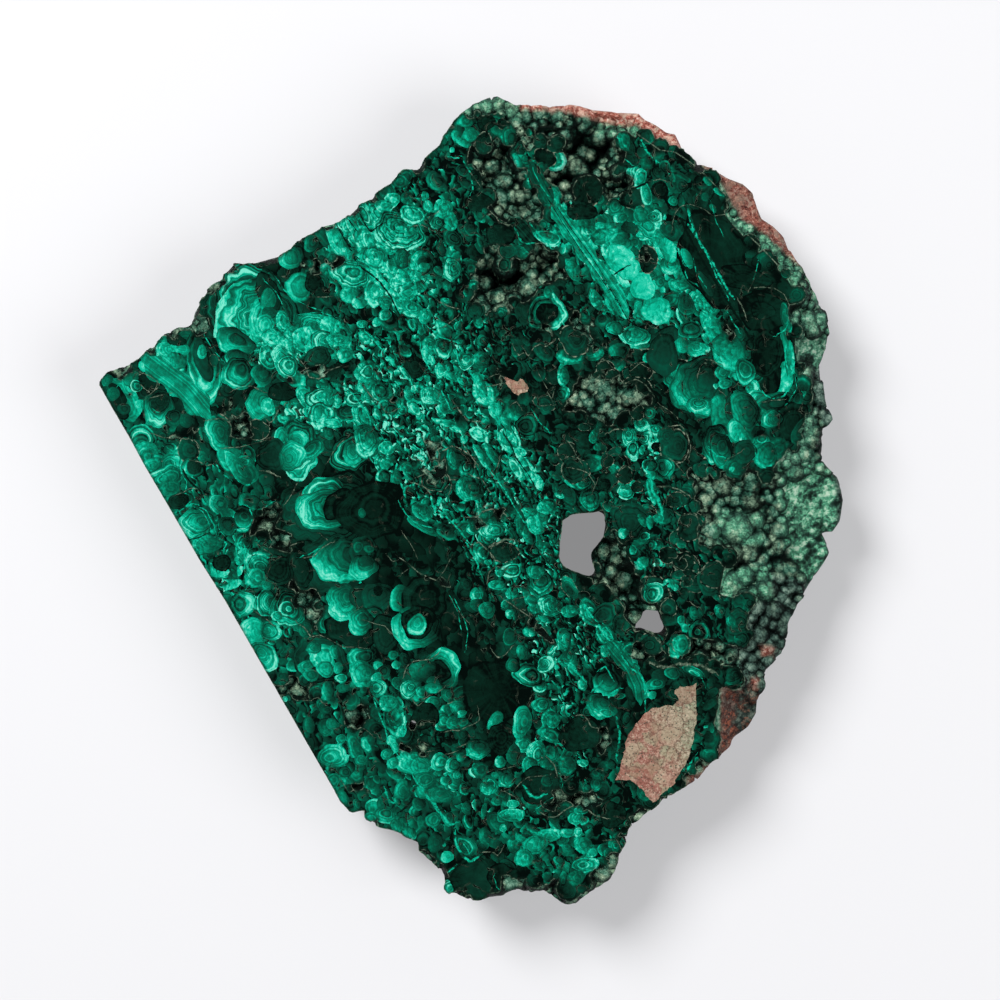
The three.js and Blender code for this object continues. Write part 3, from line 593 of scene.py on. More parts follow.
    (712, 338, 10, 7, 0, 0.4, 0.85), (636, 338, 17, 11, 20, 0.4, 1.0, 170, 3, 0.8),
    (666, 346, 17, 20, 0, 0.12, 0.5, 80, 2, 0.2), (683, 345, 7, 9, 0, 0.4, 0.88, 150, 2, 0.3),
    (698, 349, 11, 8, 0, 0.6, 1.0, 60, 2, 0.4), (727, 348, 13, 11, 10, 0.55, 1.0, 180, 2, 0.4),
    (692, 331, 5, 5, 0, 0.4, 0.8), (615, 328, 9, 7, 0, 0.4, 0.85), (611, 306, 12, 4, 60, 0.4, 0.85),
    # the fan and the black disc on the right
    (706, 382, 16, 16, 0, 0.06, 0.3), (700, 387, 31, 29, 20, 0.12, 0.75, 125, 5, 0.45),
    (707, 380, 14, 14, 0, 0.06, 0.4, 130, 2, 0.2), (698, 405, 12, 8, 10, 0.5, 0.93, 100, 3, 0.6),
    (733, 357, 19, 9, 45, 0.7, 1.0, 180, 5, 0.6), (742, 375, 9, 8, 0, 0.55, 0.95, 180, 2, 0.4),
    (722, 372, 7, 8, 0, 0.4, 0.8), (725, 384, 7, 5, 0, 0.5, 0.85), (716, 386, 3, 3, 0, 0.7, 0.97),
    (736, 395, 5, 5, 0, 0.4, 0.8), (773, 362, 22, 39, 0, 0.3, 0.93, 30, 3, 0.5),
    (768, 358, 17, 36, 0, 0.02, 0.07), (757, 365, 8, 22, 5, 0.1, 0.5, 0, 4, 0.7),
    (768, 350, 14, 26, 0, 0.02, 0.06), (752, 387, 7, 9, 20, 0.6, 1.0, 0, 2, 0.6),
    (757, 399, 11, 9, 0, 0.5, 1.0, 180, 2, 0.6), (773, 403, 22, 10, -10, 0.1, 0.55, 180, 2, 0.5),
    (756, 414, 6, 13, 0, 0.3, 0.75), (790, 408, 9, 6, -30, 0.4, 0.75),
    (720, 412, 10, 17, 0, 0.5, 0.82, 190, 2, 0.2), (733, 408, 9, 12, 0, 0.08, 0.3),
    (745, 411, 13, 22, -15, 0.1, 0.75, 175, 3, 0.3), (737, 432, 9, 14, -20, 0.6, 1.0, 190, 3, 0.35),
    (745, 440, 7, 8, 0, 0.5, 0.93), (715, 443, 13, 20, 5, 0.06, 1.0, 70, 6, 0.9),
    (790, 425, 17, 24, 30, 0.03, 0.14), (800, 432, 8, 14, 20, 0.1, 0.4),
    (772, 419, 11, 10, 0, 0.15, 0.9, 180, 3, 0.6), (762, 440, 8, 5, 0, 0.4, 0.9, 90, 2, 0.5),
    (776, 451, 17, 11, -35, 0.25, 0.75, 150, 3, 0.5), (763, 456, 12, 13, -15, 0.5, 1.0, 150, 3, 0.4),
    (742, 460, 15, 13, 0, 0.18, 0.35), (731, 467, 7, 6, 0, 0.4, 0.95), (743, 475, 9, 4, 10, 0.4, 0.8),
    (762, 481, 13, 12, 0, 0.08, 0.3), (774, 474, 3, 7, -20, 0.6, 0.95),
    # the middle
    (422, 512, 13, 8, 35, 0.4, 0.8, 120, 3, 0.5), (422, 526, 18, 5, 30, 0.3, 0.7, 150, 2, 0.6),
    (476, 595, 6, 8, 0, 0.6, 0.99), (477, 605, 7, 7, 0, 0.04, 0.5, 180, 2, 0.3),
    (487, 610, 8, 9, 0, 0.3, 0.75, 170, 2, 0.5), (492, 530, 13, 9, 0, 0.5, 0.95, 180, 3, 0.8),
    (483, 516, 7, 9, 0, 0.4, 0.85), (482, 553, 9, 11, -20, 0.2, 0.9, 170, 2, 0.5),
    (488, 562, 4, 3, 0, 0.6, 0.9), (510, 571, 12, 8, 0, 0.5, 0.93, 150, 2, 0.9),
    (497, 585, 9, 5, 0, 0.6, 0.97), (500, 573, 5, 4, 0, 0.5, 0.93), (472, 529, 6, 6, 0, 0.4, 0.9),
    (535, 526, 7, 11, -35, 0.7, 1.0, 180, 2, 0.5), (528, 512, 8, 5, 0, 0.6, 0.99),
    (545, 508, 9, 7, -20, 0.6, 0.99), (541, 520, 7, 8, 0, 0.5, 0.9),
    (540, 584, 14, 13, 0, 0.2, 0.93, 95, 3, 0.8), (535, 572, 9, 7, 0, 0.5, 0.8),
    (550, 606, 13, 12, 0, 0.3, 0.88, 175, 3, 0.9), (531, 600, 7, 5, 0, 0.5, 0.85),
    (533, 608, 6, 6, 0, 0.5, 0.85), (541, 620, 8, 4, -10, 0.6, 0.95), (530, 632, 8, 5, 0, 0.6, 1.0),
    (545, 630, 6, 4, 0, 0.4, 0.95), (510, 614, 5, 5, 0, 0.5, 0.93),
    (504, 552, 14, 11, 0, 0.06, 0.25, 150, 5, 0.4, 1), (510, 637, 8, 9, 0, 0.2, 0.5),
    (512, 593, 7, 6, -40, 0.5, 0.97), (520, 522, 5, 12, 0, 0.3, 0.7),
    # the lower middle
    (424, 671, 15, 11, 0, 0.02, 0.75, 200, 2, 0.3), (433, 684, 8, 9, 0, 0.25, 0.88, 110, 2, 0.4),
    (409, 689, 8, 11, 20, 0.5, 0.99, 150, 4, 0.9), (421, 692, 5, 6, 0, 0.4, 0.9),
    (448, 695, 7, 7, 0, 0.15, 0.8, 150, 2, 0.4), (433, 702, 8, 6, 0, 0.3, 0.8, 180, 2, 0.5),
    (431, 711, 6, 6, -30, 0.4, 0.99), (447, 710, 6, 6, 0, 0.3, 0.88),
    (458, 708, 8, 8, 0, 0.15, 0.85, -160, 2, 0.4), (462, 713, 5, 3, 0, 0.5, 0.95),
    (442, 721, 9, 10, 30, 0.5, 0.97, 180, 2, 0.6), (453, 723, 7, 7, 0, 0.4, 0.8),
    (463, 722, 5, 5, 0, 0.3, 0.75, 90, 2, 0.3), (478, 749, 12, 11, 0, 0.12, 0.97, 120, 2, 0.4),
    (500, 762, 6, 6, 0, 0.5, 0.97), (479, 771, 10, 9, 0, 0.4, 0.88, 150, 2, 0.5),
    (505, 778, 7, 9, 20, 0.3, 0.97, 110, 2, 0.7), (490, 785, 8, 10, 0, 0.5, 0.98, 120, 2, 0.7),
    (497, 775, 6, 4, 0, 0.4, 0.7), (495, 721, 6, 12, 30, 0.5, 0.85), (501, 738, 14, 16, 0, 0.02, 0.07),
    (522, 722, 10, 16, 10, 0.45, 0.9, 185, 3, 0.4), (523, 745, 8, 8, 0, 0.5, 0.93),
    (536, 754, 10, 13, 0, 0.55, 1.0, 180, 3, 0.7), (530, 766, 9, 9, 0, 0.4, 0.88, 150, 3, 0.5),
    (545, 765, 5, 7, 0, 0.3, 0.6), (514, 755, 8, 10, 0, 0.15, 0.5),
    (541, 705, 9, 8, 0, 0.4, 0.8, 170, 4, 0.5), (540, 687, 7, 6, 0, 0.3, 0.95, 120, 2, 0.5),
    (550, 720, 9, 11, 0, 0.5, 0.93, 180, 2, 0.6), (545, 734, 9, 7, 0, 0.55, 0.95, 180, 2, 0.5),
    (528, 675, 15, 12, 20, 0.2, 0.85, 170, 4, 0.8), (513, 665, 7, 8, 0, 0.05, 0.75, 180, 2, 0.4),
    (522, 652, 6, 7, 0, 0.3, 0.9, 180, 2, 0.3), (546, 664, 11, 8, -40, 0.6, 1.0, 0, 3, 0.9),
    (395, 717, 12, 20, 0, 0.4, 0.97, 30, 3, 0.5), (414, 764, 20, 12, 15, 0.55, 0.97, 200, 3, 0.4),
    (440, 762, 10, 9, 10, 0.5, 0.98, 180, 2, 0.6), (453, 765, 9, 8, 0, 0.2, 0.95, 170, 2, 0.6),
    (461, 757, 5, 5, 0, 0.3, 0.8), (457, 775, 4, 4, 0, 0.5, 0.95), (426, 786, 12, 14, 0, 0.4, 0.75),
    (446, 781, 6, 5, 0, 0.4, 0.93), (403, 792, 8, 10, 0, 0.4, 0.8), (537, 785, 15, 13, 0, 0.08, 0.2),
    (528, 795, 8, 6, 20, 0.5, 1.0), (549, 783, 7, 9, 0, 0.2, 0.6),
    # the lower right
    (570, 611, 10, 6, -10, 0.5, 0.9), (564, 640, 7, 13, 0, 0.4, 0.97, 180, 2, 0.5),
    (568, 659, 10, 8, 0, 0.4, 0.85, 110, 2, 0.5), (583, 684, 5, 7, 0, 0.4, 0.97),
    (576, 669, 7, 9, -30, 0.2, 0.8, 180, 2, 0.7), (606, 651, 6, 7, 0, 0.5, 0.9),
    (590, 613, 16, 9, 55, 0.5, 0.88, 180, 2, 0.6), (606, 633, 14, 9, 50, 0.45, 0.85, 180, 2, 0.6),
    (625, 655, 18, 8, 52, 0.4, 0.88, 0, 3, 0.6), (632, 650, 10, 8, 0, 0.4, 0.9, 0, 2, 0.7),
    (640, 682, 7, 18, -15, 0.4, 0.9, 0, 4, 0.7), (607, 683, 14, 13, 0, 0.05, 0.92, 115, 3, 0.4),
    (600, 706, 15, 12, 20, 0.15, 0.95, 125, 3, 0.4), (602, 704, 8, 8, 0, 0.25, 0.5),
    (653, 592, 17, 17, 0, 0.12, 0.4, 200, 2, 0.3, 1), (653, 593, 11, 11, 0, 0.4, 0.97, -30, 4, 0.9),
    (669, 583, 5.5, 5, 0, 0.7, 0.95, 180, 1, 0.6), (668, 583, 2, 2, 0, 0.1, 0.2),
    (675, 587, 4, 4, 0, 0.65, 0.88), (640, 565, 6, 5, 0, 0.5, 0.93),
    (660, 563, 6, 5, 0, 0.2, 0.9, 60, 1, 0.8), (649, 646, 12, 13, 0, 0.08, 0.3, 180, 1, 0.5, 1),
    (681, 647, 13, 12, 0, 0.5, 1.0, 60, 2, 0.5, 1), (700, 632, 12, 13, 0, 0.08, 0.75, 180, 3, 1.0),
    (699, 632, 4, 4, 0, 0.02, 0.1), (605, 615, 13, 12, 0, 0.12, 0.4, 0, 2, 0.5),
    (622, 624, 10, 12, 0, 0.1, 0.4, 0, 2, 0.4), (660, 676, 9, 7, 0, 0.08, 0.3),
    (672, 673, 8, 6, 0, 0.3, 0.75), (694, 672, 12, 5, 25, 0.4, 0.9, -90, 2, 0.6),
    (652, 695, 5, 4, 0, 0.6, 0.97), (655, 684, 10, 6, -10, 0.3, 0.85, 150, 2, 0.7),
    (710, 580, 13, 15, 0, 0.08, 0.4), (146, 456, 8, 9, 0, 0.5, 0.85, 200, 3, 0.4),
    (151, 465, 10, 7, -10, 0.6, 0.9, 200), (165, 478, 20, 12, -15, 0.45, 0.95, 190, 4, 0.4),
    (168, 489, 14, 8, -15, 0.5, 0.8, 170, 2, 0.3), (194, 467, 7, 8, 0, 0.08, 0.25),
    (179, 501, 11, 8, -20, 0.04, 0.14), (197, 523, 18, 15, -10, 0.4, 1, 160, 5, 0.5),
    (206, 544, 17, 11, -10, 0.45, 0.8, 180, 3, 0.35), (218, 504, 11, 9, 30, 0.35, 0.85, 180, 4, 0.6),
    (228, 514, 8, 6, 30, 0.4, 0.75, 60, 2, 0.3), (228, 526, 10, 10, 0, 0.12, 0.45, 100, 3, 0.4),
    (244, 519, 10, 10, 0, 0.05, 0.8, 100, 3, 0.5), (238, 468, 22, 8, 50, 0.35, 0.9, 200, 3, 0.4),
    (246, 462, 4, 4, 0, 0.3, 0.8, 0, 3, 0.8), (272, 455, 16, 16, 0, 0.08, 0.22, 0, 3, 0.3),
    (292, 456, 14, 15, 0, 0.55, 1, -30, 4, 0.5), (220, 574, 11, 3, -8, 0.9, 1, 0, 1, 0.1),
    (240, 569, 3, 8, 10, 0.9, 1, 0, 1, 0.1), (233, 585, 10, 4, -25, 0.92, 1, 0, 1, 0.1),
    (240, 560, 5, 6, 0, 0.6, 0.85), (229, 557, 6, 6, 0, 0.15, 0.65, 160, 3, 0.6),
    (222, 563, 9, 9, 0, 0.04, 0.1), (259, 564, 11, 9, 0, 0.35, 0.85, -120, 4, 0.6),
    (256, 578, 9, 10, 0, 0.55, 0.85, 180, 2, 0.3), (267, 585, 6, 6, 0, 0.45, 0.75),
    (278, 570, 12, 13, 0, 0.05, 0.12), (285, 699, 3, 3, 0, 0.85, 0.95),
    (309, 725, 6, 10, 0, 0.25, 0.7, 180, 2, 0.3), (325, 727, 7, 10, 0, 0.25, 0.7, 90, 2, 0.3),
    (332, 724, 6, 6, 0, 0.5, 0.8), (326, 710, 7, 4, 0, 0.15, 0.5),
    (333, 756, 15, 12, -10, 0.6, 1, -40, 4, 0.4), (341, 739, 5, 5, 0, 0.6, 0.8),
    (355, 748, 17, 7, 75, 0.4, 0.78, 180, 2, 0.4), (366, 745, 9, 4.5, 65, 0.7, 0.85, 200, 2, 0.4),
    (361, 760, 7, 6, 0, 0.5, 0.75), (345, 772, 6, 6, 0, 0.25, 0.5), (333, 781, 7, 8, 0, 0.55, 0.75),
    (342, 797, 11, 6, 60, 0.55, 0.75, 180, 2, 0.3), (363, 795, 6, 7, 0, 0.25, 0.55),
    (374, 807, 9, 9, 0, 0.55, 1, -60, 3, 0.4), (385, 815, 12, 9, 0, 0.45, 0.9, 120, 4, 0.6),
    (371, 818, 8, 6, 0, 0.6, 0.8), (382, 803, 6, 6, 0, 0.35, 0.6),
    (402, 790, 8, 10, 0, 0.4, 0.85, 200, 3, 0.3), (397, 826, 7, 7, 0, 0.45, 0.75, 120, 2, 0.3),
    (408, 832, 7, 5, 40, 0.5, 0.9, 120, 2, 0.3), (396, 715, 8, 11, 10, 0.35, 0.75, -20, 2, 0.4),
    (402, 731, 5, 6, 10, 0.8, 0.95), (388, 703, 9, 9, 0, 0.6, 0.9), (391, 740, 5, 5, 0, 0.85, 1),
    (395, 747, 4, 6, -20, 0.8, 0.95), (387, 754, 7, 5, -35, 0.5, 0.85), (393, 763, 6, 6, 0, 0.65, 0.9),
    (412, 757, 12, 6, 20, 0.5, 0.95, 180, 2, 0.3), (420, 766, 11, 8, 30, 0.6, 0.8),
    (425, 780, 10, 9, 0, 0.5, 0.7), (433, 688, 9, 6, 0, 0.5, 0.85, 120), (431, 710, 4, 9, 10, 0.7, 0.9),
    (425, 716, 14, 14, 0, 0.05, 0.12), (440, 795, 15, 8, 10, 0.45, 0.65), (433, 820, 8, 8, 0, 0.5, 0.7),
    (466, 846, 12, 9, 50, 0.3, 0.7, -30, 4, 0.6), (447, 857, 7, 6, 0, 0.75, 0.95),
    (435, 843, 8, 9, 0, 0.2, 0.5), (449, 888, 9, 9, 0, 0.6, 1, 180, 4, 0.8),
    (475, 880, 24, 20, 0, 0.1, 0.2, 0, 2, 0.2), (503, 880, 16, 17, 0, 0.03, 0.08, 0, 2, 0.1),
    (487, 788, 7, 7, 0, 0.5, 0.95, 120), (480, 770, 9, 8, 0, 0.3, 0.7),
    (507, 780, 8, 8, 0, 0.3, 0.85, 120), (497, 801, 6, 5, 0, 0.4, 0.75), (513, 804, 7, 4, 0, 0.7, 0.95),
    (512, 815, 13, 7, 0, 0.6, 0.9, -60, 2, 0.3), (503, 828, 4, 4, 0, 0.8, 0.95),
    (539, 785, 21, 18, 0, 0.08, 0.16, 0, 3, 0.3), (547, 781, 6, 7, 0, 0.2, 0.45),
    (484, 811, 3, 9, 10, 0.4, 0.7), (485, 836, 6, 8, 0, 0.3, 0.7),
    (550, 835, 13, 7, -5, 0.7, 0.95, -60), (535, 845, 14, 9, -25, 0.6, 0.9),
    (524, 858, 10, 9, -30, 0.6, 0.95), (520, 838, 6, 4, 30, 0.6, 0.85), (576, 818, 8, 7, 0, 0.55, 0.9),
    (581, 810, 7, 5, 0, 0.5, 0.8), (567, 833, 8, 5, 0, 0.7, 0.95), (578, 832, 4, 5, 0, 0.85, 1),
    (583, 845, 10, 8, 20, 0.5, 0.9), (592, 853, 6, 5, -30, 0.75, 0.95), (566, 847, 5, 4, 0, 0.5, 0.75),
    (586, 865, 14, 8, -10, 0.6, 0.9, 0, 4, 0.6), (576, 878, 9, 8, 0, 0.4, 0.7),
    (558, 860, 5, 4, 0, 0.4, 0.75), (614, 846, 7, 8, 0, 0.3, 0.8, 160, 3, 0.6),
    (608, 853, 5, 6, 0, 0.3, 0.65), (613, 815, 14, 13, 0, 0.06, 0.12),
    (596, 785, 6, 6, 0, 0.3, 0.85, 120, 3, 0.6), (603, 706, 15, 9, 20, 0.2, 0.85, 120, 3, 0.4),
    (606, 713, 8, 4, 10, 0.6, 0.9), (582, 684, 5, 6, 0, 0.6, 0.95), (567, 741, 9, 8, 0, 0.5, 0.85),
    (567, 765, 10, 10, 0, 0.3, 0.75, 160, 2, 0.3), (583, 763, 6, 4, 0, 0.7, 1),
    (549, 735, 12, 7, 20, 0.45, 0.75), (553, 720, 8, 8, 0, 0.4, 0.75),
    (580, 735, 20, 18, 0, 0.07, 0.15, 0, 3, 0.2), (465, 121, 8, 7, 0, 0.4, 0.75),
    (471, 135, 9, 8, 0, 0.4, 0.8), (455, 135, 4, 6, 0, 0.6, 0.95), (464, 143, 10, 4, 25, 0.5, 0.85),
    (486, 122, 10, 8, 0, 0.04, 0.1), (504, 124, 7, 6, 0, 0.04, 0.1, 0, 2, 0.3, 1),
    (484, 145, 9, 13, 0, 0.05, 0.35, 90, 3, 0.4, 1), (510, 138, 8, 12, 0, 0.15, 0.6, 180, 3, 0.5),
    (516, 127, 6, 6, 0, 0.25, 0.5), (527, 133, 5, 6, 0, 0.2, 0.6, 0, 2, 0.6, 1),
    (541, 141, 8, 9, 0, 0.03, 0.35, 180, 2, 0.4), (557, 145, 11, 8, 0, 0.05, 0.3, 180, 2, 0.4, 1),
    (518, 162, 11, 4, 62, 0.5, 0.95, 180, 2, 0.3), (545, 158, 12, 9, 20, 0.03, 0.1, 0, 2, 0.2, 1),
    (542, 168, 6, 6, 0, 0.2, 0.7), (555, 198, 9, 5, 62, 0.6, 0.95), (563, 210, 6, 6, 0, 0.8, 1),
    (587, 190, 17, 19, 0, 0.03, 0.08, 0, 2, 0.15, 1), (582, 211, 16, 9, 0, 0.05, 0.12),
    (480, 203, 14, 10, 0, 0.05, 0.12), (500, 235, 15, 12, 0, 0.05, 0.12), (485, 211, 3, 4, 0, 0.4, 0.6),
    (491, 223, 3, 3, 0, 0.4, 0.6), (452, 150, 3, 3, 0, 0.85, 1), (523, 230, 12, 7, 50, 0.04, 0.1),
    (622, 137, 5, 7, 0, 0.5, 1, 180, 4, 0.8), (630, 136, 9, 7, 0, 0.04, 0.1),
    (622, 150, 13, 13, 0, 0.12, 0.3, 180, 3, 0.4), (635, 172, 8, 11, -15, 0.3, 1, 180, 4, 0.6),
    (632, 198, 12, 12, 0, 0.05, 0.3, 0, 2, 0.3, 1), (646, 194, 6, 12, -10, 0.6, 0.95, 180, 5, 0.6),
    (651, 226, 16, 12, 20, 0.7, 1, 0, 5, 0.5), (641, 215, 8, 9, 0, 0.45, 0.75),
    (655, 217, 8, 6, 0, 0.5, 0.9, 0, 4, 0.8), (660, 238, 8, 9, 0, 0.55, 0.85),
    (668, 229, 8, 8, 0, 0.2, 0.45), (676, 250, 7, 6, 0, 0.6, 1, 0, 4, 0.9), (664, 250, 9, 8, 0, 0.7, 1),
    (610, 229, 14, 7, -15, 0.5, 0.85), (600, 226, 6, 4, 0, 0.8, 0.95), (595, 243, 7, 6, -40, 0.8, 1),
    (616, 241, 10, 8, 0, 0.5, 0.8), (670, 188, 5, 7, -10, 0.35, 0.6), (673, 201, 5, 5, 0, 0.5, 0.8),
    (660, 190, 9, 9, 0, 0.03, 0.08), (708, 181, 6, 4, 50, 0.4, 0.75), (719, 192, 7, 3, 40, 0.5, 0.85),
    (705, 197, 4, 5, 0, 0.3, 0.55), (713, 208, 5, 3, 50, 0.35, 0.6), (643, 563, 5, 5, 0, 0.6, 0.95),
    (654, 594, 9, 10, 0, 0.45, 0.95, 0, 4, 0.6), (681, 645, 9, 11, -20, 0.55, 0.85, 180, 2, 0.3, 1),
    (651, 645, 10, 10, 0, 0.1, 0.3, 0, 3, 0.5), (700, 632, 8, 9, 0, 0.03, 0.55, 0, 2, 0.9),
    (668, 607, 10, 9, 0, 0.12, 0.35, -60, 2, 0.4, 1), (694, 613, 5, 7, 0, 0.35, 0.75),
    (681, 620, 4, 5, 0, 0.5, 0.9), (685, 628, 4, 5, 0, 0.6, 0.95), (698, 650, 6, 4, 0, 0.4, 0.8),
    (714, 575, 13, 15, 0, 0.08, 0.22, 180, 2, 0.3, 1), (688, 572, 5, 5, 0, 0.06, 0.15, 0, 2, 0.3, 1),
    (688, 582, 5, 5, 0, 0.08, 0.2, 0, 2, 0.3, 1), (695, 567, 4, 4, 0, 0.2, 0.4, 0, 2, 0.3, 1),
    (725, 595, 5, 5, 0, 0.15, 0.5, 0, 3, 0.7), (720, 611, 6, 7, 0, 0.2, 0.75, 180, 3, 0.5),
    (738, 622, 13, 14, 0, 0.15, 0.4, 180, 2, 0.4), (731, 621, 5, 8, -30, 0.4, 0.7),
    (582, 482, 10, 8, 0, 0.2, 0.85, 180, 4, 0.5), (590, 500, 10, 11, 0, 0.2, 0.75, 120, 4, 0.5),
    (625, 491, 7, 6, 0, 0.6, 0.95), (634, 483, 5, 3, -20, 0.6, 0.9),
    (637, 487, 6, 6, 0, 0.06, 0.12, 0, 2, 0.2, 1), (604, 485, 7, 7, 0, 0.04, 0.1),
    (630, 520, 20, 18, 0, 0.1, 0.35, -100, 4, 0.4), (623, 533, 5, 6, 0, 0.6, 0.95),
    (643, 521, 8, 4, 50, 0.4, 0.75), (650, 522, 4, 7, 0, 0.5, 0.9),
    (645, 536, 5, 4, 0, 0.1, 0.7, 0, 2, 0.9), (652, 545, 5, 5, 0, 0.1, 0.7, 0, 2, 0.9),
    (633, 550, 4, 5, 0, 0.6, 0.95), (643, 562, 6, 6, 0, 0.5, 0.9),
    (654, 556, 4, 4, 0, 0.05, 0.7, 0, 2, 0.9), (659, 562, 6, 4, 50, 0.1, 0.75, 0, 2, 0.9),
    (690, 527, 14, 14, 0, 0.08, 0.28, 0, 2, 0.3, 1), (677, 500, 11, 8, 10, 0.08, 0.3, 0, 2, 0.4, 1),
    (668, 555, 9, 9, 0, 0.04, 0.12, 0, 2, 0.2, 1), (686, 563, 8, 8, 0, 0.05, 0.14, 0, 2, 0.2, 1),
    (721, 450, 12, 17, 0, 0.1, 0.75, 120, 5, 0.6), (737, 469, 14, 10, 0, 0.15, 0.65, 170, 3, 0.4),
    (732, 469, 3, 3, 0, 0.8, 1), (766, 456, 12, 13, 0, 0.35, 0.85, 150, 3, 0.3),
    (745, 452, 12, 12, 0, 0.15, 0.35), (766, 479, 12, 12, 0, 0.08, 0.22),
    (779, 474, 3, 8, -10, 0.5, 0.9), (547, 313, 19, 20, 0, 0.3, 0.85, 0, 3, 0.6),
    (547, 313, 11, 11, 0, 0.02, 0.06, 0, 2, 0.2), (575, 340, 16, 16, 0, 0.1, 0.3, 120, 3, 0.4, 1),
    (575, 470, 14, 14, 0, 0.08, 0.25, 0, 3, 0.4, 1), (716, 262, 34, 52, -25, 0.04, 0.12, 0, 2, 0.2),
    (745, 278, 26, 13, 10, 0.03, 0.08, 0, 2, 0.2), (764, 311, 26, 21, 0, 0.02, 0.09, 30, 2, 0.15),
    (763, 311, 12, 9, 0, 0.04, 0.12, 30, 2, 0.15), (767, 353, 17, 22, 0, 0.02, 0.07, 0, 3, 0.3),
    (790, 360, 5, 18, 0, 0.6, 0.95, 0, 3, 0.3), (786, 318, 5, 16, -10, 0.4, 0.8, 0, 3, 0.3),
    (663, 355, 15, 22, -10, 0.14, 0.32, 100, 2, 0.15), (622, 262, 22, 13, 55, 0.88, 1, -20, 2, 0.1),
    (643, 287, 14, 12, 50, 0.86, 1, 0, 2, 0.12), (657, 311, 16, 13, 20, 0.82, 1, 60, 2, 0.12),
    (668, 250, 8, 13, -30, 0.7, 1, 0, 2, 0.15), (648, 259, 10, 14, -10, 0.03, 0.14, 0, 2, 0.3, 1),
    (630, 228, 9, 6, 20, 0.12, 0.4, 0, 2, 0.3), (636, 336, 15, 9, 10, 0.5, 0.9, 100, 3, 0.6),
    (640, 178, 6, 11, 20, 0.6, 0.95, 180, 3, 0.4), (624, 140, 6, 12, -10, 0.4, 0.75, 180, 3, 0.4),
    (628, 160, 10, 9, 0, 0.08, 0.2, 0, 3, 0.3), (687, 258, 5, 11, -25, 0.5, 0.85, 180, 2, 0.15),
    (706, 284, 5, 15, -28, 0.12, 0.3, 180, 2, 0.15), (712, 328, 9, 20, -25, 0.6, 0.9, 180, 2, 0.15),
    (729, 352, 15, 23, -20, 0.45, 0.95, 100, 2, 0.15), (745, 372, 10, 14, -20, 0.4, 0.85, 100, 4, 0.4),
    (604, 236, 14, 8, -25, 0.6, 0.9, 0, 3, 0.3), (690, 330, 12, 9, 0, 0.25, 0.6, 100, 3, 0.5),
    (686, 305, 9, 12, -20, 0.2, 0.5, 120, 3, 0.4), (573, 270, 7, 13, -28, 0.5, 0.85, 180, 3, 0.3),
    (596, 300, 6, 12, -28, 0.5, 0.85, 180, 3, 0.3), (556, 262, 8, 14, -28, 0.06, 0.2, 0, 2, 0.3),
    (528, 262, 6, 20, -32, 0.45, 0.8, 0, 3, 0.3), (538, 280, 6, 9, -20, 0.3, 0.6, 90, 3, 0.4),
    (548, 292, 5, 6, 0, 0.4, 0.7, 90, 2, 0.4),
]
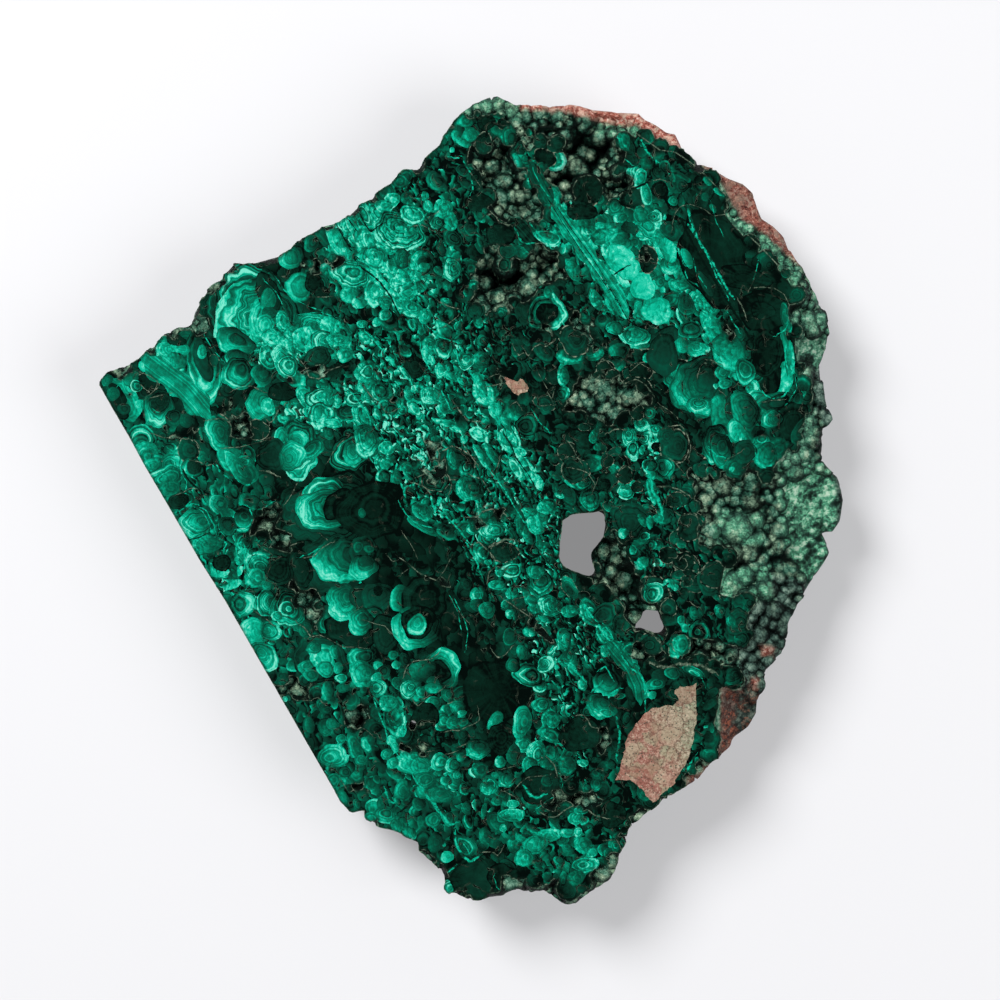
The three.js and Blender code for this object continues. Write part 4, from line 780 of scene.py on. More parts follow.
# Thin lines on the polished face: (kind, width in pixels, points). Kind 1 is PALE_LINE, 2 is
# GREEN_LINE and 3 is CRACK.
LINES = [
    (1, 1.2, [(140, 372), (150, 376), (158, 382), (155, 390), (148, 396)]),
    (1, 1.4, [(150, 398), (158, 396), (166, 394)]),
    (1, 1.3, [(154, 434), (164, 438), (175, 437), (185, 439), (195, 440), (199, 446)]),
    (1, 1.6, [(190, 460), (200, 462), (206, 466), (212, 464)]),
    (1, 1.4, [(225, 448), (240, 447), (252, 444), (263, 441)]),
    (1, 1.6, [(234, 390), (243, 386), (252, 386), (262, 391)]),
    (1, 1.8, [(210, 420), (222, 418), (232, 424), (240, 434)]),
    (2, 1.2, [(206, 322), (204, 335), (212, 348), (222, 360)]),
    (2, 1.2, [(278, 280), (284, 290), (296, 300), (310, 307), (322, 311)]),
    (2, 1.2, [(266, 282), (276, 292), (282, 303)]),
    (2, 1.0, [(302, 314), (310, 313), (320, 312), (332, 316)]),
    (1, 1.6, [(300, 360), (305, 366), (309, 377), (319, 379), (330, 370), (341, 366)]),
    (1, 1.2, [(309, 297), (320, 297), (327, 297)]), (3, 1.5, [(336, 224), (344, 238), (352, 252)]),
    (3, 1.3, [(349, 220), (356, 230)]),
    (3, 1.5, [(360, 214), (366, 226), (371, 232), (378, 226), (386, 222)]),
    (3, 2.0, [(362, 268), (372, 275), (380, 282), (391, 297), (398, 312), (410, 330)]),
    (3, 1.6, [(356, 262), (350, 250), (358, 258)]), (2, 1.6, [(366, 332), (374, 340), (384, 352)]),
    (2, 1.6, [(430, 328), (440, 337), (456, 342)]),
    (2, 1.4, [(382, 226), (392, 236), (402, 241), (411, 240)]),
    (2, 1.4, [(386, 226), (396, 234), (406, 237)]), (1, 1.6, [(440, 302), (448, 306), (458, 309)]),
    (1, 1.4, [(445, 326), (452, 321), (458, 316)]), (1, 1.3, [(414, 226), (422, 225), (431, 230)]),
    (1, 1.2, [(421, 198), (422, 206)]), (1, 1.3, [(432, 216), (438, 212)]),
    (2, 1.6, [(454, 342), (456, 350), (458, 360)]),
    (2, 1.6, [(420, 342), (421, 352), (428, 366), (434, 374)]),
    (2, 1.6, [(441, 390), (445, 398), (449, 406)]), (2, 1.8, [(458, 380), (461, 386), (466, 391)]),
    (1, 2.6, [(455, 404), (461, 413), (467, 420), (479, 422)]),
    (1, 1.4, [(463, 444), (470, 455), (477, 464)]), (1, 1.6, [(472, 476), (482, 479), (489, 491)]),
    (1, 1.4, [(446, 476), (452, 483), (450, 492)]), (1, 1.8, [(412, 482), (425, 487), (430, 493)]),
    (1, 1.6, [(418, 477), (430, 471), (442, 468), (443, 462)]), (1, 1.4, [(424, 441), (430, 449)]),
    (1, 1.4, [(442, 443), (438, 450), (440, 458)]), (1, 1.2, [(413, 458), (422, 461)]),
    (1, 1.4, [(490, 386), (496, 385), (503, 383)]), (1, 1.2, [(514, 348), (518, 356), (523, 353)]),
    (1, 1.5, [(525, 351), (528, 357), (534, 347), (540, 344), (546, 347), (552, 342)]),
    (1, 1.2, [(537, 370), (541, 378), (547, 388)]), (1, 1.2, [(548, 393), (552, 400), (554, 392)]),
    (1, 1.2, [(511, 405), (516, 401), (520, 406)]), (1, 1.2, [(541, 406), (550, 405)]),
    (1, 1.2, [(488, 378), (496, 374)]), (1, 1.2, [(529, 451), (540, 451)]),
    (1, 1.2, [(497, 468), (500, 458)]),
    (1, 1.4, [(285, 405), (278, 410), (275, 418), (270, 424), (267, 420)]),
    (1, 1.5, [(364, 387), (371, 396), (380, 404), (385, 412), (390, 413), (396, 410)]),
    (2, 1.4, [(350, 391), (358, 401), (366, 412), (374, 424), (384, 440)]),
    (1, 1.2, [(348, 437), (340, 443), (333, 452), (328, 462)]),
    (2, 1.4, [(254, 509), (263, 509), (271, 503)]), (1, 2.8, [(265, 471), (270, 472), (276, 475)]),
    (1, 1.4, [(297, 483), (293, 492), (287, 502)]), (1, 1.2, [(322, 536), (326, 539)]),
    (2, 1.6, [(400, 505), (406, 514), (414, 522), (424, 526), (434, 528)]),
    (2, 2.2, [(436, 508), (450, 520), (460, 531), (468, 542)]),
    (2, 2.4, [(467, 543), (472, 553), (477, 563), (481, 574)]),
    (1, 1.8, [(400, 558), (409, 564), (419, 573), (430, 578), (438, 581)]),
    (1, 1.2, [(404, 535), (410, 543), (416, 554)]), (1, 1.1, [(437, 580), (444, 571), (450, 560)]),
    (1, 1.4, [(403, 573), (408, 569)]), (1, 1.1, [(457, 608), (462, 616), (468, 622)]),
    (2, 1.2, [(455, 600), (464, 618), (468, 632), (466, 646)]),
    (2, 1.0, [(450, 596), (458, 612), (461, 630)]),
    (1, 2.4, [(470, 517), (477, 517), (483, 511), (492, 509), (500, 510), (507, 516)]),
    (1, 3.2, [(477, 513), (482, 508), (488, 505)]),
    (1, 1.8, [(473, 544), (479, 542), (485, 548), (493, 556), (495, 560)]),
    (1, 3.4, [(489, 547), (497, 544), (505, 539), (511, 540)]),
    (1, 1.6, [(487, 584), (489, 572), (496, 566), (503, 568)]),
    (1, 1.8, [(502, 598), (511, 604), (521, 611), (530, 617), (532, 623)]),
    (1, 1.2, [(516, 599), (524, 597)]), (1, 1.4, [(492, 651), (498, 658), (505, 655), (512, 647)]),
    (1, 1.4, [(445, 732), (452, 730), (459, 731), (466, 727), (474, 724), (480, 720), (478, 711)]),
    (1, 1.6, [(404, 674), (407, 666), (414, 661), (424, 660), (432, 659), (437, 654)]),
    (1, 1.4, [(418, 742), (418, 748), (424, 752), (429, 752)]), (1, 1.2, [(461, 746), (468, 743)]),
    (1, 1.3, [(503, 769), (511, 767)]), (1, 1.3, [(514, 790), (520, 783), (528, 777), (541, 776)]),
    (1, 1.6, [(549, 759), (555, 766), (557, 775)]), (1, 1.6, [(506, 792), (513, 796)]),
    (1, 1.2, [(426, 698), (430, 695)]), (1, 1.2, [(438, 692), (444, 688)]),
    (1, 1.2, [(448, 704), (454, 701)]), (1, 1.4, [(414, 702), (418, 706), (423, 702)]),
    (1, 1.2, [(448, 754), (455, 752)]),
    (2, 2.0, [(400, 760), (409, 769), (416, 781), (424, 790), (430, 800), (438, 812)]),
    (1, 1.6, [(590, 578), (604, 583), (612, 590), (619, 600), (627, 612), (632, 625), (635, 632),
              (642, 629), (651, 632), (660, 640), (662, 649)]),
    (2, 3.2, [(584, 604), (588, 612), (597, 622)]),
    (2, 2.4, [(598, 624), (603, 633), (610, 641), (619, 642)]),
    (2, 2.0, [(616, 645), (622, 656), (630, 668), (640, 674)]),
    (2, 2.4, [(640, 673), (644, 683), (645, 695), (645, 708)]),
    (2, 1.4, [(604, 624), (611, 634), (614, 642)]), (1, 1.4, [(692, 604), (697, 607)]),
    (1, 2.0, [(649, 662), (657, 667), (665, 669), (675, 664)]),
    (1, 1.4, [(660, 612), (661, 604), (667, 599)]), (2, 1.4, [(694, 672), (702, 678), (705, 686)]),
    (1, 1.3, [(325, 637), (334, 642), (343, 647), (352, 647), (364, 648)]),
    (1, 1.3, [(367, 621), (376, 624), (385, 626), (389, 631), (394, 635)]),
    (1, 1.5, [(270, 547), (277, 545), (284, 550), (291, 545), (298, 543)]),
    (1, 1.4, [(260, 546), (268, 552)]), (1, 1.6, [(290, 587), (296, 592), (301, 597)]),
    (1, 1.8, [(299, 624), (305, 628), (310, 636)]), (1, 1.4, [(310, 637), (320, 635), (326, 638)]),
    (2, 1.6, [(302, 556), (310, 554), (318, 549)]),
    (1, 1.3, [(304, 558), (314, 556), (322, 548), (330, 543)]),
    (2, 2.4, [(240, 545), (245, 554), (244, 566), (246, 584)]),
    (1, 1.2, [(256, 612), (265, 618), (272, 624)]), (1, 1.2, [(389, 557), (392, 562), (398, 560)]),
    (1, 1.5, [(562, 444), (567, 440), (573, 448), (577, 457), (581, 462)]),
    (1, 1.5, [(572, 468), (581, 470), (588, 473), (595, 484)]), (1, 1.4, [(593, 490), (597, 482)]),
    (1, 1.5, [(667, 457), (675, 462), (681, 470)]),
    (1, 1.6, [(672, 426), (681, 425), (687, 434), (691, 446), (689, 458)]),
    (1, 1.4, [(662, 406), (670, 411), (678, 418)]),
    (1, 1.6, [(620, 386), (628, 382), (636, 379), (645, 384), (651, 392)]),
    (1, 1.4, [(600, 362), (605, 359), (611, 366)]), (1, 1.3, [(633, 369), (640, 363), (646, 367)]),
    (1, 2.2, [(610, 432), (615, 429), (622, 429)]), (1, 2.4, [(592, 405), (600, 402), (607, 404)]),
    (1, 1.2, [(610, 455), (616, 453), (619, 456)]), (1, 1.2, [(620, 470), (626, 466), (630, 468)]),
    (1, 1.6, [(640, 349), (648, 349)]), (1, 1.5, [(706, 360), (712, 360), (718, 364)]),
    (1, 1.4, [(697, 377), (700, 368)]), (1, 1.3, [(764, 402), (773, 400), (783, 400)]),
    (1, 1.4, [(727, 459), (734, 456), (740, 452)]), (1, 1.2, [(774, 470), (779, 464), (786, 458)]),
    (1, 1.2, [(720, 391), (722, 393)]),
    (2, 1.8, [(785, 350), (786, 362), (789, 374), (789, 388), (784, 396), (773, 399), (765, 395),
              (758, 385)]),
    (2, 1.2, [(792, 362), (795, 376), (797, 388), (792, 396)]),
    (2, 1.8, [(672, 251), (674, 246), (678, 248), (680, 256), (685, 266), (690, 266)]),
    (2, 1.8, [(685, 272), (688, 280), (695, 284)]), (2, 1.6, [(694, 264), (697, 274), (704, 284)]),
    (2, 2.2, [(687, 206), (690, 220), (694, 232), (700, 244), (707, 254), (712, 266), (717, 278)]),
    (2, 1.6, [(717, 278), (723, 288), (729, 299)]), (2, 1.0, [(712, 205), (716, 222), (722, 232)]),
    (2, 1.6, [(730, 316), (734, 324), (739, 330)]), (2, 1.4, [(758, 262), (756, 272), (751, 286)]),
    (3, 2.0, [(616, 273), (626, 267)]), (3, 1.6, [(600, 275), (612, 292), (621, 306)]),
    (1, 1.3, [(672, 226), (675, 213), (681, 206), (690, 204), (704, 209), (713, 216), (727, 214)]),
    (1, 2.0, [(727, 214), (736, 227), (748, 235), (760, 246), (775, 262), (786, 274)]),
    (1, 1.3, [(652, 327), (655, 329), (658, 326)]), (1, 1.4, [(645, 258), (640, 260)]),
    (1, 1.2, [(638, 258), (645, 256), (652, 259)]), (1, 1.8, [(738, 300), (742, 306), (746, 316)]),
    (2, 2.0, [(470, 372), (480, 388), (490, 404), (500, 420)]),
    (2, 1.6, [(474, 447), (484, 462), (494, 476), (506, 492), (514, 506), (524, 522)]),
    (3, 1.5, [(504, 434), (512, 447), (516, 458), (528, 474), (536, 488)]),
    (2, 1.6, [(534, 413), (539, 422), (548, 430)]),
    (2, 1.5, [(167, 448), (173, 451), (175, 456), (173, 458)]),
    (2, 1.6, [(174, 460), (179, 463), (181, 470), (182, 476)]),
    (2, 1.4, [(183, 476), (187, 482), (186, 489)]),
    (3, 2.5, [(183, 470), (187, 478), (193, 485), (200, 490), (203, 497)]),
    (2, 1.6, [(187, 461), (185, 467), (188, 474), (193, 478)]),
    (2, 1.4, [(184, 493), (190, 495), (190, 501), (186, 507), (181, 510)]),
    (1, 1.3, [(178, 494), (184, 492), (190, 488), (198, 489)]),
    (2, 1.5, [(186, 508), (192, 503), (198, 505)]),
    (2, 1.5, [(200, 507), (206, 510), (210, 518), (214, 525), (215, 531)]),
    (2, 1.1, [(197, 508), (203, 512), (208, 521), (211, 530)]),
    (3, 1.3, [(188, 540), (198, 538), (208, 533)]), (2, 1.4, [(222, 540), (227, 543), (224, 549)]),
    (2, 1.4, [(218, 522), (219, 530), (224, 535)]),
    (2, 1.6, [(250, 510), (253, 517), (250, 525), (244, 529), (239, 529)]),
    (2, 1.8, [(217, 465), (220, 472), (228, 478)]),
    (2, 1.6, [(237, 556), (236, 548), (239, 542), (243, 542), (245, 548), (247, 558)]),
    (2, 1.5, [(250, 562), (252, 557), (258, 555), (265, 557)]),
    (2, 1.8, [(375, 703), (380, 716), (385, 728), (388, 740), (392, 748), (398, 755), (404, 763),
              (411, 771), (415, 780), (421, 788), (427, 797)]),
    (2, 3, [(386, 792), (388, 800), (396, 805)]),
    (1, 1.3, [(350, 721), (358, 726), (366, 730), (371, 734)]),
    (1, 1.4, [(314, 699), (318, 697), (322, 702)]), (1, 1.4, [(343, 783), (349, 793), (356, 788)]),
    (3, 2.2, [(414, 747), (420, 751), (427, 749)]), (3, 2.4, [(400, 812), (406, 807), (411, 801)]),
    (2, 3, [(427, 797), (436, 806), (443, 816), (450, 825), (455, 824)]),
    (2, 3, [(455, 833), (456, 845), (462, 855), (470, 862), (478, 857)]),
    (2, 1.4, [(462, 842), (468, 850), (470, 856)]), (2, 2, [(437, 868), (447, 873), (453, 868)]),
    (2, 2.2, [(446, 882), (447, 890), (453, 896)]), (2, 1.5, [(495, 880), (497, 888), (503, 892)]),
    (2, 4, [(525, 788), (530, 795), (537, 798), (543, 795)]),
    (2, 1.2, [(560, 775), (563, 785), (558, 795), (548, 800), (538, 808)]),
    (1, 2, [(540, 812), (548, 817), (556, 817), (565, 810), (572, 806), (580, 804), (586, 808),
            (594, 815), (605, 818)]),
    (1, 1.4, [(482, 852), (493, 852), (498, 856), (502, 850)]),
    (1, 1.3, [(608, 840), (617, 840), (621, 848)]), (2, 2.5, [(593, 690), (598, 685)]),
    (2, 2.5, [(601, 690), (608, 695), (617, 690)]),
    (2, 2, [(601, 669), (605, 666), (609, 672), (611, 677)]),
    (2, 3, [(573, 665), (577, 673), (583, 678)]),
    (1, 1.6, [(577, 715), (583, 715), (588, 720), (591, 727), (598, 728), (603, 733)]),
    (2, 3, [(617, 722), (620, 733), (619, 744), (617, 756)]),
    (2, 2, [(585, 795), (592, 793), (598, 797)]), (2, 3, [(694, 757), (690, 765), (686, 773)]),
    (2, 2, [(512, 218), (518, 216), (526, 219), (532, 226), (540, 236), (550, 246)]),
    (2, 2.5, [(516, 230), (520, 240), (527, 244), (533, 243)]),
    (2, 2, [(453, 158), (462, 158), (465, 164), (470, 172)]),
    (2, 2, [(472, 183), (473, 190), (471, 193)]), (1, 1.2, [(470, 172), (476, 180), (481, 187)]),
    (1, 2.6, [(488, 215), (494, 213), (499, 222), (508, 225)]),
    (2, 1.6, [(533, 170), (537, 178), (541, 186), (548, 196)]),
    (3, 1.0, [(549, 200), (562, 222), (580, 249), (600, 277), (618, 303), (627, 318)]),
    (3, 0.8, [(557, 207), (572, 230), (590, 254), (606, 280), (614, 296)]),
    (1, 1.8, [(619, 131), (632, 130), (640, 136), (650, 143), (660, 150), (675, 152), (690, 162),
              (700, 170), (710, 180), (718, 188), (726, 195)]),
    (2, 1.6, [(620, 148), (622, 157), (630, 163)]),
    (2, 3, [(641, 140), (645, 148), (650, 156), (656, 161)]),
    (3, 2.2, [(628, 189), (638, 187), (646, 183)]),
    (2, 4, [(688, 205), (690, 218), (693, 228), (698, 240), (706, 252)]),
    (1, 3.5, [(727, 196), (728, 210), (733, 220), (741, 229)]),
    (1, 1.2, [(652, 181), (660, 179), (666, 181)]),
    (2, 4, [(648, 472), (651, 482), (653, 492), (658, 500), (661, 508), (662, 517)]),
    (1, 2.4, [(645, 630), (652, 634), (660, 642), (662, 650)]),
    (1, 5, [(650, 663), (665, 668), (680, 664), (700, 665), (713, 672)]),
    (2, 1.5, [(645, 590), (644, 597), (648, 603), (655, 606)]),
    (1, 1.5, [(675, 512), (680, 516), (690, 514), (697, 516), (699, 524), (702, 533)]),
    (1, 2.4, [(660, 487), (668, 486), (680, 490), (688, 495)]),
    (2, 1.5, [(680, 500), (682, 504), (679, 508)]),
    (1, 1.3, [(675, 558), (685, 558), (688, 565), (683, 571), (675, 566)]),
    (1, 1.3, [(697, 575), (705, 568), (713, 564)]), (2, 2, [(712, 450), (716, 456), (724, 457)]),
    (3, 4, [(728, 443), (731, 450), (732, 456)]),
    (2, 2, [(755, 450), (757, 462), (764, 468), (772, 465)]),
    (2, 4, [(690, 226), (700, 243), (712, 262), (722, 280), (731, 296)]),
    (3, 3, [(682, 222), (694, 246), (708, 270), (722, 292), (738, 318), (752, 342)]),
    (1, 1.4, [(752, 288), (762, 287), (774, 288), (784, 294), (789, 304)]),
    (2, 1.6, [(788, 312), (789, 322), (785, 330), (778, 334)]),
    (1, 1.4, [(756, 270), (754, 280), (750, 288)]),
]
# Straight growth bands: (tone, half width, number of stripes, points).
BANDS = [
    (0.7, 7, 4, [(606, 640), (620, 656), (631, 670), (638, 686), (641, 705)]),
    (0.42, 9, 5, [(530, 160), (540, 182), (553, 206)]),
    (0.86, 8, 4, [(551, 204), (565, 223), (580, 244), (599, 271), (616, 297), (628, 320)]),
    (0.22, 7, 3, [(513, 221), (529, 239), (545, 257), (561, 277)]),
    (0.88, 12, 7, [(139, 354), (160, 370), (184, 388), (198, 404), (212, 421)]),
]
# The pale red host rock that the face cuts: outlines.
ROCKS = [
    [(616, 780), (624, 757), (626, 740), (634, 727), (644, 714), (652, 709), (662, 707), (672, 705),
     (680, 701), (678, 696), (674, 691), (680, 687), (690, 686), (696, 683), (696, 700), (697, 714),
     (694, 734), (690, 755), (680, 773), (674, 783), (654, 802), (647, 796), (639, 786), (629, 780)],
    [(504, 376), (511, 380), (517, 384), (521, 379), (527, 383), (529, 389), (524, 393), (517, 395),
     (513, 391), (508, 387)],
]
# Tone and grain of the stone between the lobes: (x, y, half length, half width, turn, tone,
# grain from 0 coarse to 1 fine).
GROUND = [
    (568, 705, 10, 12, 0, 0.75, 0.9), (580, 238, 20, 14, 0, 0.8, 0.6),
    (640, 230, 30, 40, -28, 0.7, 0.3), (636, 276, 20, 44, -32, 0.72, 0.1),
    (115, 395, 30, 25, 0, 0.2, 0.2), (185, 418, 40, 16, 45, 0.12, 0.1),
    (165, 455, 30, 30, 0, 0.45, 0.3), (200, 345, 30, 20, 0, 0.3, 0.1), (172, 350, 20, 14, 0, 0.75, 0.4),
    (235, 300, 40, 40, 0, 0.12, 0.0), (290, 240, 40, 20, -20, 0.12, 0.1),
    (275, 345, 30, 30, 0, 0.7, 0.5), (325, 330, 40, 20, 0, 0.55, 0.5),
    (300, 302, 40, 14, 20, 0.12, 0.1), (255, 387, 50, 14, 0, 0.12, 0.1),
    (320, 372, 40, 14, 0, 0.2, 0.3), (358, 228, 30, 26, 0, 0.82, 0.5), (400, 215, 40, 30, 0, 0.45, 0.5),
    (380, 250, 34, 24, 40, 0.85, 0.6), (345, 272, 24, 24, 0, 0.55, 0.4),
    (402, 285, 26, 26, 0, 0.75, 0.7), (422, 312, 24, 20, 50, 0.7, 0.6),
    (370, 315, 40, 14, 0, 0.22, 0.4), (372, 345, 40, 18, 0, 0.5, 0.7), (410, 350, 30, 16, 50, 0.3, 0.6),
    (445, 348, 30, 16, 50, 0.7, 0.6), (440, 250, 26, 50, 20, 0.3, 0.6), (430, 200, 40, 26, 0, 0.4, 0.5),
    (470, 180, 30, 40, 0, 0.25, 0.4), (320, 405, 30, 20, 0, 0.8, 0.6), (360, 405, 30, 24, 0, 0.62, 0.7),
    (400, 395, 40, 30, 50, 0.6, 0.8), (410, 440, 40, 36, 50, 0.6, 0.9),
    (400, 480, 30, 24, 50, 0.5, 0.9), (290, 470, 50, 30, 0, 0.12, 0.05),
    (235, 480, 40, 24, 0, 0.4, 0.3), (200, 500, 30, 40, 60, 0.5, 0.3), (215, 560, 30, 40, 60, 0.5, 0.4),
    (350, 520, 60, 50, 0, 0.05, 0.0), (430, 560, 30, 40, 0, 0.05, 0.0),
    (430, 610, 50, 40, 0, 0.06, 0.0), (458, 570, 20, 50, 0, 0.22, 0.5),
    (442, 515, 40, 14, 45, 0.6, 0.9), (490, 540, 40, 30, 50, 0.5, 0.8),
    (520, 590, 50, 36, 40, 0.45, 0.8), (540, 520, 24, 40, 0, 0.45, 0.7),
    (500, 620, 40, 26, 0, 0.25, 0.5), (480, 650, 50, 50, 0, 0.05, 0.0),
    (500, 690, 40, 40, 0, 0.03, 0.0), (545, 660, 26, 36, 0, 0.6, 0.9), (520, 335, 50, 36, 0, 0.18, 0.6),
    (560, 400, 50, 50, 50, 0.1, 0.5), (620, 400, 50, 50, 0, 0.08, 0.4),
    (590, 460, 50, 40, 0, 0.16, 0.5), (640, 435, 20, 24, 0, 0.45, 0.7), (684, 440, 20, 40, 0, 0.1, 0.3),
    (725, 240, 34, 66, -25, 0.08, 0.0), (750, 300, 34, 40, 0, 0.08, 0.1),
    (665, 350, 30, 30, 0, 0.15, 0.1), (620, 325, 30, 20, 0, 0.3, 0.5),
    (600, 590, 40, 20, 40, 0.07, 0.1), (600, 632, 30, 30, 50, 0.4, 0.8),
    (568, 640, 26, 36, 0, 0.45, 0.8), (620, 690, 40, 36, 0, 0.12, 0.2),
    (650, 560, 40, 36, 0, 0.28, 0.6), (690, 590, 40, 40, 0, 0.18, 0.5),
    (690, 690, 30, 30, 0, 0.15, 0.3), (440, 730, 50, 40, 0, 0.18, 0.4),
    (430, 775, 30, 20, 40, 0.7, 0.3), (500, 760, 50, 40, 0, 0.16, 0.4), (560, 730, 30, 50, 0, 0.4, 0.6),
    (480, 870, 40, 26, 0, 0.1, 0.1), (540, 835, 60, 36, 0, 0.35, 0.4), (620, 770, 40, 40, 0, 0.2, 0.4),
    (600, 870, 30, 30, 0, 0.3, 0.4), (330, 740, 50, 40, 60, 0.35, 0.3),
    (400, 800, 50, 30, 50, 0.4, 0.3), (300, 650, 40, 50, 60, 0.35, 0.3),
    (500, 130, 50, 30, 0, 0.3, 0.3), (580, 210, 30, 80, -28, 0.65, 0.5),
    (620, 150, 40, 40, 0, 0.3, 0.4), (660, 180, 40, 40, 40, 0.25, 0.4),
    (470, 310, 40, 30, 40, 0.35, 0.6), (500, 330, 40, 20, 40, 0.25, 0.6),
    (520, 450, 20, 60, -30, 0.7, 0.6), (480, 450, 24, 60, -30, 0.45, 0.7),
    (555, 450, 24, 50, -30, 0.2, 0.5), (570, 300, 40, 24, 0, 0.25, 0.5),
    (700, 320, 40, 40, 0, 0.45, 0.5), (740, 420, 50, 40, 0, 0.25, 0.3), (700, 540, 40, 40, 0, 0.2, 0.4),
    (640, 500, 60, 40, 0, 0.3, 0.6), (390, 660, 40, 40, 0, 0.2, 0.3), (400, 710, 30, 30, 0, 0.4, 0.5),
]
# Lobes scattered in the coarser ground, small ones last: (spacing, least and greatest half
# length, seed, share kept).
SCATTERED_LOBES = [(4.2, 1.5, 2.6, 31, 0.55), (2.6, 0.9, 1.5, 32, 0.6)]
# Weight, tone and grain of the ground where none of its places is near.
FAR_WEIGHT, FAR_TONE, FAR_GRAIN = 0.02, 0.35, 0.4
BAND_CONTRAST = 0.45
ROCK_CONTRAST = 0.5


def line_coordinates(p, points):
    """How far each point lies along a line of points and beside it, and the line's length."""
    q = mm(points)
    best = np.full(len(p), 1e9)
    along = np.zeros(len(p))
    across = np.zeros(len(p))
    run = 0.0
    for a, b in zip(q[:-1], q[1:]):
        d = b - a
        n = np.linalg.norm(d)
        t = np.clip((p - a) @ d / (n * n), 0, 1)
        dist = np.linalg.norm(p - a - t[:, None] * d, axis=1)
        side = np.sign(d[0] * (p[:, 1] - a[1]) - d[1] * (p[:, 0] - a[0]))
        nearer = dist < best
        best = np.where(nearer, dist, best)
        along = np.where(nearer, run + t * n, along)
        across = np.where(nearer, side * dist, across)
        run += n
    return along, across, run


class Item:
    """Something cut by the polished face, with its own edge and its own coordinates."""

    def __init__(self, kind, box, edge, local, look, glow=(0, 0)):
        self.kind = kind
        self.box = box
        self.edge = edge            # below nought inside the item
        self.local = local          # points in the item's own coordinates
        self.look = look            # tone, rings, contrast and seed
        self.glow = glow            # how much brighter it grows along its own coordinates, partly its own tone and partly painted sheen


def lobe(seed, x, y, rx, ry, turn, low, high, side=160, rings=3, contrast=0.3, outline=0):
    c = mm((x, y))
    r = max(rx, ry) * PIXEL * 1.2
    g, a = math.radians(side), math.radians(turn)
    # bright side, partly painted sheen, in the ellipse's own coordinates
    u = math.cos(g) * math.cos(a) + math.sin(g) * math.sin(a)
    v = math.cos(g) * math.sin(a) - math.sin(g) * math.cos(a)
    power = (high - low) / 2

    def local(p):
        q = polar(p, x, y, rx, ry, turn)
        t = np.arctan2(q[:, 1], q[:, 0])
        small = 0.04 * np.sin(5 * t + seed * 90) + 0.03 * np.sin(8 * t + seed * 70)
        w = (1 + 0.06 * np.sin(2 * t + seed * 60) + 0.06 * np.sin(3 * t + seed * 40)
             + min(1, rx / 16) * small)
        return q / w[:, None]

    def edge(p):
        return np.linalg.norm(local(p), axis=1) - 1

    kind = OUTLINED if outline else PLAIN
    look = ((low + high) / 2, rings, contrast, seed)
    return Item(kind, (c - r, c + r), edge, local, look, (u * power, v * power))


def band(seed, tone, half, stripes, points):
    q = mm(points)
    r = half * PIXEL

    def local(p):
        along, across, _ = line_coordinates(p, points)
        return np.stack([across / r * stripes * 0.5 + stripes, along], -1)

    def edge(p):
        along, across, run = line_coordinates(p, points)
        taper = np.clip(np.minimum(along, run - along) / (r * 1.5), 0.12, 1)
        return np.abs(across / r) - taper * (1 + 0.18 * np.sin(along * 1.3 + seed * 9))

    return Item(BAND, (q.min(0) - r, q.max(0) + r), edge, local, (tone, 1.2, BAND_CONTRAST, seed))


def host_rock_item(points):
    q = mm(points)

    def edge(p):
        rough = 0.4 * smooth_noise(p, 0.7, 5) + 0.25 * smooth_noise(p, 1.9, 6)
        return rough - depth_in(p, points)

    def local(p):
        return p * 0.1

    return Item(ROCK, (q.min(0) - 0.5, q.max(0) + 0.5), edge, local, (0.5, 1, ROCK_CONTRAST, 0))


def ground_tone(p):
    """Tone and grain of the stone between the lobes."""
    total = np.full(len(p), FAR_WEIGHT)
    tone = total * FAR_TONE
    grain = total * FAR_GRAIN
    for x, y, rx, ry, turn, t, g in GROUND:
        w = np.exp(-1.6 * (polar(p, x, y, rx, ry, turn) ** 2).sum(1))
        total += w
        tone += t * w
        grain += g * w
    tone = tone / total + 0.1 * smooth_noise(p, 0.3, 12)
    return np.clip(tone, 0.03, 0.95), np.clip(grain / total, 0, 1)


def scattered_lobe(r, x, y, tone, grain, least, greatest):
    """One lobe drawn from r, as what lobe() takes, and how likely it is to be kept."""
    px, py = x / PIXEL + MIDDLE[0], MIDDLE[1] - y / PIXEL
    rx = r.uniform(least, greatest) / PIXEL
    ry = rx * r.uniform(0.5, 0.95)
    # on the left the lobes grow one way and are bright on one side, partly painted sheen
    turn = r.normal(60, 22) if px < 580 else r.uniform(-90, 90)
    power = r.uniform(0.15, 0.45) * min(1, tone * 2.2 + 0.15)
    middle = np.clip(tone + r.normal(0.03, 0.1), 0.04, 0.95)
    side = r.normal(150, 45) if px < 560 else r.normal(110, 80)
    low, high = max(middle - power, 0.03), min(middle + power, 0.99)
    rings = r.uniform(1, 2.6)
    contrast = r.uniform(0.25, 0.6)
    # pale outlines show in the dark stone right of the middle
    pale = int(r.random() < 0.5 and 540 < px < 730 and 330 < py < 620 and tone < 0.3)
    seed = r.random()
    chance = (1.1 - 1.2 * grain) * (0.45 if px < 440 and tone < 0.25 else 1.0)
    if grain < 0.35:
        chance *= smoothstep(0.07, 0.2, tone)
    return (seed, px, py, rx, ry, turn, low, high, side, rings, contrast, pale), chance


def make_items():
    items = []
    r = np.random.default_rng(8)
    for spacing, least, greatest, seed, share in SCATTERED_LOBES:
        g = scatter(spacing, lambda q: (border(q) > 0.5) & (level(q) > 0.4), seed)
        for (x, y), tone, grain in zip(g, *ground_tone(g)):
            drawn, chance = scattered_lobe(r, x, y, tone, grain, least, greatest)
            if r.random() < share * chance:
                items.append(lobe(*drawn))
    items += [lobe(r.random(), *row) for row in LOBES]
    items += [band(r.random(), *row) for row in BANDS]
    items += [host_rock_item(points) for points in ROCKS]
    return items


ITEMS = make_items()


def in_box(p, box):
    return np.where(((p > box[0]) & (p < box[1])).all(1))[0]


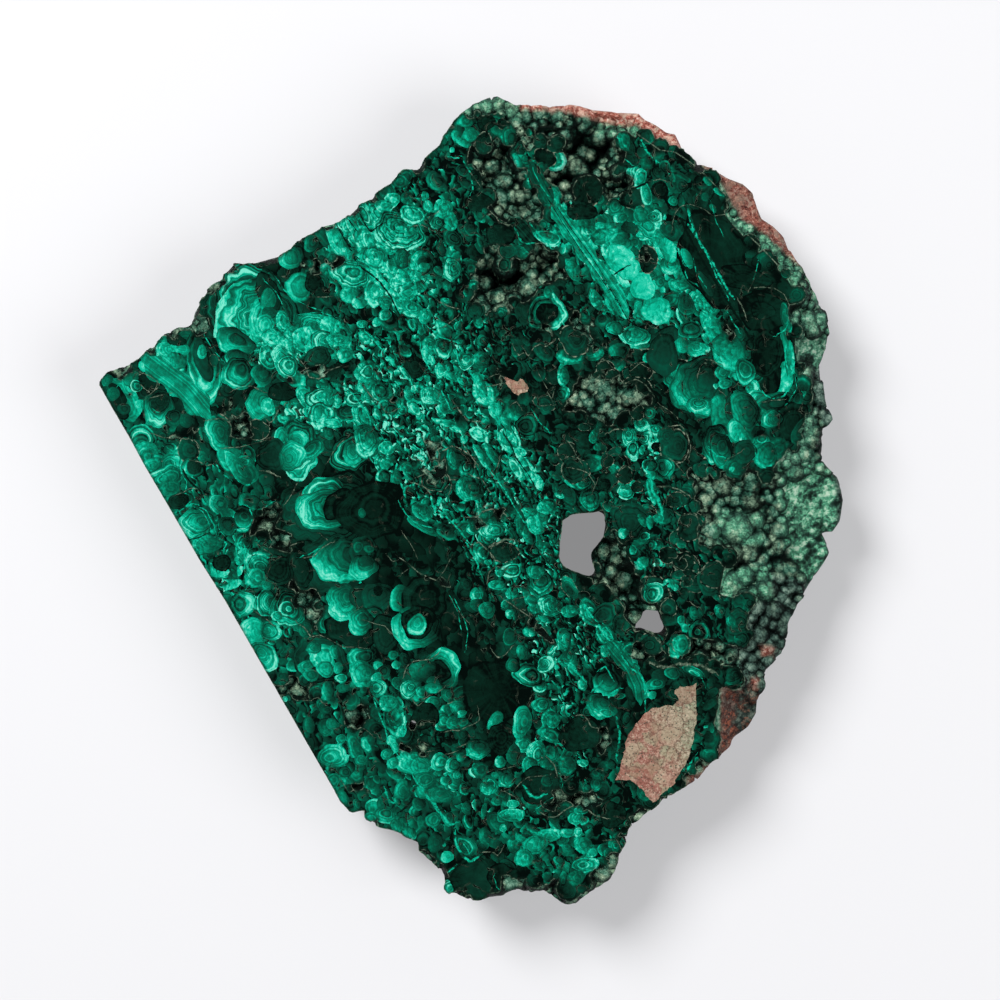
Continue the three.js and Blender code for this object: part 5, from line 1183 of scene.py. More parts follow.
def item_labels(p):
    """The last item that covers each point, or -1."""
    lab = np.full(len(p), -1)
    for k, item in enumerate(ITEMS):
        i = in_box(p, item.box)
        lab[i[item.edge(p[i]) < 0]] = k
    return lab


# The face's triangles
LATTICE = (71, 77)              # half width and half height of the lattice
OUTSIDE = -1.2                  # triangles farther outside the stone than this are dropped first
ROUGH = -2                      # labels from here down belong to the rough stone
NEAREST_CUT = 0.06              # an edge isn't cut nearer than this share to its ends


def lattice():
    """Points and triangles of a flat triangular lattice wider than the stone."""
    xs = np.arange(-LATTICE[0], LATTICE[0], STEP)
    ys = np.arange(-LATTICE[1], LATTICE[1], STEP * ROW)
    g = np.array([(x + (j % 2) * STEP / 2, y) for j, y in enumerate(ys) for x in xs])
    n = len(xs)
    j, i = np.meshgrid(np.arange(len(ys) - 1), np.arange(n - 1), indexing="ij")
    a, b = j * n + i, j * n + i + 1
    c, d = a + n, b + n
    odd = (j % 2 == 1)[..., None]
    t1 = np.where(odd, np.stack([a, b, d], -1), np.stack([a, b, c], -1))
    t2 = np.where(odd, np.stack([a, d, c], -1), np.stack([b, d, c], -1))
    return g, np.concatenate([t1.reshape(-1, 3), t2.reshape(-1, 3)])


def used_only(p, tris, *more):
    """Drops the points that no triangle uses, here and in further values of the points."""
    used, back = np.unique(tris, return_inverse=True)
    return (p[used], back.reshape(-1, 3), *(m[used] for m in more))


def split_edges(p, tris, mixed_of, cross):
    """Cuts every triangle along its mixed edges. Returns points, triangles, for each new
    triangle the old corner that it belongs to, and for each new point an old one beside it."""
    # side k of a triangle runs from corner k to the next one
    e = np.sort(np.stack([tris, np.roll(tris, -1, 1)], -1), -1)
    flat, back = np.unique(e.reshape(-1, 2), axis=0, return_inverse=True)
    back = back.reshape(-1, 3)
    mixed = mixed_of(flat)
    t = np.clip(cross(flat[mixed]), NEAREST_CUT, 1 - NEAREST_CUT)
    a, b = p[flat[mixed, 0]], p[flat[mixed, 1]]
    new = a + (b - a) * t[:, None]
    ids = np.full(len(flat), -1)
    ids[mixed] = len(p) + np.arange(mixed.sum())
    origin = flat[mixed, 0]
    p = np.concatenate([p, new])
    m = mixed[back]
    count = m.sum(1)
    out = [tris[count == 0]]
    owner = [tris[count == 0][:, 0]]

    def add(rows, own):
        out.append(np.stack(rows, -1))
        owner.append(own)

    for k in range(3):
        r = (count == 1) & m[:, k]
        v0, v1, v2 = (tris[r][:, (k + s) % 3] for s in range(3))
        x = ids[back[r][:, k]]
        add((v0, x, v2), v0)
        add((x, v1, v2), v1)
        # both sides at corner k are mixed: corner k is alone
        r = (count == 2) & m[:, k] & m[:, (k + 2) % 3]
        v0, v1, v2 = (tris[r][:, (k + s) % 3] for s in range(3))
        x, y = ids[back[r][:, k]], ids[back[r][:, (k + 2) % 3]]
        add((v0, x, y), v0)
        add((x, v1, v2), v1)
        add((x, v2, y), v1)
    r = count == 3
    if r.any():
        v = tris[r]
        x = ids[back[r]]
        mid = len(p) + np.arange(r.sum())
        p = np.concatenate([p, p[x].mean(1)])
        origin = np.concatenate([origin, v[:, 0]])
        for k in range(3):
            add((v[:, k], x[:, k], mid), v[:, k])
            add((v[:, k], mid, x[:, (k + 2) % 3]), v[:, k])
    return p, np.concatenate(out), np.concatenate(owner), origin


def nought_between(fa, fb):
    """The share of the way from a to b where a value passes nought, half where it's the same."""
    same = fa == fb
    return np.where(same, 0.5, fa / np.where(same, 1, fa - fb))


def split_sign(p, tris, f):
    """Cuts triangles where f changes sign, f being known at the points."""
    def mixed(e):
        return (f[e[:, 0]] < 0) != (f[e[:, 1]] < 0)

    def cross(e):
        return nought_between(f[e[:, 0]], f[e[:, 1]])

    p, tris, owner, _ = split_edges(p, tris, mixed, cross)
    return p, tris, f[owner] >= 0


def rough_label(k):
    """The label of rough stone on nodule k, or on none where k is -1. It also turns such a label
    back into k."""
    return ROUGH - 1 - k


def face_labels(p, raw, who):
    """A label for each point: on rough stone that of the nodule that carries it, elsewhere the
    item, or the number of items plus the cut nodule, or -1."""
    lab = item_labels(p)
    lab = np.where((lab < 0) & (who >= 0) & (CUT[who] > 0), len(ITEMS) + who, lab)
    return np.where(raw < 0, rough_label(who), lab)


def label_crossings(start, end, a, b):
    """Where the labels a and b meet on the way from each start to each end."""
    count = len(ITEMS)
    t = np.full(len(a), 0.5)
    # of two items the later one has the edge, and an item's edge lies over a nodule's
    top = np.where((a < count) & (b < count), np.maximum(a, b), np.where(a < count, a, b))
    top = np.where(a < 0, b, np.where(b < 0, a, top))

    def meet(i, f):
        fa, fb = f(start[i]), f(end[i])
        t[i] = np.where((fa < 0) != (fb < 0), nought_between(fa, fb), 0.5)

    rough = np.where(a <= ROUGH)[0]
    ka, kb = rough_label(a[rough]), rough_label(b[rough])
    meet(rough, lambda q: height_of(q, ka) - height_of(q, kb))
    for k in np.unique(top[(top >= 0) & (top < count)]):
        meet(np.where(top == k)[0], ITEMS[k].edge)
    both = (a >= count) & (b >= count)
    alone = np.where((top >= count) & ~both)[0]
    disc = top[alone] - count
    meet(alone, lambda q: np.linalg.norm(q - SPOT[disc], axis=1) / CUT[disc] - 1)
    # two cut nodules share the line on which their circles are equally strong
    pair = np.where(both)[0]
    na, nb = a[pair] - count, b[pair] - count

    def gap(q):
        return (CUT[nb] ** 2 - ((q - SPOT[nb]) ** 2).sum(1)
                - (CUT[na] ** 2 - ((q - SPOT[na]) ** 2).sum(1)))

    t[pair] = nought_between(gap(start[pair]), gap(end[pair]))
    return t


def build_face():
    """All that is seen from above: points, triangles, heights above the polished face, and for
    each triangle its label and whether it is polished."""
    p, tris = lattice()
    f = border(p)
    keep = (f[tris] > OUTSIDE).any(1)
    p, tris, f = used_only(p, tris[keep], f)
    p, tris, inside = split_sign(p, tris, f)
    p, tris = used_only(p, tris[inside])
    raw, who = surface(p)
    n = len(p)
    p, tris, _ = split_sign(p, tris, raw)
    raw = np.concatenate([raw, np.zeros(len(p) - n)])
    who = np.concatenate([who, surface(p[n:])[1]])
    lab = face_labels(p, raw, who)

    def mixed(e):
        a, b = lab[e[:, 0]], lab[e[:, 1]]
        return (a != b) & ((a > ROUGH) == (b > ROUGH))

    def cross(e):
        return label_crossings(p[e[:, 0]], p[e[:, 1]], lab[e[:, 0]], lab[e[:, 1]])

    n = len(p)
    split, tris, owner, origin = split_edges(p, tris, mixed, cross)
    # new points between face points stay on the face, the others lie on the rough surface
    under, _ = surface(split[n:])
    raw = np.concatenate([raw, np.where(raw[origin] < 0, np.minimum(under, -0.001), 0.0)])
    # a triangle is rough if any corner lies under the face
    polished = ~(raw < 0)[tris].any(1)
    label = lab[owner]
    _, carrier = surface(split[tris[~polished]].mean(1))
    label[~polished] = rough_label(carrier)
    return split, tris, raw, label, polished


# The closed stone
OUTER_ROWS = 10                 # rows of points down the outer wall
HOLE_ROWS = 5                   # rows of points down the wall of an opening
SAWN_FLAT = 0.6                 # walls that are sawn to this share stand upright
MOST_TRIES = 30                 # rounds of smoothing where the back's sides cross
BACK_SPACING = 3.2              # spacing of the points on the back
BACK_MARGIN = 1.2               # how far they stay from its edges
LOWEST = 1.0                    # nothing seen from above lies lower over the back
WAVES = [(0.16, 1.4), (0.45, 1.0), (1.1, 0.4)]  # the walls' waves: (number in a mm, height in mm)


def largest_part(tris):
    """The triangles that hang together with most of the others."""
    mark = np.arange(tris.max() + 1)
    settled = False
    while not settled:
        low = mark[tris].min(1)
        new = mark.copy()
        for k in range(3):
            np.minimum.at(new, tris[:, k], low)
        new = new[new]
        settled = (new == mark).all()
        mark = new
    root = mark[tris[:, 0]]
    return root == np.bincount(root).argmax()


def border_loops(tris):
    """The open edges chained into loops, stone on the left."""
    e = np.stack([tris, np.roll(tris, -1, 1)], -1).reshape(-1, 2)
    n = tris.max() + 1
    key = e[:, 0].astype(np.int64) * n + e[:, 1]
    back = e[:, 1].astype(np.int64) * n + e[:, 0]
    follow = {int(a): int(b) for a, b in e[~np.isin(key, back)]}
    loops = []
    while follow:
        a, b = follow.popitem()
        loop = [a]
        while b != a:
            loop.append(b)
            b = follow.pop(b)
        loops.append(np.array(loop))
    return sorted(loops, key=len, reverse=True)


def smooth_loop(q, times):
    for _ in range(times):
        q = 0.5 * q + 0.25 * (np.roll(q, 1, 0) + np.roll(q, -1, 0))
    return q


def wall_row(top, share, sawn, outer):
    """The loop of points that lies this share of the way down a wall, leaning in and out."""
    q = smooth_loop(top[:, :2], 2 + int(20 * share))
    side = np.roll(q, -1, 0) - np.roll(q, 1, 0)
    side = side / np.maximum(np.linalg.norm(side, axis=1), 1e-9)[:, None]
    into = np.stack([-side[:, 1], side[:, 0]], -1)
    height = top[:, 2] * (1 - share)
    lean = np.ones(len(q))
    for k, size in WAVES:
        wave = [noise.noise((x * k, y * k, h * k)) for (x, y), h in zip(q, height)]
        lean += size * np.array(wave)
    lean = np.maximum(lean, 0) * smoothstep(0, 0.25, share) + 0.7 * share ** 3
    lean = lean * (1 if outer else 0.4) * (1 - sawn)
    q = np.where(sawn[:, None] > SAWN_FLAT, top[:, :2], q + into * lean[:, None])
    return np.column_stack([q, height])


def build_walls(top, tris):
    """The walls under the open edges: points, triangles, parts, the last row of each loop, and
    rows of (point, loop number, share of the way round, share of the way down)."""
    points, faces, parts, ends, unrolled = [], [], [], [], []
    count = len(top)
    for number, loop in enumerate(border_loops(tris)):
        outer = number == 0
        around = np.arange(len(loop)) / len(loop)
        edge = top[loop]
        sawn = sawn_share(edge[:, :2]) if outer else np.zeros(len(loop))
        kind = np.where(sawn > SAWN_FLAT, SAWN, WALL)
        rows = OUTER_ROWS if outer else HOLE_ROWS
        above = loop
        for row in range(rows + 1):
            share = row / rows
            below = loop if row == 0 else count + np.arange(len(loop))
            unrolled.append([(i, number, s, share) for i, s in zip(below, around)])
            if row == 0:
                continue
            points.append(wall_row(edge, share, sawn, outer))
            count += len(loop)
            a, b = above, np.roll(above, -1)
            c, d = below, np.roll(below, -1)
            faces += [np.stack([a, c, d], -1), np.stack([a, d, b], -1)]
            parts += [kind, kind]
            above = below
        ends.append(above)
    return points, faces, parts, ends, np.concatenate(unrolled)


def inside_walls(tris, walls):
    """For each triangle of a filled outline: whether an odd number of walls lies outside it."""
    beside = {}
    for t, f in enumerate(tris):
        for a, b in zip(f, f[1:] + f[:1]):
            beside.setdefault((min(a, b), max(a, b)), []).append(t)
    state = {}
    todo = [(ts[0], e in walls) for e, ts in beside.items() if len(ts) == 1]
    while todo:
        t, now = todo.pop()
        if t in state:
            continue
        state[t] = now
        f = tris[t]
        for a, b in zip(f, f[1:] + f[:1]):
            e = (min(a, b), max(a, b))
            todo += [(o, now != (e in walls)) for o in beside[e] if o not in state]
    return np.array([state[t] for t in range(len(tris))])


def build_back(pts, loops):
    """The flat sawn back between the last rows of the walls: all points, and its triangles."""
    def inner(q):
        keep = outline_distance(q, pts[loops[0], :2])[0] > BACK_MARGIN
        for loop in loops[1:]:
            keep &= outline_distance(q, pts[loop, :2])[0] < -BACK_MARGIN
        return keep

    spread = scatter(BACK_SPACING, inner, 6)
    ids = np.concatenate([*loops, len(pts) + np.arange(len(spread))])
    pts = np.concatenate([pts, np.column_stack([spread, np.zeros(len(spread))])])
    sides = []
    start = 0
    for loop in loops:
        k = np.arange(len(loop)) + start
        sides += list(zip(k.tolist(), np.roll(k, -1).tolist()))
        start += len(loop)
    for _ in range(MOST_TRIES):
        flat = [Vector(v) for v in pts[ids, :2].tolist()]
        places, _, tris, origin, _, _ = geometry.delaunay_2d_cdt(flat, sides, [], 0, 1e-7)
        # where sides cross or points meet, the rows round them are smoothed
        tight = [v[:] for v, o in zip(places, origin) if len(o) != 1]
        if not tight:
            break
        for loop in loops:
            q = pts[loop, :2]
            near = np.linalg.norm(q[:, None] - np.array(tight), axis=-1).min(1) < BACK_MARGIN
            pts[loop[near], :2] = smooth_loop(q, 3)[near]
    where = np.array([o[0] for o in origin])
    walls = {(min(a, b), max(a, b)) for a, b in np.argsort(where)[np.array(sides)].tolist()}
    stone = inside_walls([list(f) for f in tris], walls)
    return pts, ids[where[np.array(tris)[stone]]][:, ::-1]


def build_stone():
    """The whole closed stone: points, triangles, each triangle's part, the label of each one
    seen from above, and each point's loop and shares round and down the walls."""
    p, tris, raw, label, polished = build_face()
    big = largest_part(tris)
    tris, label, polished = tris[big], label[big], polished[big]
    p, tris, raw = used_only(p, tris, raw)
    top = np.column_stack([p, np.clip(THICK + np.minimum(raw, 0), LOWEST, THICK)])
    points, faces, parts, ends, unrolled = build_walls(top, tris)
    pts, back = build_back(np.concatenate([top, *points]), ends)
    wall = np.zeros((len(pts), 3))
    wall[unrolled[:, 0].astype(int)] = unrolled[:, 1:]
    parts = [np.where(polished, POLISHED, NATURAL), *parts, np.full(len(back), BACK)]
    return pts, np.concatenate([tris, *faces, back]), np.concatenate(parts), label, wall


POINTS, FACES, PART, LABEL, WALL_PLACES = build_stone()
XY = POINTS[:, :2]


# What the materials read from the mesh
def item_facts(facts, label):
    """Looks and places of the triangles in items."""
    look, glow, cell, kind = facts
    order = np.argsort(label, kind="stable")
    starts = np.searchsorted(label[order], np.arange(len(ITEMS) + 1))
    for k, item in enumerate(ITEMS):
        i = order[starts[k]:starts[k + 1]]
        if len(i):
            look[i] = item.look[:3]
            glow[i] = (*item.glow, item.look[3])
            kind[i] = item.kind
            cell[i] = item.local(XY[FACES[i]].reshape(-1, 2)).reshape(-1, 3, 2)


def natural_facts(facts):
    """Places of the triangles on the natural surface: how far from their nodule's middle."""
    _, glow, cell, kind = facts
    i = np.where(PART == NATURAL)[0]
    k = rough_label(LABEL[i])
    cell[i] = (XY[FACES[i]] - SPOT[k][:, None]) / SIZE[k][:, None, None]
    # bare stone between the nodules lies beyond their edges, where the clefts' painted shade is darkest
    cell[i[k < 0]] = (0, 1.5)
    # the rims at the upper left are rind, not clefts: they get a middling painted light instead of the
    # clefts' painted shade
    middle = XY[FACES[i]].mean(1)
    rind = np.max([depth_in(middle, points) for *_, points in SLOPES[:3]], 0) > 0
    cell[i[(k < 0) & rind]] = (0, 0.45)
    glow[i, 2] = (k * 0.618) % 1
    # the crust grows knobs where the kind isn't nought, pale on top from painted light
    walls = np.where(PART == WALL)[0]
    cell[walls] = (0, 0.6)
    kind[walls] = 1


PALE_LEFT_OF = 220              # cut listed nodules are pale left of this pixel
DARK_ABOVE = 200                # and dark above this one


def nodule_tone(r):
    """Tone of each nodule where the face cuts it."""
    tone = ground_tone(SPOT)[0] + r.normal(-0.06, 0.16, len(SPOT))
    for j, (x, y, *_) in enumerate(SET_NODULES):
        tone[j] = 0.6 if x < PALE_LEFT_OF else 0.14 if y < DARK_ABOVE else 0.3
    return np.clip(tone, 0.03, 0.95)


def nodule_facts(facts, label):
    """Looks and places of the triangles in cut nodules."""
    look, glow, cell, kind = facts
    i = np.where(label >= len(ITEMS))[0]
    k = label[i] - len(ITEMS)
    r = np.random.default_rng(5)
    tone = nodule_tone(r)
    # each cut nodule is brighter towards one side at random, partly painted sheen
    angle = r.uniform(0, 6.28, len(SPOT))
    power = r.uniform(0.05, 0.3, len(SPOT))
    rings = r.uniform(1.5, 4, len(SPOT))
    seed = r.random(len(SPOT))
    look[i] = np.stack([tone[k], rings[k], np.full(len(k), 0.5)], -1)
    glow[i] = np.stack([np.cos(angle[k]) * power[k], np.sin(angle[k]) * power[k], seed[k]], -1)
    cell[i] = (XY[FACES[i]] - SPOT[k][:, None]) / CUT[k][:, None, None]
    kind[i[k < len(SET_NODULES)]] = OUTLINED


def face_facts():
    """For each triangle: look (tone, rings, contrast), glow (the way of a bright side that is partly
    painted sheen, and a seed), each corner's place in its item or nodule, and kind."""
    n = len(FACES)
    facts = np.zeros((n, 3)), np.zeros((n, 3)), np.zeros((n, 3, 2)), np.zeros(n)
    label = np.full(n, -1)
    label[:len(LABEL)] = LABEL
    label[PART != POLISHED] = -1
    item_facts(facts, label)
    natural_facts(facts)
    nodule_facts(facts, label)
    return facts


LINE_BOX = 1.2                  # how far round a drawn line's points its triangles are looked for
LINE_REACH = 1.1                # how far from the line they may lie
NO_LINE = 9.0                   # place across where no line is near
EDGE_REACH = 3.0                # distances from the face's edge are kept up to this


def line_facts():
    """For each corner: place across and along the nearest drawn line, and that line's kind."""
    out = np.zeros((len(FACES), 3, 3))
    out[..., 0] = NO_LINE
    face = np.where(PART == POLISHED)[0]
    middle = XY[FACES[face]].mean(1)
    best = np.full(len(face), LINE_REACH)
    for kind, width, points in LINES:
        q = mm(points)
        near = in_box(middle, (q.min(0) - LINE_BOX, q.max(0) + LINE_BOX))
        off = np.abs(line_coordinates(middle[near], points)[1])
        closer = off < best[near]
        near = near[closer]
        best[near] = off[closer]
        corners = XY[FACES[face[near]]].reshape(-1, 2)
        along, across, _ = line_coordinates(corners, points)
        rows = np.stack([across / (width * PIXEL * 0.6), along, np.full(len(along), kind)], -1)
        out[face[near]] = rows.reshape(-1, 3, 3)
    return out


def ground_facts():
    """For each point: tone and grain of the ground, and distance from the face's edge."""
    tone, grain = ground_tone(XY)
    on_face = np.zeros(len(XY), bool)
    on_face[np.unique(FACES[PART == POLISHED])] = True
    elsewhere = np.zeros(len(XY), bool)
    elsewhere[np.unique(FACES[PART != POLISHED])] = True
    rim = np.where(on_face & elsewhere)[0]
    tree = kdtree.KDTree(len(rim))
    for i in rim:
        tree.insert(Vector((*XY[i], 0)), int(i))
    tree.balance()
    edge = np.full(len(XY), EDGE_REACH)
    for i in np.where(on_face)[0]:
        edge[i] = min(EDGE_REACH, tree.find(Vector((*XY[i], 0)))[2])
    return np.stack([tone, grain, edge], -1)


def patch_facts():
    """For each point: how much red rock, rust and mint the rough stone shows there."""
    patch = np.zeros((len(XY), 3))
    rough = 0.5 * smooth_noise(XY, 0.7, 21)
    for red, rust, mint, points in PATCHES:
        w = smoothstep(-0.6, 0.5, depth_in(XY, points) + rough)[:, None]
        patch = patch * (1 - w) + np.array([red, rust, mint]) * w
    return patch


# The flat map for exported textures: the face fills the lower left, the back lies beside it, and
# the unrolled walls lie above it, the outer one cut into three strips.
MAP_EDGE = 0.004
FACE_SCALE = 0.005
BACK_SCALE = 0.002
SECOND_COLUMN = 0.712
STRIPS = 3
STRIP_START = 0.005
STRIP_LENGTH = 0.97
STRIP_FOOT = 0.775
STRIP_PITCH = 0.075
STRIP_HEIGHT = 0.068
HOLES_HIGH = 4                  # openings above one another
HOLE_LENGTH = 0.27
HOLE_FOOT = 0.33
HOLE_PITCH = 0.09
HOLE_HEIGHT = 0.07


def flat_map():
    """For each corner: its place on a flat map with every part of the surface on its own."""
    xy = XY[FACES]
    low, high = XY.min(0), XY.max(0)
    out = MAP_EDGE + (xy - low) * FACE_SCALE
    back = PART == BACK
    out[back, :, 0] = SECOND_COLUMN + (high[0] - xy[back, :, 0]) * BACK_SCALE
    out[back, :, 1] = MAP_EDGE + (xy[back, :, 1] - low[1]) * BACK_SCALE
    side = (PART == SAWN) | (PART == WALL)
    loop, along, down = np.moveaxis(WALL_PLACES[FACES[side]], -1, 0)
    # the last triangles of a loop run on past its end
    closing = np.ptp(along, 1) > 0.5
    along = along + (closing[:, None] & (along < 0.5))
    strip = np.minimum(np.floor(along.min(1) * STRIPS), STRIPS - 1)[:, None]
    outer = np.stack([STRIP_START + (along * STRIPS - strip) * STRIP_LENGTH,
                      STRIP_FOOT + strip * STRIP_PITCH + (1 - down) * STRIP_HEIGHT], -1)
    row = (loop - 1) % HOLES_HIGH
    hole = np.stack([SECOND_COLUMN + along * HOLE_LENGTH,
                     HOLE_FOOT + row * HOLE_PITCH + (1 - down) * HOLE_HEIGHT], -1)
    out[side] = np.where(loop[..., None] > 0, hole, outer)
    return out


NODULE_GROUPS = 8               # each nodule's natural surface has a group above this


def mark_sharp(mesh):
    """Sharp edges between the parts of the surface and in the clefts between nodules."""
    side_edges = np.zeros(len(mesh.loops), int)
    mesh.loops.foreach_get("edge_index", side_edges)
    group = np.select([PART == POLISHED, PART == BACK, PART == SAWN], [0, 2, 3], 1)
    rough = np.where(PART == NATURAL)[0]
    group[rough] = NODULE_GROUPS - LABEL[rough]
    group = np.repeat(group, 3)
    low = np.full(len(mesh.edges), 99999)
    high = np.full(len(mesh.edges), -1)
    np.minimum.at(low, side_edges, group)
    np.maximum.at(high, side_edges, group)
    sharp = mesh.attributes.new("sharp_edge", "BOOLEAN", "EDGE")
    # walls run smoothly into the natural surface above them
    sharp.data.foreach_set("value", (low != high) & ~((low == 1) & (high > NODULE_GROUPS)))


def make_mesh():
    mesh = bpy.data.meshes.new("polished_malachite")
    mesh.from_pydata((POINTS * METRES).tolist(), [], FACES.tolist())
    look, glow, place, kind = face_facts()
    cell = np.dstack([place, np.repeat(kind[:, None], 3, 1)])
    for name, where, values in (("look", "FACE", look), ("glow", "FACE", glow),
                                ("cell", "CORNER", cell), ("ground", "POINT", ground_facts()),
                                ("patch", "POINT", patch_facts()), ("line", "CORNER", line_facts())):
        attribute = mesh.attributes.new(name, "FLOAT_VECTOR", where)
        attribute.data.foreach_set("vector", values.astype(np.float32).ravel())
    # rock cut by the polished face wears its own material
    cut_rock = (PART == POLISHED) & (kind == ROCK)
    index = np.select([cut_rock, PART == POLISHED, PART == SAWN, PART == BACK], [4, 0, 2, 3], 1)
    mesh.polygons.foreach_set("material_index", index.astype(np.int32))
    mesh.polygons.foreach_set("use_smooth", np.ones(len(FACES), bool))
    mesh.update()
    places = mesh.uv_layers.new(name="OFBake")
    places.uv.foreach_set("vector", flat_map().astype(np.float32).ravel())
    mark_sharp(mesh)
    return mesh


MESH = make_mesh()
SLAB = bpy.data.objects.new("polished_malachite", MESH)
bpy.context.scene.collection.objects.link(SLAB)


# Node trees
HALF = (0.5, 0.5, 0.5)


class Nodes:
    """Builds a node tree from plain calls."""

    def __init__(self, tree):
        self.tree = tree

    def new(self, kind, **settings):
        node = self.tree.nodes.new(kind)
        for name, value in settings.items():
            setattr(node, name, value)
        return node

    def put(self, socket, value):
        if isinstance(value, bpy.types.NodeSocket):
            self.tree.links.new(value, socket)
        else:
            socket.default_value = value

    def math(self, op, *values):
        node = self.new("ShaderNodeMath", operation=op)
        for socket, value in zip(node.inputs, values):
            self.put(socket, value)
        return node.outputs[0]

    def add(self, first, *more):
        for value in more:
            first = self.math("ADD", first, value)
        return first

    def sub(self, a, b):
        return self.math("SUBTRACT", a, b)

    def mul(self, first, *more):
        for value in more:
            first = self.math("MULTIPLY", first, value)
        return first

    def about(self, value, amount):
        """A noise between 0 and 1 turned into one about nought."""
        return self.mul(self.sub(value, 0.5), amount)

    def vec(self, op, a, b=(0, 0, 0)):
        node = self.new("ShaderNodeVectorMath", operation=op)
        self.put(node.inputs[0], a)
        self.put(node.inputs[1], b)
        return node.outputs["Value" if op in ("LENGTH", "DOT_PRODUCT") else "Vector"]

    def dot(self, a, b):
        return self.vec("DOT_PRODUCT", a, b)

    def scaled(self, vector, factor):
        node = self.new("ShaderNodeVectorMath", operation="SCALE")
        self.put(node.inputs[0], vector)
        self.put(node.inputs["Scale"], factor)
        return node.outputs["Vector"]

    def shifted(self, place, way, amount, middle=HALF):
        """A place moved along a colour noise."""
        return self.vec("ADD", place, self.scaled(self.vec("SUBTRACT", way, middle), amount))

    def split(self, vector):
        node = self.new("ShaderNodeSeparateXYZ")
        self.put(node.inputs[0], vector)
        return node.outputs[0], node.outputs[1], node.outputs[2]

    def join(self, *values):
        node = self.new("ShaderNodeCombineXYZ")
        for socket, value in zip(node.inputs, values):
            self.put(socket, value)
        return node.outputs[0]

    def attribute(self, name):
        return self.split(self.new("ShaderNodeAttribute", attribute_name=name).outputs["Vector"])

    def noise(self, where, scale, detail=2.0, rough=0.5, dims="3D"):
        node = self.new("ShaderNodeTexNoise", noise_dimensions=dims)
        self.put(node.inputs["W" if dims == "1D" else "Vector"], where)
        self.put(node.inputs["Scale"], scale)
        self.put(node.inputs["Detail"], detail)
        self.put(node.inputs["Roughness"], rough)
        return node.outputs[0], node.outputs[1]

    def cells(self, where, scale, feature="F1", dims="3D"):
        node = self.new("ShaderNodeTexVoronoi", feature=feature, voronoi_dimensions=dims)
        self.put(node.inputs["Vector"], where)
        self.put(node.inputs["Scale"], scale)
        return node.outputs

    def step(self, value, low, high, a=0.0, b=1.0):
        """A smooth step from a below low to b above high."""
        node = self.new("ShaderNodeMapRange", interpolation_type="SMOOTHSTEP")
        for socket, v in zip(node.inputs, (value, low, high, a, b)):
            self.put(socket, v)
        return node.outputs[0]

    def is_kind(self, value, kind):
        """1 where a value on the mesh is this whole number, else 0."""
        return self.mul(self.step(value, kind - 0.6, kind - 0.4),
                        self.step(value, kind + 0.4, kind + 0.6, 1.0, 0.0))

    def mix(self, share, a, b):
        node = self.new("ShaderNodeMix", data_type="FLOAT")
        for socket, v in zip((node.inputs[0], node.inputs[2], node.inputs[3]), (share, a, b)):
            self.put(socket, v)
        return node.outputs[0]

    def tint(self, share, a, b):
        """Colour b over colour a; both are sockets or 0-255 screen colours."""
        node = self.new("ShaderNodeMix", data_type="RGBA")
        self.put(node.inputs[0], share)
        for socket, v in zip((node.inputs[6], node.inputs[7]), (a, b)):
            self.put(socket, colour(v) if isinstance(v, tuple) else v)
        return node.outputs[2]

    def ramp(self, share, stops):
        node = self.new("ShaderNodeValToRGB")
        elements = node.color_ramp.elements
        while len(elements) < len(stops):
            elements.new(1.0)
        for element, (at, c) in zip(elements, stops):
            element.position = at
            element.color = colour(c)
        self.put(node.inputs[0], share)
        return node.outputs[0]


def colour(c):
    """0-255 screen colour to linear."""
    screen = [v / 255 for v in c]
    return (*(v / 12.92 if v <= 0.04045 else ((v + 0.055) / 1.055) ** 2.4 for v in screen), 1.0)


def material(name):
    """A new material, its tree, its shader and the place on the object in millimetres."""
    m = bpy.data.materials.new(name)
    m.use_nodes = True
    m.node_tree.nodes.clear()
    n = Nodes(m.node_tree)
    shader = n.new("ShaderNodeBsdfPrincipled")
    n.put(n.new("ShaderNodeOutputMaterial").inputs["Surface"], shader.outputs[0])
    where = n.new("ShaderNodeTexCoord").outputs["Object"]
    return m, n, shader, n.scaled(where, 1 / METRES)


def finish(n, shader, base, roughness, specular, height, strength, depth):
    """Wires a shader's colour, shine and bumps; the depth of the bumps is in metres."""
    n.put(shader.inputs["Base Color"], base)
    n.put(shader.inputs["Roughness"], roughness)
    n.put(shader.inputs["Specular IOR Level"], specular)
    bump = n.new("ShaderNodeBump")
    n.put(bump.inputs["Height"], height)
    n.put(bump.inputs["Strength"], strength)
    n.put(bump.inputs["Distance"], depth)
    n.put(shader.inputs["Normal"], bump.outputs[0])


# The green stone where the face or a saw cuts it

# Green from the darkest share of the face to its brightest, by share.
GREENS = [
    (0.0, (2, 8, 6)), (0.05, (5, 24, 17)), (0.12, (6, 34, 25)), (0.2, (8, 44, 33)),
    (0.3, (6, 53, 40)), (0.4, (5, 63, 47)), (0.5, (4, 75, 56)), (0.6, (6, 90, 68)),
    (0.7, (6, 108, 84)), (0.8, (4, 130, 102)), (0.9, (8, 158, 128)), (0.96, (46, 172, 145)),
    (1.0, (100, 190, 167)),
]
PALE_CRUST = [(0.3, (24, 40, 32)), (0.48, (72, 90, 74)), (0.66, (140, 150, 130))]
ALONG_GROWTH = (0.5, -0.866, 0.0)
ACROSS_GROWTH = (0.866, 0.5, 0.0)
ALONG_SAW = (-0.436, 0.9, 0.0)
ACROSS_SAW = (0.9, 0.436, 0.0)
UP = (0.0, 0.0, 1.0)
NODULE_INPUTS = {"Place": "NodeSocketVector", "Seed": "NodeSocketFloat", "Tone": "NodeSocketFloat",
                 "Rings": "NodeSocketFloat", "Contrast": "NodeSocketFloat",
                 "Glow": "NodeSocketVector", "Warp": "NodeSocketFloat"}


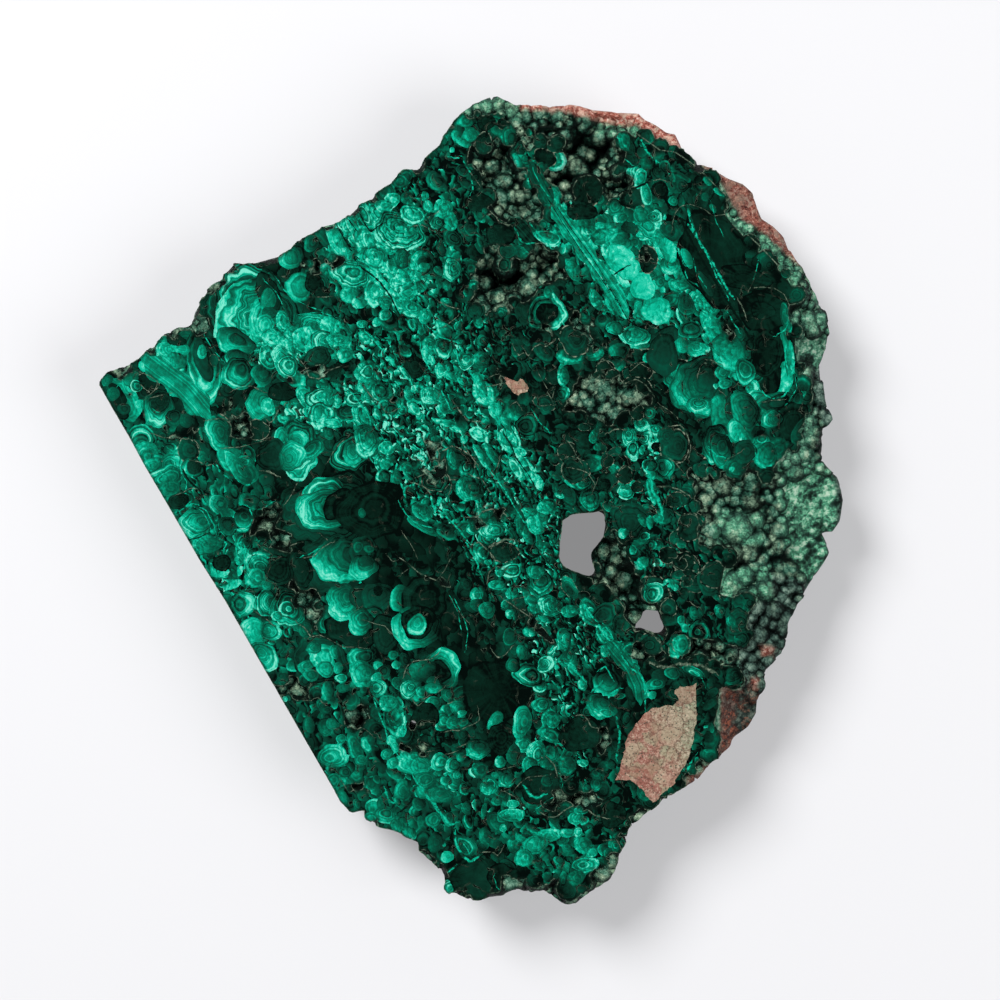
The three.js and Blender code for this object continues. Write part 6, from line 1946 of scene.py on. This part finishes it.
def nodule_group():
    """The tone of one cut nodule: rings round its middle, bright on one side partly from painted sheen,
    dark at its edge.
    """
    g = bpy.data.node_groups.new("cut_nodule", "ShaderNodeTree")
    for name, kind in NODULE_INPUTS.items():
        g.interface.new_socket(name, in_out="INPUT", socket_type=kind)
    g.interface.new_socket("Tone", in_out="OUTPUT", socket_type="NodeSocketFloat")
    n = Nodes(g)
    given = n.new("NodeGroupInput").outputs
    place, seed, base, rings, contrast, glow, warp = (given[name] for name in NODULE_INPUTS)
    # the rings close round a point on the dark side and spread towards the bright side
    power = n.vec("LENGTH", glow)
    focus = n.scaled(glow, n.math("DIVIDE", -0.72, n.add(power, 0.22)))
    d = n.vec("SUBTRACT", place, focus)
    dd, fd, ff = n.dot(d, d), n.dot(d, focus), n.dot(focus, focus)
    root = n.math("SQRT", n.add(n.mul(fd, fd), n.mul(dd, n.sub(1.0, ff))))
    r = n.math("DIVIDE", dd, n.add(n.sub(root, fd), 0.001))
    ring = n.add(r, n.mul(warp, 0.3))
    broad, _ = n.noise(n.add(n.mul(ring, n.mul(rings, 1.2)), n.mul(seed, 53.0)), 1.0, 1.0, 0.5, "1D")
    lines, _ = n.noise(n.add(n.mul(ring, n.mul(rings, 3.2)), n.mul(seed, 97.0)), 1.0, 2.0, 0.6, "1D")
    ringed = n.add(n.about(broad, 1.5), n.step(lines, 0.4, 0.56, -0.24, 0.1))
    ringed = n.mul(ringed, contrast, n.step(r, 0.05, 0.45, 0.2, 1.0),
                   n.step(base, 0.05, 0.35, 0.4, 1.0))
    way = n.vec("ADD", n.scaled(n.vec("NORMALIZE", d), 2.6),
                n.scaled((1.0, 1.0, 1.0), n.mul(seed, 31.0)))
    ray, _ = n.noise(way, 1.0, 3.0, 0.6)
    ray = n.about(ray, n.step(r, 0.1, 0.8, 0.05, 0.4))
    # partly painted sheen: brighter towards the glow's way and darker away from it, up to its strength
    side = n.math("MINIMUM", n.mul(n.dot(place, glow), 1.45), power)
    side = n.math("MAXIMUM", side, n.mul(power, -1.0))
    edge = n.mul(n.step(r, 0.88, 1.0, 0.0, 0.2), n.step(warp, -0.12, 0.1, 0.2, 1.0))
    n.put(n.new("NodeGroupOutput").inputs[0], n.sub(n.add(base, ringed, ray, side), edge))
    return g


NODULE = nodule_group()


def grains(n, p, scale, tone, spread, dims):
    """Small cut nodules of one size, each with a painted highlight on one side and painted shade
    towards its rim, with dark clefts between them.
    """
    c = n.cells(p, scale, dims=dims)
    place = n.scaled(n.vec("SUBTRACT", p, c["Position"]), scale * 1.5)
    _, strength, own = n.split(c["Color"])
    way = n.vec("MULTIPLY", n.vec("SUBTRACT", c["Color"], (0.75, 0.75, 0.5)), (0.9, 0.9, 0.0))
    # painted light: each nodule brighter along its own way, and darker towards its rim below
    t = n.add(tone, n.about(own, spread), n.dot(place, way))
    t = n.add(t, n.step(n.vec("LENGTH", place), 0.1, 0.9, 0.08, -0.12))
    wall = n.cells(p, scale, "DISTANCE_TO_EDGE", dims)["Distance"]
    return n.sub(t, n.mul(n.step(wall, 0.0, 0.12, 0.3, 0.0), n.step(strength, 0.3, 0.6)))


class GreenStone:
    """The tones and colours of the green stone, from the mesh's values and shared noises."""

    def __init__(self, n, p, dims):
        self.n, self.p, self.dims = n, p, dims
        self.ground, self.grain, self.edge = n.attribute("ground")
        self.u, self.v, self.kind = n.attribute("cell")
        self.across, _, self.line = n.attribute("line")
        self.broad, broad_way = n.noise(p, 0.4, 1.0, 0.5, dims)
        self.middle, middle_way = n.noise(p, 1.3, 2.0, 0.5, dims)
        _, small_way = n.noise(p, 3.2, 2.0, 0.6, dims)
        self.torn, _ = n.noise(p, 0.9, 2.0, 0.6, dims)
        self.warp = n.sub(self.broad, 0.5)
        bent = n.shifted(p, broad_way, 2.4)
        self.seam_place = n.shifted(bent, middle_way, 0.5)
        bent = n.shifted(n.shifted(bent, middle_way, 0.6), small_way, 0.25)
        # everything is drawn out along the growth direction
        self.bent = n.join(n.mul(n.dot(bent, ALONG_GROWTH), 0.6), n.dot(bent, ACROSS_GROWTH),
                           n.dot(bent, UP))
        self.fine, _ = n.noise(self.bent, 2.0, 4.0, 0.68, dims)
        # distance from the middle of a drawn line, in its own uneven widths
        self.beside = n.math("ABSOLUTE", self.across)
        self.wide = n.add(self.beside, n.about(self.middle, 1.6))
        self.pale = n.ramp(n.add(n.mul(self.fine, 0.6), n.mul(self.middle, 0.4)), PALE_CRUST)

    def between_lobes(self):
        """Tone of the ground from coarse to fine nodules, and the fine ones alone."""
        n, tone, grain = self.n, self.ground, self.grain
        coarse, medium, fine = (grains(n, self.bent, scale, tone, spread, self.dims)
                                for scale, spread in ((0.5, 0.5), (0.95, 0.75), (1.6, 0.95)))
        dots, _, _ = n.split(n.cells(self.bent, 2.9, dims=self.dims)["Color"])
        fineness = n.add(grain, n.mul(self.warp, 0.9))
        t = n.mix(n.step(fineness, 0.15, 0.3), coarse, medium)
        t = n.mix(n.step(fineness, 0.5, 0.65), t, fine)
        t = n.add(t, n.about(dots, n.step(fineness, 0.3, 0.8, 0.05, 0.5)))
        calm = n.mul(n.step(tone, 0.06, 0.3, 0.25, 1.0), n.step(grain, 0.1, 0.5, 0.5, 1.0))
        return n.add(tone, n.mul(n.sub(t, tone), calm)), fine

    def in_lobes(self, fine):
        """Tone inside the cut lobes, nodules and bands, and 1 where there is one."""
        n = self.n
        tone, rings, contrast = n.attribute("look")
        gx, gy, seed = n.attribute("glow")
        is_band = n.is_kind(self.kind, BAND)
        node = n.new("ShaderNodeGroup")
        node.node_tree = NODULE
        # a band has stripes instead of rings
        place = n.join(self.u, n.mix(is_band, self.v, 0.0))
        given = (place, seed, tone, rings, contrast, n.join(gx, gy), self.warp)
        for name, value in zip(NODULE_INPUTS, given):
            n.put(node.inputs[name], value)
        # finer grain shows through the brighter lobes
        coarse = n.mul(n.step(self.grain, 0.2, 0.6, 0.3, 1.0), n.sub(1.0, n.mul(is_band, 0.55)))
        rich = n.mul(n.step(tone, 0.2, 0.6, 0.05, 0.26), coarse)
        t = n.add(node.outputs[0], n.mul(n.sub(fine, self.ground), rich))
        t = n.add(t, n.about(self.middle, n.mul(n.step(tone, 0.1, 0.5, 0.1, 0.5), coarse)))
        return t, n.step(contrast, 0.0, 0.02)

    def tone(self):
        """Tone of the stone with its bright lines and black cracks."""
        n = self.n
        ground, fine = self.between_lobes()
        cut, is_cut = self.in_lobes(fine)
        t = n.mix(is_cut, ground, cut)
        grainy = n.mul(n.step(t, 0.05, 0.5, 0.08, 0.5), n.step(self.grain, 0.1, 0.5, 0.6, 1.0))
        t = n.add(t, n.about(self.fine, grainy))
        on_line = n.step(self.wide, 0.25, 0.95, 1.0, 0.0)
        green = n.mul(on_line, n.is_kind(self.line, GREEN_LINE),
                      n.step(self.torn, 0.38, 0.5, 0.3, 1.0))
        t = n.mix(green, t, n.add(0.86, n.about(self.fine, 0.7)))
        t = n.mix(n.mul(on_line, n.is_kind(self.line, CRACK)), t, 0.02)
        # the very brightest stone is held back a little
        return n.math("MINIMUM", t, n.add(n.mul(n.sub(t, 0.9), 0.6), 0.9))

    def seams(self, t, col):
        """Open seams: a black gap of painted shade with a torn pale crust beside it."""
        n = self.n
        gap = n.cells(self.seam_place, 0.24, "DISTANCE_TO_EDGE", self.dims)["Distance"]
        here = n.mul(n.step(self.broad, 0.53, 0.6), n.step(t, 0.35, 0.6, 1.0, 0.0),
                     n.step(self.ground, 0.05, 0.13))
        col = n.tint(n.mul(here, n.step(gap, 0.035, 0.048, 0.3, 0.0)), col, self.pale)
        # the open gap itself is painted black as shade
        return n.tint(n.mul(here, n.step(gap, 0.018, 0.032, 1.0, 0.0)), col, (2, 4, 3))

    def pale_lines(self, col, polished):
        """Pale crust round some nodules, along drawn lines and beside the cavities, with painted shade
        along the drawn lines.
        """
        n = self.n
        drawn = n.is_kind(self.line, PALE_LINE)
        # painted shade along each drawn pale line, as in a crevice
        col = n.tint(n.mul(n.step(self.beside, 1.0, 3.2, 0.3, 0.0), drawn), col, (6, 16, 12))
        r = n.vec("LENGTH", n.join(self.u, self.v))
        ring = n.mul(n.is_kind(self.kind, OUTLINED), n.step(r, 0.9, 0.98),
                     n.step(self.middle, 0.44, 0.56, 0.0, 0.8))
        col = n.tint(ring, col, self.pale)
        if polished:
            # a dark band beside every cavity and a broken pale line along its edge
            edge = n.add(self.edge, n.about(self.fine, 0.5))
            col = n.tint(n.step(edge, 0.2, 0.7, 0.6, 0.0), col, (10, 24, 18))
            crust = n.mul(n.step(edge, 0.02, 0.2, 0.9, 0.0), n.step(self.torn, 0.44, 0.58, 0.0, 0.9))
            col = n.tint(crust, col, self.pale)
        thin = n.mul(n.step(self.wide, 0.1, 0.7, 1.0, 0.0), drawn,
                     n.step(self.torn, 0.4, 0.52, 0.1, 0.85))
        return n.tint(thin, col, self.pale)

    def saw_marks(self):
        n = self.n
        place = n.join(n.mul(n.dot(self.p, ACROSS_SAW), 3.0), n.mul(n.dot(self.p, ALONG_SAW), 0.05),
                       n.mul(n.dot(self.p, UP), 0.05))
        return n.noise(place, 1.0, 2.0, 0.5)[0]


def green_stone(name, polished):
    """Malachite cut by the polished face, or dusty and faintly marked by a saw."""
    m, n, shader, p = material(name)
    stone = GreenStone(n, p, "2D" if polished else "3D")
    t = stone.tone()
    col = stone.pale_lines(stone.seams(t, n.ramp(t, GREENS)), polished)
    height, _ = n.noise(p, 1.6, 1.0, 0.5, stone.dims)
    if polished:
        finish(n, shader, col, n.step(stone.fine, 0.3, 0.75, 0.08, 0.16), 0.3, height, 0.04, 0.0002)
    else:
        saw = stone.saw_marks()
        col = n.tint(n.step(saw, 0.3, 0.7, 0.12, 0.3), col, (62, 132, 108))
        height = n.add(height, n.mul(saw, 0.8))
        finish(n, shader, col, n.step(stone.fine, 0.3, 0.75, 0.4, 0.7), 0.12, height, 0.3, 0.0002)
    return m


# The natural surface
GREY_GREEN = [(0.0, (5, 12, 9)), (0.12, (24, 38, 30)), (0.28, (56, 76, 62)),
              (0.46, (86, 110, 91)), (0.68, (130, 152, 126)), (0.95, (186, 198, 176))]
DULL_GREEN = [(0.0, (4, 14, 11)), (0.14, (15, 42, 33)), (0.32, (34, 72, 58)),
              (0.5, (62, 104, 86)), (0.72, (108, 144, 124))]
MINT = [(0.05, (16, 36, 29)), (0.25, (40, 72, 60)), (0.42, (56, 104, 82)),
        (0.56, (72, 142, 110)), (0.68, (112, 162, 134)), (0.85, (164, 190, 168))]
SLATE = [(0.0, (6, 11, 10)), (0.16, (24, 38, 34)), (0.34, (48, 68, 61)),
         (0.55, (76, 98, 88)), (0.8, (112, 132, 120))]
RED_ROCK = [(0.22, (50, 26, 22)), (0.36, (112, 58, 48)), (0.48, (148, 84, 72)),
            (0.58, (164, 108, 94)), (0.68, (188, 152, 138)), (0.82, (218, 206, 196))]
RUST = [(0.2, (16, 15, 15)), (0.4, (40, 32, 30)), (0.54, (86, 46, 35)), (0.7, (132, 70, 50)),
        (0.9, (170, 112, 90))]
CHARRED = [(0.2, (12, 14, 14)), (0.5, (38, 40, 38)), (0.7, (66, 64, 58)), (0.9, (104, 98, 88))]
RISING = (0.77, 0.64, 0.0)
FALLING = (-0.64, 0.77, 0.0)


class Crust:
    """The colours of the natural surface, from the mesh's values and shared noises."""

    def __init__(self, n, p):
        self.n, self.p = n, p
        self.red, self.rust, self.mint = n.attribute("patch")
        u, v, wall = n.attribute("cell")
        _, _, self.own = n.attribute("glow")
        self.big, self.big_way = n.noise(p, 0.3, 3.0, 0.6)
        self.mid, self.mid_way = n.noise(p, 1.2, 3.0, 0.65)
        self.tiny, _ = n.noise(p, 2.7, 3.0, 0.8)
        bent = n.shifted(p, self.mid_way, 0.5)
        self.pits = n.cells(bent, 2.2)["Distance"]
        lump = n.cells(bent, 0.95)
        self.lumps = lump["Distance"]
        self.hue = n.split(lump["Color"])
        self.on_wall = n.step(wall, 0.4, 0.6)
        self.knob = n.cells(n.shifted(p, self.mid_way, 1.2, (0, 0, 0)), 0.38)["Distance"]
        # distance from the middle of the nodule, one at its edge
        r = n.math("SQRT", n.add(n.mul(u, u), n.mul(v, v)))
        self.r = n.add(r, n.about(self.mid, 0.3))

    def light(self):
        """Painted light and shade: pale grainy tops, dark clefts and pits, small lumps pale on top
        everywhere and knobs pale on top on the walls.
        """
        n = self.n
        tone_with_painted_light = n.add(n.step(self.r, 0.2, 1.0, 0.46, -0.06), n.about(self.mid, 0.45),
                    n.about(self.tiny, 1.1), n.about(self.own, 0.22), n.about(self.hue[0], 0.16),
                    n.step(self.lumps, 0.1, 0.8, 0.1, -0.16), n.step(self.pits, 0.05, 0.4, -0.12, 0.08))
        # on the walls: painted light on each knob's top and painted shade round it, over a broad mottle
        knobs = n.add(n.step(self.knob, 0.1, 0.75, 0.22, -0.2), n.about(self.big, 0.7))
        return n.add(tone_with_painted_light, n.mul(self.on_wall, knobs))

    def streaks(self, tone_with_painted_light):
        """Tone of the mint and slate stone, with streaks that rise to the right, painted light on the
        nodules and lumps and painted shade in the pits.
        """
        n = self.n
        drift = n.shifted(self.p, self.big_way, 2.2, (0, 0, 0))
        place = n.join(n.mul(n.dot(drift, RISING), 0.45), n.mul(n.dot(drift, FALLING), 1.3))
        streak, _ = n.noise(place, 0.6, 3.0, 0.6)
        facets, _, _ = n.split(n.cells(place, 0.55)["Color"])
        cool = n.add(n.about(streak, 1.2), n.about(self.mid, 1.0), n.about(facets, 0.34),
                     n.about(self.tiny, 0.8), n.step(self.lumps, 0.1, 0.8, 0.08, -0.14),
                     n.step(self.pits, 0.05, 0.4, -0.1, 0.04), n.about(self.big, 1.3), 0.46)
        return n.mix(self.between_nodules(), n.add(n.mul(tone_with_painted_light, 0.9), 0.1), cool)

    def between_nodules(self):
        return self.n.step(self.r, 0.95, 1.05)

    def green(self):
        """Grey and dull green crust with patches of mint and slate."""
        n = self.n
        tone_with_painted_light = self.light()
        dull = n.step(n.add(self.big, n.about(self.hue[1], 0.2)), 0.42, 0.6)
        col = n.tint(dull, n.ramp(tone_with_painted_light, GREY_GREEN), n.ramp(tone_with_painted_light, DULL_GREEN))
        cool = self.streaks(tone_with_painted_light)
        mint = n.mul(self.mint, n.step(self.big, 0.35, 0.5, 0.3, 1.0))
        col = n.tint(mint, col, n.ramp(cool, MINT))
        bluish = n.mix(self.between_nodules(), tone_with_painted_light, n.sub(cool, 0.12))
        slate = n.ramp(n.add(bluish, n.about(self.mid, 0.4)), SLATE)
        return n.tint(n.mul(self.rust, n.step(self.big, 0.3, 0.5, 0.6, 1.0)), col, slate)

    def grit(self, middling, small, stops):
        """A ramp over grit made of this much middling and small noise."""
        n = self.n
        return n.ramp(n.add(n.about(self.mid, middling), n.about(self.tiny, small), 0.5), stops)

    def rock(self):
        """Red host rock with cream and grey patches, and rust."""
        n = self.n
        rusty, char = self.grit(1.3, 0.9, RUST), self.grit(1.2, 1.0, CHARRED)
        rusty = n.tint(n.step(n.add(self.hue[2], n.sub(self.mid, 0.5)), 0.5, 0.65), rusty, char)
        fleck = n.add(n.mul(self.mid, 0.5), n.mul(self.hue[1], 0.5))
        col = self.grit(1.0, 1.2, RED_ROCK)
        col = n.tint(n.step(fleck, 0.55, 0.68, 0.0, 0.6), col, (192, 166, 148))
        col = n.tint(n.step(self.big, 0.54, 0.6, 0.0, 0.6), col, (142, 124, 108))
        return n.tint(n.mul(self.rust, n.step(self.big, 0.2, 0.45)), col, rusty)


def crust(name):
    """The natural surface in the cavities and on the rim, with painted shade that darkens it the deeper
    it lies.
    """
    m, n, shader, p = material(name)
    stone = Crust(n, p)
    col = n.tint(stone.red, stone.green(), stone.rock())
    # painted shade: the lower the crust lies under the face, the darker, and only a quarter as much on
    # the walls
    high = n.step(n.split(p)[2], THICK - 7.5, THICK - 1.2)
    shade = n.mul(n.step(high, 0.0, 1.0, 0.75, 0.0), n.mix(stone.on_wall, 1.0, 0.25))
    col = n.tint(shade, col, (4, 8, 6))
    height = n.sub(n.add(n.mul(stone.mid, 0.5), n.mul(stone.tiny, 0.35)), n.mul(stone.lumps, 0.45))
    height = n.sub(height, n.mul(stone.on_wall, n.mul(stone.knob, 1.6)))
    finish(n, shader, col, n.step(stone.mid, 0.3, 0.7, 0.5, 0.8), 0.18, height, 0.8, 0.0007)
    return m


# Pink on the left, greyish green on the right.
HOST_ROCK = [(0.24, (130, 84, 74)), (0.4, (142, 106, 92)), (0.54, (134, 122, 102)),
             (0.7, (120, 124, 102)), (0.85, (122, 132, 110))]


def host_rock(name):
    """Host rock cut by the polished face: mottled, cracked and speckled."""
    m, n, shader, p = material(name)
    big, _ = n.noise(p, 0.3, 3.0, 0.6)
    mid, _ = n.noise(p, 1.4, 4.0, 0.7)
    grain, _ = n.noise(p, 2.6, 3.0, 0.8)
    x, y, _ = n.split(p)
    rightward = n.step(n.add(x, n.mul(y, 0.4)), 10.0, 26.0, 0.0, 0.5)
    shade = n.add(n.mul(mid, 0.5), n.mul(grain, 0.5))
    torn = n.shifted(p, n.noise(p, 0.9, 2.0, 0.6)[1], 1.6, (0, 0, 0))
    hue = n.split(n.cells(torn, 0.36)["Color"])
    crack = n.cells(torn, 0.36, "DISTANCE_TO_EDGE")["Distance"]
    speck, dot = n.cells(p, 1.7)["Distance"], n.cells(p, 3.1)["Distance"]
    col = n.ramp(n.add(rightward, n.mul(big, 0.5)), HOST_ROCK)
    # each layer: what it follows, where it starts and ends, its strength there, its colour
    for value, low, high, a, b, over in (
            (shade, 0.4, 0.5, 0.85, 0.0, (102, 62, 52)), (shade, 0.5, 0.6, 0.0, 0.65, (184, 164, 146)),
            (big, 0.5, 0.6, 0.0, 0.5, (136, 138, 112)), (grain, 0.36, 0.44, 0.7, 0.0, (70, 54, 46)),
            (hue[0], 0.2, 0.5, 0.45, 0.0, (128, 88, 74)), (hue[1], 0.6, 0.9, 0.0, 0.3, (168, 146, 126)),
            (crack, 0.01, 0.06, 0.6, 0.0, (84, 58, 50)), (speck, 0.12, 0.32, 0.85, 0.0, (44, 56, 46)),
            (dot, 0.1, 0.3, 0.35, 0.0, (70, 70, 58))):
        col = n.tint(n.step(value, low, high, a, b), col, over)
    finish(n, shader, col, n.step(mid, 0.3, 0.7, 0.3, 0.55), 0.5, mid, 0.3, 0.0002)
    return m


# in the order of the mesh's material numbers
for look in (green_stone("polished_malachite", True), crust("natural_crust"),
             green_stone("sawn_side", False), green_stone("sawn_back", False),
             host_rock("cut_host_rock")):
    MESH.materials.append(look)

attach(SLAB, "root")
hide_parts("malachite_slab")

# Floor, light and camera, in metres
FLOOR_HALF = 3
FLOOR_PALES = (250.0, 1300.0)   # millimetres from the middle where it starts and ends to pale
FLOOR_GLOW = (0.3, 0.88)        # its own light there
LIGHTS = {"key": ((-0.62, 0.62, 0.85), 0.6, 22), "fill": ((0.8, -0.3, 0.7), 0.8, 9)}
LENS = 85                       # millimetres
SENSOR = 36                     # millimetres


def make_floor():
    """A plain pale floor that far from the stone grows as pale as the studio behind it."""
    corners = [(x * FLOOR_HALF, y * FLOOR_HALF, 0) for x, y in ((-1, -1), (1, -1), (1, 1), (-1, 1))]
    mesh = bpy.data.meshes.new("floor")
    mesh.from_pydata(corners, [], [(0, 1, 2, 3)])
    floor = bpy.data.objects.new("floor", mesh)
    bpy.context.scene.collection.objects.link(floor)
    m, n, shader, p = material("floor")
    shader.inputs["Base Color"].default_value = colour((176, 176, 178))
    shader.inputs["Roughness"].default_value = 0.9
    shader.inputs["Specular IOR Level"].default_value = 0.0
    shader.inputs["Emission Color"].default_value = colour((238, 238, 240))
    n.put(shader.inputs["Emission Strength"],
          n.step(n.vec("LENGTH", p), *FLOOR_PALES, *FLOOR_GLOW))
    mesh.materials.append(m)


def make_light(name, place, size, watts):
    """A round area light that points at the stone."""
    light = bpy.data.lights.new(name, "AREA")
    light.shape = "DISK"
    light.size = size
    light.energy = watts
    lamp = bpy.data.objects.new(name, light)
    lamp.location = place
    lamp.rotation_euler = Vector(place).to_track_quat("Z", "Y").to_euler()
    lamp.visible_glossy = False
    bpy.context.scene.collection.objects.link(lamp)


def make_world():
    """A soft white studio, brightest at the horizon and dark overhead, where the face mirrors it."""
    world = bpy.data.worlds.new("studio")
    world.use_nodes = True
    world.node_tree.nodes.clear()
    n = Nodes(world.node_tree)
    _, _, up = n.split(n.new("ShaderNodeTexCoord").outputs["Generated"])
    sky = n.new("ShaderNodeBackground")
    sky.inputs["Color"].default_value = (1, 1, 1, 1)
    n.put(sky.inputs["Strength"],
          n.mul(n.step(up, 0.03, 0.2, 0.9, 0.45), n.step(up, 0.45, 0.85, 1.0, 0.04)))
    n.put(n.new("ShaderNodeOutputWorld").inputs[0], sky.outputs[0])
    bpy.context.scene.world = world


def make_camera():
    """A camera straight above the middle of the picture, which shows as many pixels as the photo."""
    lens = bpy.data.cameras.new("camera")
    lens.lens = LENS
    lens.sensor_width = SENSOR
    lens.clip_start = 0.01
    camera = bpy.data.objects.new("camera", lens)
    x, y = mm((PICTURE / 2, PICTURE / 2)) * METRES
    width = PICTURE * PIXEL * METRES
    camera.location = (x, y, THICK * METRES + width * LENS / SENSOR)
    bpy.context.scene.collection.objects.link(camera)
    bpy.context.scene.camera = camera


make_floor()
for light_name, settings in LIGHTS.items():
    make_light(light_name, *settings)
make_world()
make_camera()
bpy.context.scene.view_settings.view_transform = "Standard"
